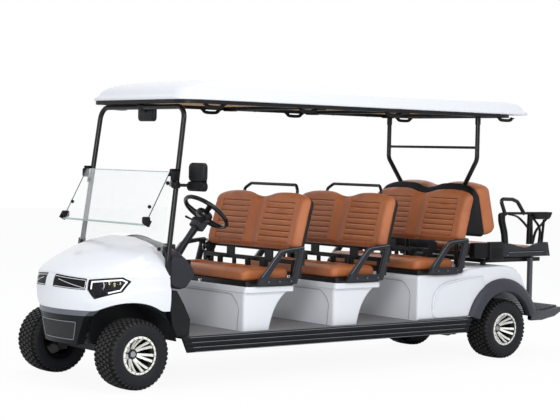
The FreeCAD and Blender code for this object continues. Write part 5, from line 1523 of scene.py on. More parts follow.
    def mesh_panel(self) -> None:
        """Woven mesh in the bumper's recess with a thin bright line round it."""
        corners = [(-0.197, 0.325), (0.197, 0.325), (0.235, 0.462), (-0.235, 0.462)]
        outline = dense(inset_outline(counterclockwise(rounded_polygon(corners, 0.012, 4)), 0.001))
        rows, middle = np.linspace(1, 0, 12)[:, None, None], np.array([0.0, 0.394])
        flat = middle + (outline[None] - middle) * rows
        x = self.bumper_x(flat[..., 0], flat[..., 1], 0.0052)
        panel = Patch()
        panel.grid(np.concatenate([x[..., None], flat], axis=-1), wrap_cols=True)
        place(panel.build("bumper_mesh", 30.0), "grille_mesh")
        edge = Patch()
        ring = inset_outline(outline, 0.004)
        path = np.concatenate([self.bumper_x(ring[:, 0], ring[:, 1], 0.002)[:, None], ring], axis=1)
        line = sweep(curve_through(path, 160, closed=True), rounded_rect(0.004, 0.004, 0.0012, 3), (1, 0, 0), True)
        edge.grid(line, True, True)
        place(edge.build("bumper_mesh_line", 40.0), "silver_trim")

    def build(self) -> None:
        """Makes every piece of the front end."""
        self.cowl()
        self.lamp()
        self.strip()
        self.mesh_panel()


# Upholstery


def clustered(low: float, high: float, count: int, marks: list, width: float, strength: float = 4.0) -> Array:
    """Places from low to high that lie closer together near the marks.

    The density is 1 + strength * sum(exp(-((t - mark) / width)^2)), and the places divide its integral evenly.

    Args:
        low: first place.
        high: last place.
        count: how many places.
        marks: where they lie closer.
        width: how far that reaches.
        strength: how much closer.

    Returns:
        An array of shape (count,).
    """
    t = np.linspace(low, high, 2000)
    density = 1 + strength * np.exp(-((t[:, None] - np.asarray(marks)[None]) / width) ** 2).sum(axis=1)
    total = np.concatenate([[0.0], np.cumsum((density[1:] + density[:-1]) / 2)])
    return np.interp(np.linspace(0, total[-1], count), total, t)


def soft_window(t: Array, low: float, high: float, edge: float) -> Array:
    """1 between low and high and 0 outside, with smooth edges."""
    return smooth_step((t - low) / edge + 0.5) * smooth_step((high - t) / edge + 0.5)


@dataclass
class Pad:
    """A stuffed piece: two curved grids that meet all round, swelled by simulation, then sewn."""

    name: str
    origin: tuple
    up: tuple
    out: tuple
    half_width: float
    height: float
    thickness: float
    roll: float
    body: str = ROOT
    instead_of: tuple = ()
    columns: int = 150
    rows: int = 84
    swell: float = 0.012
    voxel: float = 0.0065
    fullness: float = 2.0

    def low_edge(self, a: Array) -> Array:
        """Height of the lower outline at distance a from the middle.

        Args:
            a: distances from the middle.

        Returns:
            The heights.
        """
        corner = 0.055
        t = np.clip((a - (self.half_width - corner)) / corner, 0, 1)
        return corner * (1 - np.sqrt(1 - 0.98 * t ** 2))

    def high_edge(self, a: Array) -> Array:
        """Height of the upper outline at distance a from the middle."""
        return self.height - self.low_edge(a)

    def relief(self, a: Array, s: Array) -> Array:
        """Distance by which the sewn front stands out at distance a from the middle and height s."""
        return np.zeros_like(a + s)

    def painted_shading(self, a: Array, s: Array) -> Array:
        """How much painted shade a place gets, from 0 to 1, with values below 0 for painted highlight."""
        return np.zeros_like(a + s)

    def places(self) -> tuple[Array, Array]:
        """Columns from -1 to 1 and rows from 0 to 1 of the grid.

        Returns:
            The columns and the rows.
        """
        u = np.sin(np.linspace(-np.pi / 2, np.pi / 2, self.columns) * 0.93) / math.sin(np.pi / 2 * 0.93)
        v = 0.5 + 0.5 * np.sin(np.linspace(-np.pi / 2, np.pi / 2, self.rows) * 0.93) / math.sin(np.pi / 2 * 0.93)
        return u, v

    def local(self) -> tuple[Array, Array, Array]:
        """Sideways place, height and dome share of each grid point.

        The dome is sqrt(1 - cu^2) * sqrt(1 - cv^2), where cu and cv rise from 0 to 1 over the rolled edge.

        Returns:
            Three arrays of shape (rows, columns).
        """
        u, v = self.places()
        y = np.broadcast_to(u * self.half_width, (len(v), len(u)))
        low, high = self.low_edge(np.abs(y)), self.high_edge(np.abs(y))
        s = low + (high - low) * v[:, None]
        cu = np.clip(1 - (self.half_width - np.abs(y)) / self.roll, 0, 1)
        cv = np.clip(1 - np.minimum(s - low, high - s) / self.roll, 0, 1)
        p = self.fullness
        return y, s, np.clip(1 - cu ** p, 0, 1) ** (1 / p) * np.clip(1 - cv ** p, 0, 1) ** (1 / p)

    def form(self) -> tuple[Array, Array, Array]:
        """The closed form before it swells.

        Returns:
            Points of shape (n, 3), quads, and the share of the front relief that each point takes.
        """
        y, s, dome = self.local()
        rows, cols = y.shape
        up, out = np.asarray(self.up, dtype=float), np.asarray(self.out, dtype=float)
        base = np.asarray(self.origin) + y[..., None] * np.array([0.0, 1.0, 0.0]) + s[..., None] * up
        half = self.thickness / 2
        front = base + ((dome - 1) * half)[..., None] * out
        back = base - ((dome + 1) * half)[..., None] * out
        index = np.arange(rows * cols).reshape(rows, cols)
        behind = index.copy()
        behind[1:-1, 1:-1] = rows * cols + np.arange((rows - 2) * (cols - 2)).reshape(rows - 2, cols - 2)
        quads = [np.stack([k[:-1, :-1], k[:-1, 1:], k[1:, 1:], k[1:, :-1]], axis=-1).reshape(-1, 4)
                 for k in (index, behind[:, ::-1])]
        points = np.concatenate([front.reshape(-1, 3), back[1:-1, 1:-1].reshape(-1, 3)])
        share = np.concatenate([smooth_step(dome * 1.15 - 0.1).ravel(), np.zeros((rows - 2) * (cols - 2))])
        return points, np.concatenate(quads), share

    def mesh(self, name: str) -> bpy.types.Object:
        """The form as an object.

        Args:
            name: the object's name.

        Returns:
            The object, with its faces outwards.
        """
        points, quads, _ = self.form()
        mesh = bpy.data.meshes.new(name)
        mesh.from_pydata(points.tolist(), [], quads.tolist())
        obj = bpy.data.objects.new(name, mesh)
        bpy.context.scene.collection.objects.link(obj)
        tool = bmesh.new()
        tool.from_mesh(mesh)
        bmesh.ops.recalc_face_normals(tool, faces=tool.faces)
        tool.to_mesh(mesh)
        tool.free()
        return obj


def read_points(mesh: bpy.types.Mesh) -> Array:
    """A mesh's points as an array of shape (n, 3).

    Args:
        mesh: the mesh.

    Returns:
        The points.
    """
    flat = np.empty(len(mesh.vertices) * 3)
    mesh.vertices.foreach_get("co", flat)
    return flat.reshape(-1, 3)


def write_points(mesh: bpy.types.Mesh, points: Array) -> None:
    """Gives a mesh new places for its points."""
    mesh.vertices.foreach_set("co", points.ravel())
    mesh.update()


@dataclass
class Workshop:
    """Swells all the pads together in one run of cloth simulation, then sews them."""

    frames: int = 20
    pressure: float = 4.0

    def stuff(self, pad: Pad) -> bpy.types.Object:
        """A remeshed copy of a pad with cloth under pressure on it.

        Args:
            pad: the pad.

        Returns:
            The copy, which is only a tool.
        """
        balloon = pad.mesh(f"{pad.name}_balloon")
        remesh = balloon.modifiers.new("remesh", "REMESH")
        remesh.mode = "VOXEL"
        remesh.voxel_size = pad.voxel
        apply_modifiers(balloon)
        cloth = balloon.modifiers.new("cloth", "CLOTH")
        cloth.settings.quality = 4
        cloth.settings.use_pressure = True
        cloth.settings.uniform_pressure_force = self.pressure
        cloth.settings.effector_weights.gravity = 0.0
        cloth.settings.tension_stiffness = 20.0
        cloth.settings.compression_stiffness = 20.0
        cloth.settings.bending_stiffness = 1.5
        return balloon

    def run(self, pads: list) -> list:
        """Args:
            pads: the pads.

        Returns:
            One form for each pad.
        """
        balloons = [self.stuff(pad) for pad in pads]
        scene = bpy.context.scene
        for step in range(1, self.frames + 1):
            scene.frame_set(step)
        graph = bpy.context.evaluated_depsgraph_get()
        for pad, balloon in zip(pads, balloons):
            rest = read_points(balloon.data)
            moved = read_points(balloon.evaluated_get(graph).data) - rest
            length = np.linalg.norm(moved, axis=1, keepdims=True)
            capped = moved * np.minimum(1.0, pad.swell / np.maximum(length, 1e-9))
            balloon.modifiers.clear()
            write_points(balloon.data, rest + capped)
        scene.frame_set(1)
        return balloons

    def sew(self, pad: Pad, balloon: bpy.types.Object | None) -> bpy.types.Object:
        """Lays the pad's grid on its swelled form, presses the sewn lines and channels in, and stores the painted shade
        and painted highlight along them.

        Args:
            pad: the pad.
            balloon: its swelled form, if it was simulated.

        Returns:
            The finished piece.
        """
        obj = pad.mesh(pad.name)
        if balloon is not None:
            wrap = obj.modifiers.new("wrap", "SHRINKWRAP")
            wrap.target = balloon
            wrap.wrap_method = "NEAREST_SURFACEPOINT"
            apply_modifiers(obj)
        points = read_points(obj.data)
        y, s, _ = pad.local()
        share = pad.form()[2]
        extra = len(share) - y.size
        a = np.concatenate([np.abs(y).ravel(), np.zeros(extra)])
        height = np.concatenate([s.ravel(), np.zeros(extra)])
        lift = pad.relief(a, height) * share
        write_points(obj.data, points + lift[:, None] * np.asarray(pad.out, dtype=float))
        # The attribute holds painted shade in the channels and creases and painted highlight beside the channels.
        groove = obj.data.attributes.new("groove", "FLOAT", "POINT")
        groove.data.foreach_set("value", (pad.painted_shading(a, height) * (share > 0.2)).astype(np.float32))
        shade(obj, 60.0)
        return obj

    def finish(self, obj: bpy.types.Object, name: str, shift: tuple, body: str, instead_of: tuple) -> None:
        """Puts one copy of a sewn pad where it belongs.

        Args:
            obj: its finished mesh.
            name: the copy's name.
            shift: how far it stands from the pad.
            body: the body that it moves with.
            instead_of: the CAD nodes that it stands for.
        """
        copy = bpy.data.objects.new(name, obj.data.copy())
        bpy.context.scene.collection.objects.link(copy)
        write_points(copy.data, read_points(copy.data) + np.asarray(shift))
        place(copy, "tan_leather", body, instead_of)


class BenchBack(Pad):
    """Backrest with two lobes, each with a sunken panel of cross channels between raised bolsters."""

    panel_low: float = 0.056
    panel_high: float = 0.372
    channel: float = 0.0452

    def high_edge(self, a: Array) -> Array:
        """Upper outline: two lobes with a dip between them and round shoulders.

        Args:
            a: distances from the middle.

        Returns:
            The heights.
        """
        share = np.array([0.0, 0.12, 0.28, 0.42, 0.57, 0.72, 0.84, 0.92, 0.97, 1.0]) * self.half_width
        drop = np.array([0.80, 0.60, 0.08, -0.08, -0.10, 0.02, 0.30, 0.62, 1.05, 1.60]) * 0.044
        fine = curve_through(np.stack([share, drop], axis=1), 200)
        return self.height - np.interp(a, fine[:, 0], fine[:, 1])

    def places(self) -> tuple[Array, Array]:
        """Columns close together at the panels' sides, and rows at the channels.

        Returns:
            The columns and the rows.
        """
        edge = self.half_width
        sides = [side * m for side in (-1, 1) for m in (0.100, 0.456, edge, edge - 0.015)]
        u = clustered(-edge, edge, self.columns, sides, 0.016, 3.0) / edge
        count = int(round((self.panel_high - self.panel_low) / self.channel))
        lines = [(self.panel_low + k * self.channel) / self.height for k in range(count + 1)]
        return u, clustered(0.0, 1.0, self.rows, lines + [0.0, 0.02, 0.98, 1.0], 0.016, 3.0)

    def panel_sides(self, s: Array) -> tuple[Array, Array]:
        """Distances from the middle of a panel's inner and outer side at height s: they draw together upwards."""
        return 0.095 + 0.010 * (s / self.height), 0.462 - 0.014 * (s / self.height)

    def relief(self, a: Array, s: Array) -> Array:
        """Sunken panel, pillows between its channels, raised rims and bolsters, and a valley in the middle.

        Args:
            a: distances from the middle.
            s: heights.

        Returns:
            Distances outwards.
        """
        inner, outer = self.panel_sides(s)
        mask = smooth_step((a - inner) / 0.010 + 0.5)
        mask = mask * smooth_step((outer - a) / 0.010 + 0.5) * soft_window(s, self.panel_low, self.panel_high, 0.008)
        pillow = np.abs(np.sin(np.pi * (s - self.panel_low) / self.channel)) ** 0.5
        lift = mask * (-0.0160 + 0.0120 * pillow)
        lift = lift + 0.006 * np.exp(-((a - inner + 0.013) / 0.011) ** 2) * soft_window(s, 0.03, 0.41, 0.05)
        lift = lift + 0.004 * np.exp(-((a - outer - 0.014) / 0.012) ** 2) * soft_window(s, 0.03, 0.40, 0.05)
        lift = lift + 0.010 * np.exp(-((a - 0.520) / 0.032) ** 2) * soft_window(s, 0.02, 0.40, 0.09)
        return lift - 0.019 * np.exp(-(a / 0.042) ** 2) + 0.004 * mask * np.exp(-((s - 0.2) / 0.15) ** 2)

    def painted_shading(self, a: Array, s: Array) -> Array:
        """Painted shade along the channels and round the panel, with a painted highlight line beside each channel.

        Args:
            a: distances from the middle.
            s: heights.

        Returns:
            From 1 in a channel, and 0.55 round the panel, to -0.9 on the painted highlight line beside a channel.
        """
        inner, outer = self.panel_sides(s)
        inside = smooth_step((a - inner) / 0.006 + 0.5) * smooth_step((outer - a) / 0.006 + 0.5)
        inside = inside * soft_window(s, self.panel_low - 0.004, self.panel_high + 0.004, 0.004)
        near = (s - self.panel_low) / self.channel
        gap = (near - np.round(near)) * self.channel
        # Painted shade in each channel and a painted highlight line just below it.
        line = np.exp(-(gap / 0.0030) ** 2) - 0.9 * np.exp(-((gap + 0.0062) / 0.0028) ** 2)
        border = np.exp(-((a - inner) / 0.0040) ** 2) + np.exp(-((a - outer) / 0.0040) ** 2)
        border = border * soft_window(s, self.panel_low - 0.004, self.panel_high + 0.004, 0.01)
        return np.clip(inside * line + border * 0.55, -1, 1)


class BenchCushion(Pad):
    """Seat cushion with a rolled front, two sunken places and raised sides."""

    def places(self) -> tuple[Array, Array]:
        """Columns close together at the sides of the sunken places and at the edges.

        Returns:
            The columns and the rows.
        """
        edge = self.half_width
        sides = [side * m for side in (-1, 1) for m in (0.05, 0.46, edge, edge - 0.015)]
        u = clustered(-edge, edge, self.columns, sides, 0.018, 3.0) / edge
        return u, clustered(0.0, 1.0, self.rows, [0.0, 0.02, 0.98, 1.0, 0.30, 0.36], 0.025, 3.0)

    def relief(self, a: Array, s: Array) -> Array:
        """Two places 12 to 18 mm deep whose front edge bows forward, a low middle ridge and side bolsters.

        Args:
            a: distances from the middle.
            s: distances from the front.

        Returns:
            Distances upwards.
        """
        mask = self.dish(a, s, 0.014)
        lift = -0.0185 * mask + 0.007 * mask * (1 - np.clip(((a - 0.26) / 0.21) ** 2, 0, 1))
        lift = lift + 0.006 * np.exp(-((a - 0.497) / 0.022) ** 2) * soft_window(s, 0.05, 0.41, 0.06)
        lift = lift + 0.006 * np.exp(-((s - 0.085) / 0.050) ** 2)
        return lift - 0.0045 * np.exp(-((a - 0.270) / 0.004) ** 2) * smooth_step((0.13 - s) / 0.05)

    def dish(self, a: Array, s: Array, edge: float) -> Array:
        """1 in the sunken places and 0 outside, with edges of the given width.

        Args:
            a: distances from the middle.
            s: distances from the front.
            edge: width of the edges.

        Returns:
            The mask.
        """
        front = 0.150 + 0.050 * np.clip(np.abs((a - 0.26) / 0.21), 0, 1.2) ** 2
        mask = soft_window(a, 0.055, 0.462, edge * 1.2) * smooth_step((s - front) / edge + 0.5)
        return mask * smooth_step((self.height - 0.03 - s) / 0.05)

    def painted_shading(self, a: Array, s: Array) -> Array:
        """A soft line of painted shade where the sunken places begin."""
        mask = self.dish(a, s, 0.014)
        return np.clip(4 * mask * (1 - mask), 0, 1) * 0.55 * smooth_step((0.36 - s) / 0.05)


class RearCushion(Pad):
    """Cushion of the rear-facing bench: softly crowned with two low places."""

    def relief(self, a: Array, s: Array) -> Array:
        """Two places 9 mm deep between raised edges."""
        mask = soft_window(a, 0.05, 0.39, 0.04) * soft_window(s, 0.10, 0.36, 0.05)
        return -0.009 * mask - 0.004 * np.exp(-(a / 0.008) ** 2) * smooth_step((s - 0.04) / 0.04)


@dataclass
class Seats:
    """All the benches' soft parts."""

    pitch: float = BENCH_PITCH
    rake: float = BENCH_RAKE
    rear_rake: float = REAR_RAKE
    rise: float = LAST_BENCH_RISE

    def pads(self) -> list:
        """The four different pads, where the first of each kind stands.

        Returns:
            The bench's back and cushion, and the rear-facing bench's.
        """
        lean, rear = math.radians(self.rake), math.radians(self.rear_rake)
        back = BenchBack("bench_back", (0.399, 0.0, 0.941), (-math.sin(lean), 0.0, math.cos(lean)),
                         (math.cos(lean), 0.0, math.sin(lean)), 0.586, 0.468, 0.062, 0.040, rows=100)
        cushion = BenchCushion("bench_cushion", (0.874, 0.0, 0.8085), (-1.0, 0.0, 0.0), (0.0, 0.0, 1.0),
                               0.556, 0.446, 0.079, 0.042, swell=0.004, fullness=2.8)
        rear_back = BenchBack("rear_back", (-1.8000, 0.0, 1.0580), (math.sin(rear), 0.0, math.cos(rear)),
                              (-math.cos(rear), 0.0, math.sin(rear)), 0.556, 0.446, 0.160, 0.060, rows=100,
                              swell=0.003, fullness=2.4)
        rear_cushion = RearCushion("rear_cushion", (-2.384, 0.0, 0.927), (1.0, 0.0, 0.0), (0.0, 0.0, 1.0),
                                   0.461, 0.388, 0.088, 0.042, columns=110, rows=64, swell=0.006)
        return [back, cushion, rear_back, rear_cushion]

    def build(self) -> None:
        """Makes, swells and sews the pads, and sets a copy in each row."""
        shop = Workshop()
        pads = self.pads()
        balloons = shop.run(pads)
        sewn = [shop.sew(pad, balloon) for pad, balloon in zip(pads, balloons)]
        for row, name in enumerate(("front", "middle", "rear")):
            shift = (-self.pitch * row, 0.0, self.rise if row == 2 else 0.0)
            shop.finish(sewn[0], f"seat_back_{name}", shift, ROOT, ("seat_backs",))
            shop.finish(sewn[1], f"seat_pad_{name}", shift, f"cushion_{name}", (f"seat_cushion_{name}",))
        shop.finish(sewn[2], "rear_facing_back_pad", (0, 0, 0), ROOT, ("seat_backs",))
        shop.finish(sewn[3], "rear_facing_seat_pad", (0, 0, 0), "rear_facing_cushion",
                    ("rear_facing_cushion",))
        for tool in [*sewn, *[b for b in balloons if b is not None]]:
            bpy.data.meshes.remove(tool.data)


# Wheels


@dataclass
class Wheel:
    """One wheel with its tyre, for the left side, turned over for the right."""

    name: str
    x: float
    side: Side
    track_half: float = 0.532
    axle_z: float = AXLE_Z
    spoke_pairs: int = 7
    pair_angle: float = 0.27
    spoke_lean: float = 0.10

    def put(self, points: Array) -> Array:
        """Points with offsets outwards from the wheel's middle as Y, moved to the wheel's place."""
        turn = np.array([1.0, self.side.value, 1.0])
        return points * turn + np.array([self.x, self.side.value * self.track_half, self.axle_z])

    def spin(self, profile: list | Array, count: int = 72) -> Array:
        """Grid of a profile of (offset outwards, radius) turned about the axle."""
        return self.put(lathe(np.asarray(profile, dtype=float), (0, 0, 0), "y", count))

    def carcass(self) -> list:
        """Half the tyre's section, from the middle of the tread round to the bead."""
        return [(0.000, 0.2405), (0.040, 0.2400), (0.075, 0.2380), (0.095, 0.2335), (0.108, 0.2260), (0.1165, 0.2180),
                 (0.1225, 0.2120), (0.1250, 0.2000), (0.1262, 0.1860), (0.1255, 0.1720), (0.1225, 0.1600),
                 (0.1175, 0.1500), (0.1135, 0.1440), (0.1095, 0.1395), (0.1040, 0.1340), (0.0980, 0.1270)]

    def tyre(self) -> None:
        """Turf tyre: a smooth wall with fine rings, and five rows of square lugs."""
        half = curve_through(self.carcass(), 60)
        ring = np.zeros(len(half))
        for radius in (0.148, 0.153, 0.205):
            ring += 0.0011 * np.exp(-((half[:, 1] - radius) / 0.0012) ** 2) * (half[:, 0] > 0.1)
        half = half + np.stack([ring, np.zeros_like(ring)], axis=1)
        half[:, 0] = np.minimum(half[:, 0], 0.1268)
        section = np.concatenate([half[::-1], half[1:] * np.array([-1, 1]), [[-0.060, 0.124], [0.060, 0.124]]])
        tyre = Patch()
        tyre.grid(self.spin(section, 96), wrap_rows=True, wrap_cols=True)
        place(tyre.build(f"tyre_carcass_{self.name}", 50.0), "tyre", f"wheel_{self.name}", (f"tyre_{self.name}",))
        lugs = Patch()
        for row in ((-0.015, 0.015, 0.2496, 0.2496, 42, 0.0, 0.36), (0.024, 0.052, 0.2494, 0.2486, 42, 0.5, 0.36),
                    (-0.052, -0.024, 0.2486, 0.2494, 42, 0.5, 0.36), (0.061, 0.089, 0.2480, 0.2452, 42, 0.0, 0.36),
                    (-0.089, -0.061, 0.2452, 0.2480, 42, 0.0, 0.36), (0.097, 0.1205, 0.2440, 0.2280, 42, 0.5, 0.33),
                    (-0.1205, -0.097, 0.2280, 0.2440, 42, 0.5, 0.33)):
            points, faces = self.lug_row(*row)
            lugs.add(self.put(points), faces)
        piece = lugs.build(f"tyre_lugs_{self.name}", 25.0)
        place(piece, "tyre", f"wheel_{self.name}")

    @staticmethod
    def lug_row(y0: float, y1: float, r0: float, r1: float, count: int, phase: float,
                share: float) -> tuple[Array, list]:
        """A ring of tapered blocks.

        Args:
            y0: the blocks' inner side.
            y1: their outer side.
            r0: top radius at y0.
            r1: top radius at y1.
            count: blocks in the ring.
            phase: turn of the ring, in blocks.
            share: half a block's length as a share of the pitch.

        Returns:
            Points and faces of all the blocks.
        """
        pitch = 2 * np.pi / count
        middle = (np.arange(count) + phase)[:, None] * pitch
        corner_y = np.array([y0, y1, y1, y0])
        corner_r = np.array([r0, r1, r1, r0])
        sign = np.array([-1, -1, 1, 1])
        taper = 0.0018 * np.array([1, -1, -1, 1])
        top_angle = middle + sign * pitch * (share - 0.05)
        low_angle = middle + sign * pitch * share
        layers = []
        for angle, radius, y in ((low_angle, corner_r - 0.010, corner_y), (top_angle, corner_r, corner_y + taper)):
            layers.append(np.stack([radius * np.sin(angle), np.broadcast_to(y, angle.shape), radius * np.cos(angle)],
                                   axis=-1))
        points = np.stack(layers, axis=1)
        base = (np.arange(count) * 8)[:, None, None]
        faces = np.array([[4, 5, 6, 7], [0, 1, 5, 4], [1, 2, 6, 5], [2, 3, 7, 6], [3, 0, 4, 7]])[None] + base
        return points.reshape(-1, 3), faces.reshape(-1, 4).tolist()

    def spoke(self, angle: float, wide: tuple, offsets: tuple, radii: tuple, depth: float, lean: float) -> Array:
        """Grid of one spoke: a tapered bar from the hub to the rim with a slightly crowned outer face.

        Args:
            angle: the spoke's direction at the hub.
            wide: half widths at the hub and at the rim.
            offsets: outer face's offset at the hub and at the rim.
            radii: where it starts and ends.
            depth: of the bar.
            lean: how much further round it is at the rim, in radians.

        Returns:
            An array of shape (9, 10, 3).
        """
        t = np.linspace(0, 1, 9)
        radius = radii[0] + (radii[1] - radii[0]) * t
        half = wide[0] + (wide[1] - wide[0]) * t
        face = offsets[0] + (offsets[1] - offsets[0]) * t ** 1.4
        turn = angle + lean * t
        across = np.array([-1, -0.93, -0.4, 0.4, 0.93, 1, 1.05, 0.6, -0.6, -1.05])
        into = np.array([-0.0025, 0, 0.0006, 0.0006, 0, -0.0025, -depth, -depth, -depth, -depth])
        along = np.stack([np.sin(turn), np.cos(turn)], axis=-1)[:, None]
        side = np.stack([np.cos(turn), -np.sin(turn)], axis=-1)[:, None]
        flat = along * radius[:, None, None] + side * (half[:, None] * across)[..., None]
        y = face[:, None] + into
        return np.stack([flat[..., 0], y, flat[..., 1]], axis=-1)

    def spokes(self, patch: Patch, wide: tuple, offsets: tuple, radii: tuple, depth: float) -> None:
        """Adds all the spokes, in pairs that lean apart towards the rim.

        Args:
            patch: where they go.
            wide: half widths at the hub and at the rim.
            offsets: outer face's offset at the hub and at the rim.
            radii: where they start and end.
            depth: of each bar.
        """
        for k in range(2 * self.spoke_pairs):
            sign = k % 2 - 0.5
            angle = (k // 2) * 2 * math.pi / self.spoke_pairs + sign * self.pair_angle
            grid = self.spoke(angle, wide, offsets, radii, depth, sign * self.spoke_lean)
            patch.grid(self.put(grid), False, True, True)

    def rim(self) -> None:
        """Black wheel with a bright ring, seven pairs of bright-faced spokes, small bolts and a light cap."""
        body = f"wheel_{self.name}"
        barrel = Patch()
        section = [(0.1110, 0.1175), (0.1040, 0.1170), (0.0950, 0.1150), (0.0700, 0.1130), (0.0400, 0.1120),
                   (0.0, 0.1085), (-0.0500, 0.1120), (-0.0900, 0.1180), (-0.0985, 0.1300), (-0.1000, 0.1360),
                   (-0.0960, 0.1370), (-0.0880, 0.1270), (-0.0600, 0.1200), (0.0, 0.1140), (0.0600, 0.1200),
                   (0.0880, 0.1270), (0.0960, 0.1360), (0.1060, 0.1355), (0.1110, 0.1330)]
        barrel.grid(self.spin(section, 72), wrap_rows=True, wrap_cols=True)
        dish = [(0.0200, 0.0), (0.0200, 0.0320), (0.0170, 0.0345), (0.0060, 0.0360), (0.0020, 0.0510),
                (-0.0060, 0.0750), (-0.0120, 0.1120), (-0.0180, 0.1120), (-0.0140, 0.0400), (-0.0140, 0.0)]
        barrel.grid(self.spin(dish, 56), wrap_cols=True)
        self.spokes(barrel, (0.0080, 0.0085), (0.0030, 0.0930), (0.030, 0.1165), 0.014)
        place(barrel.build(f"rim_{self.name}_body", 35.0), "wheel_black", body, (f"rim_{self.name}",))
        bright = Patch()
        ring = [(0.1095, 0.1190), (0.1125, 0.1200), (0.1130, 0.1225), (0.1130, 0.1300), (0.1115, 0.1340),
                (0.1080, 0.1360), (0.1040, 0.1360), (0.1040, 0.1190)]
        bright.grid(self.spin(ring, 96), wrap_rows=True, wrap_cols=True)
        self.spokes(bright, (0.0078, 0.0098), (0.0160, 0.1060), (0.037, 0.1180), 0.012)
        place(bright.build(f"rim_{self.name}_face", 30.0), "alloy", body)
        dark = Patch()
        for count, radius, head in ((21, 0.1268, [[0.1130, 0.0042], [0.1148, 0.0040], [0.1156, 0.0030], [0.1156, 0.0]]),
                                    (4, 0.0455, [[0.0010, 0.0085], [0.0130, 0.0080], [0.0145, 0.0050], [0.0145, 0.0]])):
            for k in range(count):
                angle = (k + 0.5) * 2 * math.pi / count
                centre = (radius * math.sin(angle), 0.0, radius * math.cos(angle))
                dark.grid(self.put(lathe(np.array(head), centre, "y", 6)), wrap_cols=True)
        place(dark.build(f"rim_{self.name}_bolts", 30.0), "motor_metal", body)
        cap = Patch()
        dome = [(0.0195, 0.0225), (0.0250, 0.0220), (0.0280, 0.0200), (0.0290, 0.0170), (0.0293, 0.0130),
                (0.0299, 0.0125), (0.0300, 0.0080), (0.0300, 0.0)]
        cap.grid(self.spin(dome, 40), wrap_cols=True)
        place(cap.build(f"rim_{self.name}_cap", 30.0), "silver_trim", body)
        valve = Patch()
        stem = lathe(np.array([[0.0700, 0.0035], [0.0930, 0.0032], [0.0945, 0.0022], [0.0945, 0.0]]),
                     (0.1060 * math.sin(0.35), 0.0, 0.1060 * math.cos(0.35)), "y", 10)
        valve.grid(self.put(stem), wrap_cols=True)
        place(valve.build(f"rim_{self.name}_valve", 40.0), "rubber_trim", body)

    def build(self) -> None:
        """Makes the wheel."""
        self.tyre()
        self.rim()


def build_wheels() -> None:
    """Makes the four wheels."""
    for end, x in (("front", WHEEL_X), ("rear", -WHEEL_X)):
        for side in Side:
            Wheel(f"{end}_{side.name.lower()}", x, side).build()


# Trim, hardware and body panels


class Kit:
    """Small forms of one assembly, gathered by finish and made into one piece for each finish."""

    def __init__(self, name: str, body: str = ROOT, instead_of: tuple = (), smooth: float = 35.0) -> None:
        """Starts an assembly.

        Args:
            name: first part of the pieces' names.
            body: the body that they move with.
            instead_of: CAD nodes that they stand for.
            smooth: largest angle in degrees that is shaded as one surface.
        """
        self.name, self.body, self.instead_of, self.smooth = name, body, instead_of, smooth
        self.patches: dict[str, Patch] = {}

    def add(self, finish: str, points: Array, faces: list, both: bool = False) -> None:
        """Adds a form, and its mirror image if asked.

        Args:
            finish: name of its finish.
            points: its points.
            faces: index lists.
            both: whether the other side gets one too.
        """
        patch = self.patches.setdefault(finish, Patch())
        patch.add(points, faces)
        if both:
            patch.add(mirror(np.asarray(points)), faces)

    def grid(self, finish: str, points: Array, wrap_rows: bool = False, wrap_cols: bool = True, caps: bool = True,
             both: bool = False) -> None:
        """Adds a grid, and its mirror image if asked.

        Args:
            finish: name of its finish.
            points: the grid.
            wrap_rows: whether the last row joins the first.
            wrap_cols: whether the last column joins the first.
            caps: whether the end rows are closed.
            both: whether the other side gets one too.
        """
        patch = self.patches.setdefault(finish, Patch())
        for form in ([points, mirror(points)] if both else [points]):
            patch.grid(form, wrap_rows, wrap_cols, caps and not wrap_rows)

    def block(self, finish: str, centre: tuple, size: tuple, radius: float = 0.004, both: bool = False) -> None:
        """Adds a block with round edges."""
        points, faces = rounded_block(centre, size, radius)
        self.add(finish, points, faces, both)

    def tube(self, finish: str, points: list, radius: float, bend: float = 0.03, both: bool = False,
             count: int = 14) -> None:
        """Adds a round tube through the points with its corners bent.

        Args:
            finish: name of its finish.
            points: its corners.
            radius: of the tube.
            bend: radius of its bends.
            both: whether the other side gets one too.
            count: points round it.
        """
        path = rounded_path(points, bend, 8) if len(points) > 2 else np.asarray(points, dtype=float)
        run = unit(path[-1] - path[0])
        up = (0, 0, 1) if abs(run[2]) < 0.7 else (0, 1, 0)
        form, faces = tube_form(path, radius, count, up)
        self.add(finish, form, faces, both)

    def bolt(self, finish: str, centre: tuple, axis: str, radius: float, height: float, both: bool = False) -> None:
        """Adds a domed eight-sided bolt head that stands up along an axis.

        Args:
            finish: name of its finish.
            centre: middle of its foot.
            axis: "x", "y" or "z".
            radius: of the head.
            height: of the head, below zero for one that hangs.
            both: whether the other side gets one too.
        """
        sign = 1 if height > 0 else -1
        profile = np.array([[-0.001 * sign, radius], [height * 0.6, radius], [height, radius * 0.7], [height, 0.0]])
        self.grid(finish, lathe(profile, centre, axis, 8), False, True, False, both)

    def build(self) -> None:
        """Makes one piece for each finish."""
        for index, (finish, patch) in enumerate(self.patches.items()):
            piece = patch.build(f"{self.name}_{finish}", self.smooth)
            place(piece, finish, self.body, self.instead_of if index == 0 else ())


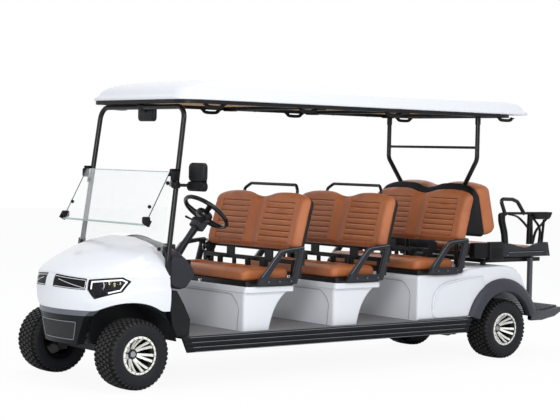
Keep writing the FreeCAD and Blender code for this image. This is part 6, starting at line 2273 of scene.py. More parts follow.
def loop_frame(outer: list, inner: list, origin: tuple, size: tuple, y0: float, y1: float) -> Array:
    """Grid of a flat loop between two outlines with as many corners each, with bevelled edges and a shallow channel.

    Args:
        outer: outer corners as shares of the size.
        inner: inner corners as shares of the size.
        origin: x and z of the shares' zero.
        size: length and height.
        y0: the inner face.
        y1: the outer face, in which the channel lies.

    Returns:
        An array that wraps both ways.
    """
    rings = []
    for corners, radius in ((outer, 0.016), (inner, 0.012)):
        flat = [(origin[0] + size[0] * u, origin[1] + size[1] * v) for u, v in corners]
        rings.append(rounded_polygon(flat, radius, 6))
    a, b = rings
    width = np.linalg.norm(b - a, axis=1)[:, None]
    edge = np.minimum(0.005 / width, 0.25)
    zero, one = np.zeros_like(edge), np.ones_like(edge)
    bevel = math.copysign(0.005, y1 - y0)
    share = np.concatenate([edge, 1 - edge, one, one, 1 - edge, 0.70 * one, 0.63 * one, 0.37 * one, 0.30 * one, edge,
                            zero, zero], axis=1)
    y = np.array([y0, y0, y0 + bevel, y1 - bevel, y1, y1, y1 - bevel * 0.8, y1 - bevel * 0.8, y1, y1, y1 - bevel,
                  y0 + bevel])
    flat = a[:, None] + (b - a)[:, None] * share[..., None]
    return np.stack([flat[..., 0], np.broadcast_to(y, share.shape), flat[..., 1]], axis=-1)


@dataclass
class SeatHardware:
    """Hip restraints, belt reels, latches, back shells and grab rails."""

    front_x: float = FRONT_BENCH_X
    pitch: float = BENCH_PITCH
    rise: float = LAST_BENCH_RISE
    back_run: float = 0.487
    rail_foot_y: float = 0.330
    arm_outer: tuple = ((0, 0), (1.0, 0), (0.95, 0.12), (0.44, 0.86), (0.34, 0.92), (-0.19, 0.985))
    arm_inner: tuple = ((0.105, 0.17), (0.66, 0.17), (0.70, 0.235), (0.37, 0.745), (0.29, 0.80), (-0.045, 0.865))

    def row(self, index: int) -> tuple[float, float]:
        """A row's front place and how much higher than the first it stands."""
        return self.front_x - self.pitch * index, self.rise if index == 2 else 0.0

    def restraints(self) -> None:
        """Moulded loops at both ends of each bench with their feet and bolts."""
        kit = Kit("hip_restraint", ROOT, ("hip_restraints",), 40.0)
        for index in range(3):
            front, lift = self.row(index)
            origin = (front - 0.456, 0.7033 + lift)
            grid = loop_frame(self.arm_outer, self.arm_inner, origin, (0.375, 0.290), 0.613, 0.6455)
            kit.grid("dark_grey_trim", grid, True, True, False, True)
            kit.block("dark_grey_trim", (front - 0.300, 0.606, 0.7135 + lift), (0.225, 0.046, 0.022), 0.004, True)
            edge = rounded_path([(origin[0] + 0.375 * u, 0.6462, origin[1] + 0.290 * v) for u, v in
                                 ((0.90, 0.20), (0.46, 0.835), (0.36, 0.885), (-0.13, 0.945))], 0.03, 6)
            kit.grid("line_grey", sweep(edge, rounded_rect(0.0030, 0.0045, 0.001, 3), (0, 1, 0)), both=True)
            for along in (0.060, 0.170, 0.275):
                kit.bolt("motor_metal", (origin[0] + along, 0.6455, origin[1] + 0.024), "y", 0.0065, 0.0042, True)
        kit.build()

    def reels(self) -> None:
        """Belt reels behind each restraint with a bright tongue, a buckle and a short length of webbing."""
        kit = Kit("belt_reel", ROOT, (), 40.0)
        for index in range(3):
            front, lift = self.row(index)
            x, z = front - 0.535, 0.880 + lift
            kit.block("frame_black", (x, 0.575, z), (0.062, 0.044, 0.092), 0.010, True)
            kit.grid("frame_black", lathe(np.array([[0.548, 0.0], [0.548, 0.034], [0.553, 0.038], [0.603, 0.038],
                                                    [0.608, 0.034], [0.608, 0.0]]), (x, 0.0, z + 0.040), "y", 24),
                     False, True, False, True)
            kit.block("chrome", (x + 0.020, 0.583, z + 0.083), (0.052, 0.030, 0.010), 0.003, True)
            kit.block("chrome", (x + 0.040, 0.611, z + 0.030), (0.030, 0.006, 0.050), 0.002, True)
            kit.block("soft_black", (x + 0.062, 0.575, z + 0.094), (0.060, 0.044, 0.007), 0.003, True)
            kit.block("frame_black", (x + 0.006, 0.560, z - 0.090), (0.036, 0.040, 0.110), 0.004, True)
            kit.block("soft_black", (x + 0.030, 0.588, z - 0.030), (0.050, 0.026, 0.070), 0.008, True)
            for y in (-0.30, 0.06, 0.28):
                kit.block("soft_black", (front - 0.432, y, 0.826 + lift), (0.030, 0.046, 0.070), 0.008)
                kit.block("soft_black", (front - 0.432, y, 0.862 + lift), (0.018, 0.028, 0.006), 0.002)
            kit.block("chrome", (front - 0.024, 0.0, 0.700 + lift), (0.012, 0.036, 0.020), 0.003)
            kit.block("chrome", (front - 0.019, 0.0, 0.692 + lift), (0.008, 0.020, 0.030), 0.002)
        kit.build()

    def shells(self) -> None:
        """Black shells behind the backs, each a thin lobed form, with rails for the row behind."""
        lean = math.radians(BENCH_RAKE)
        up = np.array([-math.sin(lean), 0.0, math.cos(lean)])
        out = np.array([math.cos(lean), 0.0, math.sin(lean)])
        kit = Kit("back_shell", ROOT, ("seat_back_shells",), 45.0)
        for index in range(2):
            front, lift = self.row(index)
            base = np.array([front - self.back_run, 0.0, 0.941 + lift]) - out * 0.050
            pad = BenchBack("shell", tuple(base), tuple(up), tuple(out), 0.578, 0.452, 0.028, 0.014,
                            columns=90, rows=40)
            points, quads, _ = pad.form()
            kit.add("black_trim", points, quads.tolist())
            for y in (-0.30, 0.30):
                spot = base - out * 0.034 + up * 0.10
                kit.block("frame_black", (spot[0], y, spot[2]), (0.030, 0.110, 0.150), 0.008)
        rear = math.radians(REAR_RAKE)
        up_rear = np.array([math.sin(rear), 0.0, math.cos(rear)])
        front, lift = self.row(2)
        near = np.array([front - self.back_run, 0.0, 0.978 + lift]) - out * 0.050 + up * 0.048
        far = np.array([-1.655, 0.0, 1.020])
        y, low, high = self.lobed(0.560, 0.402)
        y2, low2, high2 = self.lobed(0.552, 0.418)
        rows = []
        for share, inset in ((0.0, 0.05), (0.0, 0.006), (0.03, 0.0), (0.2, 0.0), (0.4, 0.0), (0.6, 0.0), (0.8, 0.0),
                             (0.97, 0.0), (1.0, 0.006), (1.0, 0.05)):
            a = self.ring(near, up, y, low, high, inset)
            b = self.ring(far, up_rear, y2, low2, high2, inset)
            bulge = up * 0.030 * math.sin(math.pi * min(1.0, max(0.0, share)) ** 0.8)
            rows.append(a + (b - a) * share + np.clip((a[:, 2:] - 1.15) / 0.25, 0, 1) * bulge)
        kit.grid("soft_black", np.stack(rows))
        kit.build()
        rails = Kit("grab_rail", ROOT, (), 60.0)
        for index in range(2):
            front, lift = self.row(index)
            foot = np.array([front - self.back_run, 0.0, 0.938 + lift]) - out * 0.099 + up * 0.290
            half = [(foot[0], self.rail_foot_y, foot[2]), (front - 0.690, 0.335, 1.395 + lift),
                    (front - 0.715, 0.285, 1.436 + lift)]
            points = [(x, -y, z) for x, y, z in half] + half[::-1]
            rails.tube("gloss_black", points, 0.0125, 0.035)
            for y in (-self.rail_foot_y, self.rail_foot_y):
                rails.block("gloss_black", (foot[0], y, foot[2] - 0.004), (0.030, 0.034, 0.052), 0.006)
        rails.build()

    @staticmethod
    def lobed(half: float, height: float) -> tuple[Array, Array, Array]:
        """Sideways places with the lower and the upper outline there, as on a bench back.

        Args:
            half: half the width.
            height: of the back.

        Returns:
            The places, the lower and the upper heights.
        """
        form = BenchBack("outline", (0, 0, 0), (0, 0, 1), (1, 0, 0), half, height, 0.05, 0.03)
        y = np.sin(np.linspace(-np.pi / 2, np.pi / 2, 61)) * half
        return y, form.low_edge(np.abs(y)), form.high_edge(np.abs(y))

    @staticmethod
    def ring(origin: Array, up: Array, y: Array, low: Array, high: Array, inset: float) -> Array:
        """Closed outline in a raked plane: along the lower edge and back along the upper one.

        Args:
            origin: the plane's zero.
            up: its upward direction.
            y: sideways places.
            low: lower heights.
            high: upper heights.
            inset: distance it is drawn in.

        Returns:
            An array of shape (n, 3).
        """
        squeeze = 1 - inset / np.abs(y).max()
        side = np.concatenate([y, y[-2:0:-1]]) * squeeze
        height = np.concatenate([low + inset, (high - inset)[-2:0:-1]])
        return origin + side[:, None] * np.array([0.0, 1.0, 0.0]) + height[:, None] * up

    def build(self) -> None:
        """Makes all the hardware."""
        self.restraints()
        self.reels()
        self.shells()


@dataclass
class Bodywork:
    """Pods, rear body, flares and sill details."""

    front_x: float = FRONT_BENCH_X
    pitch: float = BENCH_PITCH
    panel_radius: float = 0.405

    def pod(self, kit: Kit, front: float) -> None:
        """One pod: an open shell whose plan is a rounded rectangle at each height, and a ledge with a hatch.

        Args:
            kit: where its forms go.
            front: the ledge's front place.
        """
        z = np.linspace(0.3615, 0.647, 14)
        rise = (z - 0.361) / 0.285
        rear = front - 0.430 + 0.168 * np.interp(rise, [0, 0.18, 0.36, 0.54, 0.72, 0.86, 0.95, 1.0],
                                                 [1.0, 0.93, 0.84, 0.71, 0.52, 0.31, 0.12, 0.0])
        rows = []
        for inset, order in ((0.0, slice(None)), (0.006, slice(None, None, -1))):
            for height, back in zip(z[order], rear[order]):
                lead = front - 0.013 - inset
                plan = rounded_rect(lead - back - inset, 1.150 - 2 * inset, 0.030, 6)
                rows.append(np.column_stack([plan[:, 0] + (lead + back + inset) / 2, plan[:, 1],
                                             np.full(len(plan), height)]))
        kit.grid("white_body", np.stack(rows), True, True, False)
        ring = []
        for width, depth, height, corner in ((1.206, 0.460, 0.6465, 0.030), (1.212, 0.466, 0.6495, 0.032),
                                             (1.212, 0.466, 0.6860, 0.032), (1.204, 0.458, 0.6900, 0.028),
                                             (1.046, 0.326, 0.6900, 0.020), (1.046, 0.326, 0.6465, 0.020)):
            plan = rounded_rect(depth, width, corner, 6)
            centre = front - 0.233 if width > 1.1 else front - 0.215
            ring.append(np.column_stack([plan[:, 0] + centre, plan[:, 1], np.full(len(plan), height)]))
        kit.grid("white_body", np.stack(ring), True, True, False)
        self.panel_line(kit, front - 0.0132, 0.492, 0.366, 0.628)

    @staticmethod
    def panel_line(kit: Kit, x: float, half: float, low: float, high: float) -> None:
        """Line of painted shade round the panel on a front face: up one side, across with large bends, and down the
        other.

        Args:
            kit: where its forms go.
            x: the face's place.
            half: half its width.
            low: its foot.
            high: its top.
        """
        corners = [(x + 0.0008, -half, low), (x + 0.0008, -half - 0.018, high - 0.085),
                   (x + 0.0008, -half + 0.075, high),
                   (x + 0.0008, half - 0.075, high), (x + 0.0008, half + 0.018, high - 0.085), (x + 0.0008, half, low)]
        path = rounded_path(corners, 0.09, 12)
        # Painted shade: a grey strip where the panel's edge step would cast shade, with a paler strip along its middle;
        # the face behind it is flat.
        kit.grid("line_grey", sweep(path, rounded_rect(0.0075, 0.0030, 0.001, 3), (1, 0, 0)))
        kit.grid("white_trim", sweep(path + np.array([0.0002, 0.0, 0.0]), rounded_rect(0.0030, 0.0040, 0.001, 3),
                                     (1, 0, 0)))

    def pods(self) -> None:
        """The first two pods."""
        kit = Kit("pod", ROOT, ("seat_pods",), 35.0)
        for index in range(2):
            self.pod(kit, self.front_x - self.pitch * index)
        kit.build()

    @staticmethod
    def body_outline() -> Array:
        """Side outline of the rear body with its round wheel arch, closed.

        Returns:
            An array of shape (n, 2) in x and z.
        """
        top = [(-0.858, 0.3613), (-0.858, 0.7238), (-1.352, 0.7238), (-1.385, 0.750), (-1.450, 0.7630),
               (-1.616, 0.7737),
               (-1.800, 0.7790), (-1.900, 0.7760), (-1.975, 0.7560), (-2.067, 0.6878), (-2.126, 0.5789),
               (-2.160, 0.4600), (-2.165, 0.3613)]
        start = math.acos((FLOOR_Z - AXLE_Z) / ARCH_RADIUS)
        angle = np.linspace(-start, start, 41)
        arch = np.column_stack([-WHEEL_X + ARCH_RADIUS * np.sin(angle), AXLE_Z + ARCH_RADIUS * np.cos(angle)])
        upper = rounded_path([(x, z, 0.0) for x, z in top], 0.030, 6)[:, :2]
        return dense(np.concatenate([upper, arch]), 0.02)

    def rear_body(self) -> None:
        """White body over the rear wheels, rounded at its edges, with a storage bin and a rising step on its flanks."""
        patch = Patch()
        patch.grid(xz_slab(self.body_outline(), -0.598, 0.598, 0.022, 6), False, True, True)
        body = patch.build("rear_body_shell", 40.0)
        bin_form = rounded_block((-1.2045, 0.0, 0.62), (0.326, 1.046, 0.36), 0.02)
        tail = rounded_block((-2.165, 0.0, 0.53), (0.05, 1.00, 0.22), 0.02)
        carve(body, [bin_form, tail])
        shade(body, 40.0)
        place(body, "white_body", ROOT, ("rear_body",))
        kit = Kit("rear_body", ROOT, (), 45.0)
        line = curve_through([(-1.012, 0.440), (-1.018, 0.500), (-1.035, 0.560), (-1.076, 0.614), (-1.143, 0.648),
                              (-1.234, 0.667), (-1.417, 0.688), (-1.590, 0.700)], 70)
        turn = np.linspace(math.radians(30.0), math.radians(72.0), 24)
        arch = np.column_stack([-WHEEL_X + self.panel_radius * np.sin(turn),
                                AXLE_Z + self.panel_radius * np.cos(turn)])
        foot = [(-1.300, 0.372), (-1.060, 0.372), (-1.020, 0.395)]
        rim = np.stack([line[:, 0], np.full(len(line), 0.6085), line[:, 1]], axis=1)
        kit.grid("white_body", sweep(rim, rounded_rect(0.014, 0.022, 0.006, 5), (0, 1, 0), False,
                                     np.interp(np.linspace(0, 1, len(line)), [0, 0.08, 0.7, 1], [0.2, 1, 1, 0.3])),
                 both=True)
        region = dense(np.concatenate([line, arch, foot]), 0.015)
        kit.grid("white_body", xz_slab(region, 0.592, 0.6050, 0.009, 6), both=True)
        self.panel_line(kit, -0.8575, 0.492, 0.366, 0.672)
        kit.build()

    def flares(self) -> None:
        """Fat rounded flares over the rear wheels: one section carried round the arch."""
        section = curve_through([(0.5965, 0.424), (0.612, 0.4215), (0.628, 0.411), (0.641, 0.392), (0.6500, 0.366),
                                 (0.6535, 0.342), (0.6510, 0.324), (0.643, 0.3165), (0.620, 0.3160),
                                 (0.5965, 0.3170)], 30)
        angle = np.linspace(-1.262, 1.262, 61)
        grid = np.stack([-WHEEL_X + section[None, :, 1] * np.sin(angle)[:, None],
                         np.broadcast_to(section[:, 0], (len(angle), len(section))),
                         AXLE_Z + section[None, :, 1] * np.cos(angle)[:, None]], axis=-1)
        kit = Kit("flare", ROOT, ("fender_flares",), 50.0)
        kit.grid("flare_grey", grid, both=True)
        kit.build()

    def sills(self) -> None:
        """Light ridges on the running boards and screws."""
        kit = Kit("sill_trim", ROOT, (), 40.0)
        for z in (0.3525, 0.3165, 0.2805, 0.2490):
            kit.block("ridge_grey", (0.010, 0.6408, z), (2.800 - (0.361 - z) * 0.9, 0.0036, 0.0042), 0.0014, True)
        for k in range(9):
            kit.bolt("motor_metal", (1.28 - 0.32 * k, 0.601, 0.361), "z", 0.006, 0.003, True)
        for y in (0.575, 0.590, 0.612, 0.627):
            kit.block("ridge_grey", (0.010, y, 0.3618), (2.80, 0.004, 0.0032), 0.0012, True)
        kit.build()

    def build(self) -> None:
        """Makes all the panels."""
        self.pods()
        self.rear_body()
        self.flares()
        self.sills()


@dataclass
class RearEnd:
    """Armrests, side panels, deck and step of the rear-facing bench."""

    arm_y: float = 0.528
    tray_x: float = -2.3525
    cup_x: float = -2.3917

    def armrests(self) -> None:
        """Ribbed legs, a curved top bar, crossing struts, the cup tray and the grab loop, on both sides."""
        y = self.arm_y
        kit = Kit("rear_armrest", ROOT, ("rear_armrests",), 40.0)
        for x0, x1 in ((-1.888, -1.862), (-1.916, -1.893)):
            path = curve_through([(x0 - 0.020, y, 0.950), (x0 - 0.006, y, 1.050), (x1 + 0.002, y, 1.150),
                                  (x1 + 0.004, y, 1.205)], 20)
            kit.grid("black_trim", sweep(path, rounded_rect(0.024, 0.040, 0.007, 4), (0, 1, 0)), both=True)
        kit.grid("soft_black", sweep(curve_through([(-1.925, y, 0.955), (-1.912, y, 1.05), (-1.888, y, 1.20)], 12),
                                     rounded_rect(0.030, 0.012, 0.003, 3), (0, 1, 0)), both=True)
        bar = curve_through([(-1.850, y, 1.192), (-1.868, y, 1.211), (-1.960, y, 1.2165), (-2.100, y, 1.2155),
                             (-2.245, y, 1.2165)], 30)
        kit.grid("black_trim", sweep(bar, rounded_rect(0.036, 0.022, 0.008, 5), (0, 0, 1)), both=True)
        for path in ([(-2.205, y, 0.950), (-2.213, y, 1.205)], [(-2.246, y, 0.950), (-2.232, y, 1.190)]):
            line = np.linspace(path[0], path[1], 8)
            kit.grid("black_trim", sweep(line, rounded_rect(0.018, 0.034, 0.005, 4), (0, 1, 0)), both=True)
        for path in ([(-1.960, y, 1.207), (-2.060, y, 1.188), (-2.140, y, 1.140), (-2.212, y, 1.080)],
                     [(-2.340, y, 0.952), (-2.352, y, 1.050), (-2.330, y, 1.110), (-2.258, y, 1.175)],
                     [(-2.262, y, 0.952), (-2.300, y, 1.060), (-2.372, y, 1.120), (-2.440, y, 1.172)],
                     [(-2.376, y, 0.952), (-2.388, y, 1.060), (-2.400, y, 1.160)]):
            line = curve_through(path, 18)
            kit.grid("black_trim", sweep(line, rounded_rect(0.013, 0.024, 0.004, 4), (0, 1, 0)), both=True)
        self.tray(kit)
        loop = [(-1.918, y, 1.200), (-1.862, y, 1.318), (-1.880, y, 1.337), (-2.000, y, 1.334), (-2.060, y, 1.315),
                (-2.150, y, 1.210)]
        kit.tube("gloss_black", loop, 0.0165, 0.040, True)
        kit.build()

    def tray(self, kit: Kit) -> None:
        """Tapered cup tray: rounded plans that grow from its foot to its rim, then go down the inside and the bore.

        Args:
            kit: where its form goes.
        """
        rows = []
        for length, width, z, corner in ((0.150, 0.060, 1.1640, 0.020), (0.176, 0.074, 1.1660, 0.024),
                                         (0.208, 0.086, 1.1850, 0.028), (0.228, 0.093, 1.2080, 0.030),
                                         (0.235, 0.096, 1.2170, 0.031), (0.235, 0.096, 1.2230, 0.031),
                                         (0.229, 0.091, 1.2250, 0.029), (0.217, 0.082, 1.2242, 0.026),
                                         (0.213, 0.079, 1.2215, 0.025)):
            plan = rounded_rect(length, width, corner, 8)
            rows.append(np.column_stack([plan[:, 0] + self.tray_x, plan[:, 1] + self.arm_y, np.full(len(plan), z)]))
        angle = np.arctan2(rows[-1][:, 1] - self.arm_y, rows[-1][:, 0] - self.tray_x)
        for radius, z in ((0.0375, 1.2212), (0.0362, 1.2195), (0.0360, 1.1745), (0.0330, 1.1735)):
            rows.append(np.column_stack([self.cup_x + radius * np.cos(angle), self.arm_y + radius * np.sin(angle),
                                         np.full(len(angle), z)]))
        kit.grid("black_trim", np.stack(rows), both=True)

    def side_panels(self) -> None:
        """Wavy panels beside the cushion with a light line, and the black box ahead of each."""
        kit = Kit("rear_side_panel", ROOT, (), 45.0)
        top = curve_through([(-1.886, 0.963), (-1.930, 0.9645), (-2.000, 0.955), (-2.080, 0.935), (-2.150, 0.925),
                             (-2.230, 0.934), (-2.300, 0.955), (-2.370, 0.9655), (-2.440, 0.9655)], 50)
        outline = np.concatenate([top, [(-2.470, 0.846), (-1.886, 0.846)]])
        kit.grid("dark_grey_trim", xz_slab(dense(outline, 0.02), 0.509, 0.5495, 0.008, 5), both=True)
        kit.block("ridge_grey", (-2.165, 0.5496, 0.886), (0.430, 0.003, 0.0048), 0.0014, True)
        kit.block("soft_black", (-2.165, 0.5494, 0.8935), (0.430, 0.003, 0.006), 0.0014, True)
        kit.block("black_trim", (-1.800, 0.530, 0.895), (0.168, 0.056, 0.165), 0.012, True)
        kit.block("soft_black", (-1.640, 0.505, 0.905), (0.180, 0.075, 0.130), 0.016, True)
        kit.block("soft_black", (-1.800, 0.556, 0.880), (0.130, 0.006, 0.090), 0.003, True)
        for x in (-1.935, -2.430):
            kit.bolt("motor_metal", (x, 0.5495, 0.862), "y", 0.006, 0.004, True)
        kit.build()

    def step(self) -> None:
        """Ribs across the step's top, every other one lighter as a painted highlight of the rib edges, end caps and the
        posts' collars.
        """
        kit = Kit("rear_step_trim", ROOT, (), 40.0)
        for k in range(13):
            share = (k + 0.7) / 13.6
            x = -2.2353 - 0.3647 * share
            z = 0.372 + 0.040 * share
            # Every other rib is painted lighter: painted highlight of the rib edges.
            kit.block("ridge_grey" if k % 2 else "grey_trim", (x, 0.0, z + 0.0012), (0.0125, 1.030, 0.0052), 0.002)
        cap = np.array([(-2.2353, 0.294), (-2.362, 0.294), (-2.534, 0.320), (-2.598, 0.352), (-2.6065, 0.380),
                        (-2.600, 0.399), (-2.436, 0.375), (-2.308, 0.372), (-2.2353, 0.360)])
        outline = dense(rounded_polygon([tuple(p) for p in cap], 0.012, 5), 0.02)
        kit.grid("dark_grey_trim", xz_slab(outline, 0.519, 0.5655, 0.008, 5), both=True)
        kit.block("frame_black", (-2.238, 0.528, 0.838), (0.050, 0.048, 0.012), 0.004, True)
        kit.block("frame_black", (-2.238, 0.528, 0.392), (0.050, 0.048, 0.016), 0.004, True)
        for y in (-0.45, -0.15, 0.15, 0.45):
            kit.bolt("motor_metal", (-2.262, y, 0.3752), "z", 0.006, 0.0035)
        for y in (-0.32, 0.32):
            kit.block("red_lens", (-2.1655, y, 0.700), (0.010, 0.110, 0.042), 0.004)
            kit.block("amber", (-2.1655, math.copysign(0.41, y), 0.700), (0.010, 0.055, 0.042), 0.004)
        kit.build()

    def build(self) -> None:
        """Makes the rear end."""
        self.armrests()
        self.side_panels()
        self.step()


@dataclass
class Cabin:
    """Dash, column, steering wheel, pedals, mirrors and windscreen hardware."""

    hub: tuple = (1.040, 0.300, 1.232)
    slope: float = 50.7
    dash_half: float = 0.585
    dash_boxes: tuple = ((-0.30, 0.300), (0.07, 0.190))
    stalk_z: float = 1.436

    def dash_outline(self, top: float, shrink: float) -> Array:
        """Side outline of the dash with large soft corners, drawn towards its middle near its ends.

        Args:
            top: height of its crown there.
            shrink: from 0 for the full section to 1 for a point.

        Returns:
            An array of shape (n, 2) in x and z.
        """
        shares = [(0.00, 0.42), (0.10, 0.66), (0.38, 0.93), (0.52, 1.00), (1.00, 1.00), (1.00, 0.10), (0.58, 0.0),
                  (0.34, 0.04)]
        corners = scaled(shares, (1.3235, 0.6905), (1.5440, top))
        outline = rounded_polygon(corners, 0.045, 6)
        middle = np.array([1.46, 0.84])
        return middle + (outline - middle) * (1 - shrink)

    def dash(self) -> None:
        """Arched dash with soft ends, a glove box, a pocket, a small display, switches and a grey strip of painted
        highlight along its upper edge.
        """
        rows = []
        ends = np.array([0.565, 0.576, 0.582, 0.5845, self.dash_half])
        for y in np.concatenate([-ends[::-1], np.linspace(-0.54, 0.54, 25), ends]):
            share = abs(y) / self.dash_half
            end = max(0.0, (abs(y) - 0.550) / 0.035)
            top = 0.925 + 0.118 * float(np.interp(share, [0, 0.25, 0.52, 0.78, 1.0], [1.0, 0.95, 0.78, 0.42, 0.0]))
            outline = self.dash_outline(top, 0.13 * (1 - math.sqrt(max(0.0, 1 - end ** 2))))
            rows.append(np.column_stack([outline[:, 0], np.full(len(outline), y), outline[:, 1]]))
        patch = Patch()
        patch.grid(np.stack(rows), False, True, True)
        dash = patch.build("dash_shell", 45.0)
        cutters = [rounded_block((1.378, y, 0.815), (0.110, width, 0.100), 0.014) for y, width in
                   self.dash_boxes]
        carve(dash, cutters)
        shade(dash, 45.0)
        place(dash, "dark_grey_trim", ROOT, ("dash",))
        kit = Kit("dash_trim", ROOT, (), 40.0)
        for y, width in self.dash_boxes:
            frame_line = rounded_polygon([(y - width / 2 - 0.004, 0.761), (y + width / 2 + 0.004, 0.761),
                                          (y + width / 2 + 0.004, 0.869), (y - width / 2 - 0.004, 0.869)], 0.014, 5)
            x = np.interp(frame_line[:, 1], [0.69, 0.79, 0.87, 0.93], [1.334, 1.3235, 1.338, 1.356]) - 0.0005
            path = np.column_stack([x, frame_line])
            kit.grid("ridge_grey", sweep(path, rounded_rect(0.005, 0.005, 0.0015, 3), (1, 0, 0), True), True)
        kit.block("gloss_black", (1.372, 0.300, 0.972), (0.030, 0.150, 0.062), 0.008)
        for k in range(3):
            kit.block("soft_black", (1.345, 0.455 + 0.036 * k, 0.880), (0.016, 0.026, 0.038), 0.004)
        kit.grid("chrome", lathe(np.array([[1.325, 0.0], [1.325, 0.010], [1.328, 0.012], [1.350, 0.012]]),
                                 (0.0, 0.210, 0.905), "x", 20), False, True, False)
        # Grey strip along the dash's upper edge: painted highlight.
        kit.grid("grey_trim", sweep(curve_through([(1.446, -0.560, 0.930), (1.440, -0.3, 0.992), (1.438, 0.0, 1.039),
                                                   (1.440, 0.3, 0.992), (1.446, 0.560, 0.930)], 60),
                                    rounded_rect(0.030, 0.006, 0.002, 3), (1, 0, 0)))
        kit.build()

    def frame_axes(self) -> tuple[Array, Array, Array]:
        """The steering axis upwards, the wheel's own up direction and the cart's left.

        Returns:
            The three directions.
        """
        slope = math.radians(self.slope)
        axis = np.array([-math.cos(slope), 0.0, math.sin(slope)])
        up = np.array([math.sin(slope), 0.0, math.cos(slope)])
        return axis, up, np.array([0.0, 1.0, 0.0])

    def turned(self, points: Array) -> Array:
        """Points given as (sideways, up, along the axis) about the hub, set in place."""
        axis, up, side = self.frame_axes()
        return np.asarray(self.hub) + points[..., :1] * side + points[..., 1:2] * up + points[..., 2:3] * axis

    def wheel(self) -> None:
        """Thick rim with finger grips, three spokes in a Y, a centre pad and small bright accents."""
        t = np.linspace(0, 2 * np.pi, 96, endpoint=False)
        ring = np.stack([0.1775 * np.sin(t), 0.1775 * np.cos(t), np.zeros_like(t)], axis=1)
        grips = 1.0 + 0.10 * np.exp(-(np.minimum(np.abs(t - 1.2), np.abs(t - 5.08)) / 0.28) ** 2)
        section = circle(0.0165, 16)
        kit = Kit("steering_wheel", "steering_wheel", ("steering_wheel",), 50.0)
        grid = sweep(ring, section, (0, 0, 1), True, grips * 0.98)
        kit.grid("gloss_black", self.turned(grid), True)
        for angle in (np.pi, np.pi / 3, -np.pi / 3):
            along = np.array([math.sin(angle), math.cos(angle), 0.0])
            path = np.stack([along * r + np.array([0, 0, z]) for r, z in
                             ((0.020, -0.030), (0.060, -0.028), (0.110, -0.018), (0.150, -0.006), (0.172, 0.0))])
            path = curve_through(path, 16)
            width = np.interp(np.linspace(0, 1, 16), [0, 0.5, 1], [1.35, 0.85, 1.15])
            profile = rounded_rect(0.044, 0.015, 0.006, 4)
            kit.grid("soft_black", self.turned(sweep(path, profile, (0, 0, 1), False, width)))
            bright = curve_through(np.stack([along * r + np.array([0, 0, z]) for r, z in
                                             ((0.105, -0.0105), (0.135, -0.0035), (0.155, 0.0035))]), 8)
            kit.grid("brown_accent", self.turned(sweep(bright, rounded_rect(0.019, 0.004, 0.0015, 3), (0, 0, 1))))
        pad = [(-0.052, 0.0), (-0.052, 0.056), (-0.034, 0.066), (-0.012, 0.064), (-0.003, 0.056), (0.0, 0.038),
               (0.001, 0.0)]
        hub = lathe(np.array(pad), (0, 0, 0), "z", 40)
        kit.grid("gloss_black", self.turned(hub), caps=False)
        badge = lathe(np.array([(0.000, 0.0), (0.000, 0.021), (0.0022, 0.020), (0.0022, 0.0)]), (0, 0, 0), "z", 32)
        kit.grid("silver_trim", self.turned(badge), caps=False)
        shaft = lathe(np.array([(-0.100, 0.0), (-0.100, 0.0128), (-0.040, 0.0128), (-0.040, 0.0)]), (0, 0, 0), "z", 20)
        kit.grid("motor_metal", self.turned(shaft), caps=False)
        kit.build()

    def column(self) -> None:
        """Grey column shroud with a black stripe, a switch housing, two stalks and a rubber boot at the dash."""
        kit = Kit("steering_column", ROOT, ("steering_column",), 45.0)
        path = np.stack([np.zeros(7), np.zeros(7), np.array([-0.500, -0.430, -0.360, -0.300, -0.230, -0.160, -0.100])],
                        axis=1)
        size = np.array([1.30, 1.25, 1.08, 0.95, 0.92, 1.00, 1.05])
        profile = rounded_rect(0.052, 0.050, 0.018, 6)
        shroud = sweep(path, profile, (0, 1, 0), False, size)
        kit.grid("dark_grey_trim", self.turned(shroud))
        stripe = path.copy()
        stripe[:, 0] = 0.0255 * size
        kit.grid("soft_black", self.turned(sweep(stripe, rounded_rect(0.016, 0.004, 0.0015, 3), (1, 0, 0))))
        for centre, box, finish in (((0, -0.006, -0.110), (0.104, 0.088, 0.086), "dark_grey_trim"),
                                    ((0, 0.020, -0.092), (0.124, 0.040, 0.046), "soft_black")):
            points, faces = rounded_block(centre, box, 0.016, 5)
            kit.add(finish, self.turned(points), faces)
        for side in (1, -1):
            line = curve_through([(side * 0.055, 0.020, -0.095), (side * 0.100, 0.026, -0.088),
                                  (side * 0.150, 0.034, -0.078)], 10)
            kit.grid("soft_black", self.turned(sweep(line, circle(0.0055, 10), (0, 0, 1), False,
                                                     np.linspace(1.0, 1.6, 10))))
        boot = np.array([(-0.520, 0.0), (-0.520, 0.062), (-0.500, 0.066), (-0.488, 0.058), (-0.476, 0.060),
                         (-0.462, 0.052), (-0.450, 0.053), (-0.436, 0.046), (-0.430, 0.0)])
        kit.grid("rubber_trim", self.turned(lathe(boot, (0, 0, 0), "z", 28)), caps=False)
        kit.build()

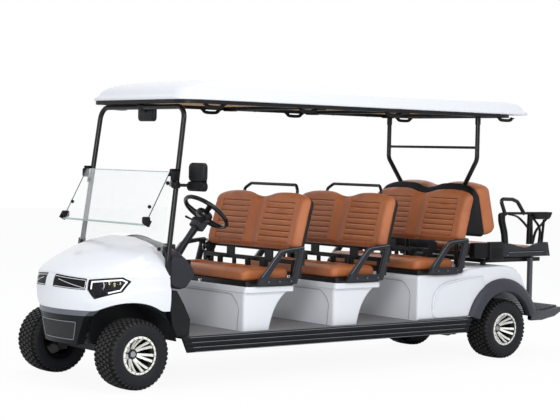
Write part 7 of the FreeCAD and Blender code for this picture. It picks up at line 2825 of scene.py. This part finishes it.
    def mirrors(self) -> None:
        """Side mirror of two stacked rounded parts on its stalk, and the mirror under the roof."""
        kit = Kit("mirror", ROOT, ("mirrors",), 45.0)
        for y0, y1, z0, z1, finish in ((0.634, 0.822, 1.462, 1.598, "black_trim"),
                                       (0.612, 0.828, 1.396, 1.466, "soft_black")):
            middle = ((y0 + y1) / 2, (z0 + z1) / 2)
            half = ((y1 - y0) / 2, (z1 - z0) / 2)
            rows = []
            for x, share in ((1.408, 0.93), (1.411, 0.985), (1.418, 1.0), (1.436, 0.985), (1.446, 0.93), (1.4515, 0.80),
                             (1.452, 0.60)):
                plan = rounded_rect(2 * half[0] * share, 2 * half[1] * share, 0.034 * share, 8)
                rows.append(np.column_stack([np.full(len(plan), x), plan[:, 0] + middle[0], plan[:, 1] + middle[1]]))
            kit.grid(finish, np.stack(rows))
        for z in (1.410, 1.424, 1.438, 1.452):
            kit.block("grey_trim", (1.4485, 0.728, z), (0.006, 0.150, 0.004), 0.0015)
        glass = yz_slab(rounded_polygon([(0.645, 1.408), (0.811, 1.408), (0.811, 1.588), (0.645, 1.588)], 0.026, 7),
                        1.4062, 1.4095, 0.001, 3)
        kit.grid("mirror_face", glass)
        stalk = [(x, y, self.stalk_z) for x, y in ((1.500, 0.572), (1.470, 0.600), (1.430, 0.650))]
        kit.tube("black_trim", stalk, 0.0115, 0.03)
        kit.block("black_trim", (1.507, 0.572, self.stalk_z), (0.052, 0.052, 0.046), 0.010)
        rows = []
        for x, share in ((1.3645, 0.90), (1.3660, 0.97), (1.3700, 1.0), (1.3850, 0.98), (1.3925, 0.90), (1.3955, 0.72)):
            plan = rounded_rect(0.224 * share, 0.112 * share, 0.030 * share, 8)
            rows.append(np.column_stack([np.full(len(plan), x), plan[:, 0], plan[:, 1] + 1.948]))
        kit.grid("black_trim", np.stack(rows))
        face = yz_slab(rounded_polygon([(-0.102, 1.902), (0.102, 1.902), (0.102, 1.994), (-0.102, 1.994)], 0.022, 6),
                       1.3641, 1.3662, 0.0008, 3)
        kit.grid("mirror_face", face)
        kit.tube("black_trim", [(1.385, 0.0, 1.952), (1.420, 0.0, 1.990)], 0.0085)
        kit.block("black_trim", (1.424, 0.0, 1.996), (0.050, 0.060, 0.044), 0.012)
        kit.build()

    def screen(self) -> None:
        """Edges, side channels, knobs and rubber blocks of the windscreen; the folded pane's own move with it."""
        slope = math.radians(61.7)
        along = np.array([math.cos(slope), 0.0, -math.sin(slope)])
        hinge = np.array([1.5405, 0.0, 1.540])
        fold = Kit("screen_fold", "windscreen_upper", (), 40.0)
        start, length = 0.012, 0.430
        for side in (1, -1):
            path = np.stack([hinge + along * (start + length * s) + np.array([0, side * 0.5535, 0]) for s in
                             np.linspace(0.004, 0.996, 8)])
            fold.grid("black_trim", sweep(path, rounded_rect(0.0045, 0.0085, 0.0015, 3), (0, 1, 0)))
            knob = hinge + along * 0.300 + np.array([0, side * 0.520, 0])
            knob_path = np.stack([knob + np.array([s * math.sin(slope), 0, s * math.cos(slope)])
                                  for s in (0.0, 0.004, 0.016, 0.020)])
            fold.grid("soft_black", sweep(knob_path, circle(0.0125, 14), (0, 1, 0), False,
                                          np.array([0.7, 1.0, 1.0, 0.75])))
        tip = hinge + along * (start + length - 0.0015)
        path = np.stack([tip + np.array([0, y, 0]) for y in np.linspace(-0.554, 0.554, 10)])
        fold.grid("screen_edge", sweep(path, rounded_rect(0.0060, 0.0090, 0.002, 3), (0, 0, 1)))
        fold.grid("line_grey", sweep(path - along * 0.008, rounded_rect(0.0062, 0.0025, 0.001, 3), (0, 0, 1)))
        for side in (1, -1):
            spot = tip - along * 0.040 + np.array([0.004, side * 0.545, 0.0])
            fold.block("soft_black", tuple(spot), (0.046, 0.050, 0.048), 0.010)
        fold.build()
        fixed = Kit("screen_fixed", ROOT, (), 40.0)
        top = np.stack([np.array([1.5265, y, 1.5278]) for y in np.linspace(-0.555, 0.555, 10)])
        fixed.grid("screen_edge", sweep(top, rounded_rect(0.0066, 0.0075, 0.002, 3), (0, 0, 1)))
        for side in (1, -1):
            fixed.block("soft_black", (1.533, side * 0.590, 1.500), (0.050, 0.036, 0.066), 0.010)
        for z in (0.981, 1.448):
            x = 1.5245 + (1.540 - z) * 0.1325
            knob = np.array([(x - 0.004, 0.0), (x - 0.004, 0.014), (x + 0.010, 0.014), (x + 0.014, 0.010),
                             (x + 0.014, 0.0)])
            fixed.grid("soft_black", lathe(knob, (0, 0.520, z), "x", 18), caps=False, both=True)
        fixed.build()

    def pedals(self) -> None:
        """Ribbed rubber faces on the two pedals."""
        kit = Kit("pedal_pads", ROOT, (), 40.0)
        lean = math.radians(30.0)
        normal = np.array([-math.cos(lean), 0.0, math.sin(lean)])
        up = np.array([math.sin(lean), 0.0, math.cos(lean)])
        for y in (0.240, 0.360):
            base = np.array([1.440, y, 0.520]) + normal * 0.0075
            for k in range(6):
                spot = base + up * (-0.042 + 0.0168 * k)
                path = np.stack([spot + np.array([0, s, 0]) for s in (-0.040, 0.040)])
                kit.grid("rubber_trim", sweep(path, rounded_rect(0.008, 0.006, 0.002, 3), tuple(normal)))
        kit.build()

    def build(self) -> None:
        """Makes the cabin's pieces."""
        self.dash()
        self.column()
        self.wheel()
        self.mirrors()
        self.screen()
        self.pedals()


@dataclass
class Canopy:
    """Roof shell, its trim and the handles under its edges."""

    front: float = 1.4995
    rear: float = -2.1095
    half: float = 0.6545
    lip: float = 2.0455
    handle_x: tuple = (1.215, 0.345, -0.525, -1.790)
    handle_y: float = 0.619
    handle_loop: tuple = ((0.078, 2.0200), (0.072, 2.008), (0.050, 1.998), (0.0, 1.9955), (-0.050, 1.998),
                          (-0.072, 2.008), (-0.078, 2.0200))

    def ring(self, away: float, z: float, corner: float) -> Array:
        """Rounded plan of the roof, drawn in by a distance, at one height."""
        plan = rounded_rect(self.front - self.rear - 2 * away, 2 * (self.half - away), max(corner, 0.02), 12)
        return np.column_stack([plan[:, 0] + (self.front + self.rear) / 2, plan[:, 1], np.full(len(plan), z)])

    def roof(self) -> None:
        """White shell: a rolled lip, a shoulder and a shallow dome, closed below by its inner face."""
        shape = [(0.026, 2.0460, 0.130), (0.006, 2.0462, 0.146), (0.0015, 2.0490, 0.150), (0.000, 2.0550, 0.150),
                 (0.0015, 2.0640, 0.150), (0.007, 2.0705, 0.150), (0.016, 2.0750, 0.150), (0.024, 2.0850, 0.152),
                 (0.033, 2.1050, 0.156), (0.047, 2.1260, 0.160), (0.075, 2.1470, 0.170), (0.115, 2.1640, 0.180),
                 (0.170, 2.1780, 0.185), (0.240, 2.1900, 0.190), (0.330, 2.2000, 0.180), (0.440, 2.2060, 0.130),
                 (0.560, 2.2085, 0.070)]
        outer = [self.ring(*row) for row in shape]
        inner = [self.ring(away + 0.010, z - 0.010, corner) for away, z, corner in shape[:6:-1]]
        inner.append(self.ring(0.048, 2.0500, 0.125))
        patch = Patch()
        patch.grid(np.stack(outer), False, True, False)
        patch.grid(np.stack(inner), False, True, False)
        for rim in (outer[-1], inner[0]):
            patch.add(rim, [list(range(len(rim)))])
        n = len(outer[0])
        joint = np.concatenate([outer[0], inner[-1]])
        patch.add(joint, [list(f) for f in grid_faces(2, n, False, True)])
        roof = patch.build("roof_shell", 40.0)
        place(roof, "white_body", ROOT, ("roof",))

    def handles(self) -> None:
        """Eight grab handles under the edges, each a flattened loop on two feet."""
        kit = Kit("roof_handle", ROOT, (), 50.0)
        for x in self.handle_x:
            path = curve_through([(x + along, self.handle_y, z) for along, z in self.handle_loop], 28)
            kit.grid("soft_black", sweep(path, rounded_rect(0.026, 0.0125, 0.004, 4), (0, 1, 0)), both=True)
            for foot in (-0.078, 0.078):
                kit.block("soft_black", (x + foot, self.handle_y, 2.0150), (0.030, 0.030, 0.010), 0.003, True)
        kit.build()

    def trim(self) -> None:
        """Screws on the edge frame and the bows' clips."""
        kit = Kit("roof_trim", ROOT, (), 40.0)
        for x in (1.10, 0.78, -0.10, -0.95, -1.35):
            kit.bolt("motor_metal", (x, 0.612, 2.0185), "z", 0.006, -0.0035, True)
        for x in (-1.546, -0.676, 0.194):
            kit.block("black_trim", (x, 0.560, 2.0160), (0.074, 0.090, 0.010), 0.003, True)
        kit.build()

    def build(self) -> None:
        """Makes the canopy."""
        self.roof()
        self.handles()
        self.trim()


NODE_FINISH = {
    "chassis_frame": "frame_steel", "floor_pan": "floor_mat", "running_boards": "black_trim",
    "front_cowl": "white_body", "nose_strip": "gloss_black", "headlamps": "gloss_black",
    "bumper_band": "band_grey", "front_bumper": "black_trim", "front_arch_liners": "black_trim",
    "rear_arch_liners": "black_trim", "dash": "dark_grey_trim", "steering_column": "grey_trim",
    "front_hoop": "frame_black", "rear_roof_frame": "frame_black", "roof": "white_body",
    "roof_edge_frame": "black_trim", "headliner": "headliner_tan", "windscreen_lower": "clear_sheet",
    "windscreen_upper": "clear_sheet", "windscreen_clips": "rubber_trim", "mirrors": "black_trim",
    "front_axle": "frame_steel", "knuckle_left": "frame_steel", "knuckle_right": "frame_steel",
    "track_rod": "frame_steel", "leaf_springs": "frame_steel", "rear_axle": "frame_steel",
    "drive_motor": "motor_metal", "battery_pack": "battery_case", "steering_wheel": "soft_black",
    "seat_pods": "white_body", "rear_body": "white_body", "fender_flares": "flare_grey",
    "seat_frames": "frame_black", "seat_backs": "tan_leather", "seat_back_shells": "black_trim",
    "hip_restraints": "dark_grey_trim", "seat_cushion_front": "tan_leather", "seat_cushion_middle": "tan_leather",
    "seat_cushion_rear": "tan_leather", "rear_facing_cushion": "tan_leather", "rear_deck": "frame_black",
    "rear_armrests": "black_trim", "rear_step": "grey_trim",
}


def paint_nodes() -> None:
    """Gives every CAD node its finish."""
    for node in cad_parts:
        finish = NODE_FINISH.get(node, "tyre" if node.startswith("tyre") else "alloy")
        repaint(node, finish)


def main() -> None:
    """Builds the studio and every sub-assembly in order."""
    logging.basicConfig(level=logging.INFO, format="%(name)s: %(message)s")
    paint_nodes()
    Studio().build()
    Nose().build()
    Seats().build()
    SeatHardware().build()
    Bodywork().build()
    RearEnd().build()
    Cabin().build()
    Canopy().build()
    build_wheels()


if __name__ == "__main__":
    main()
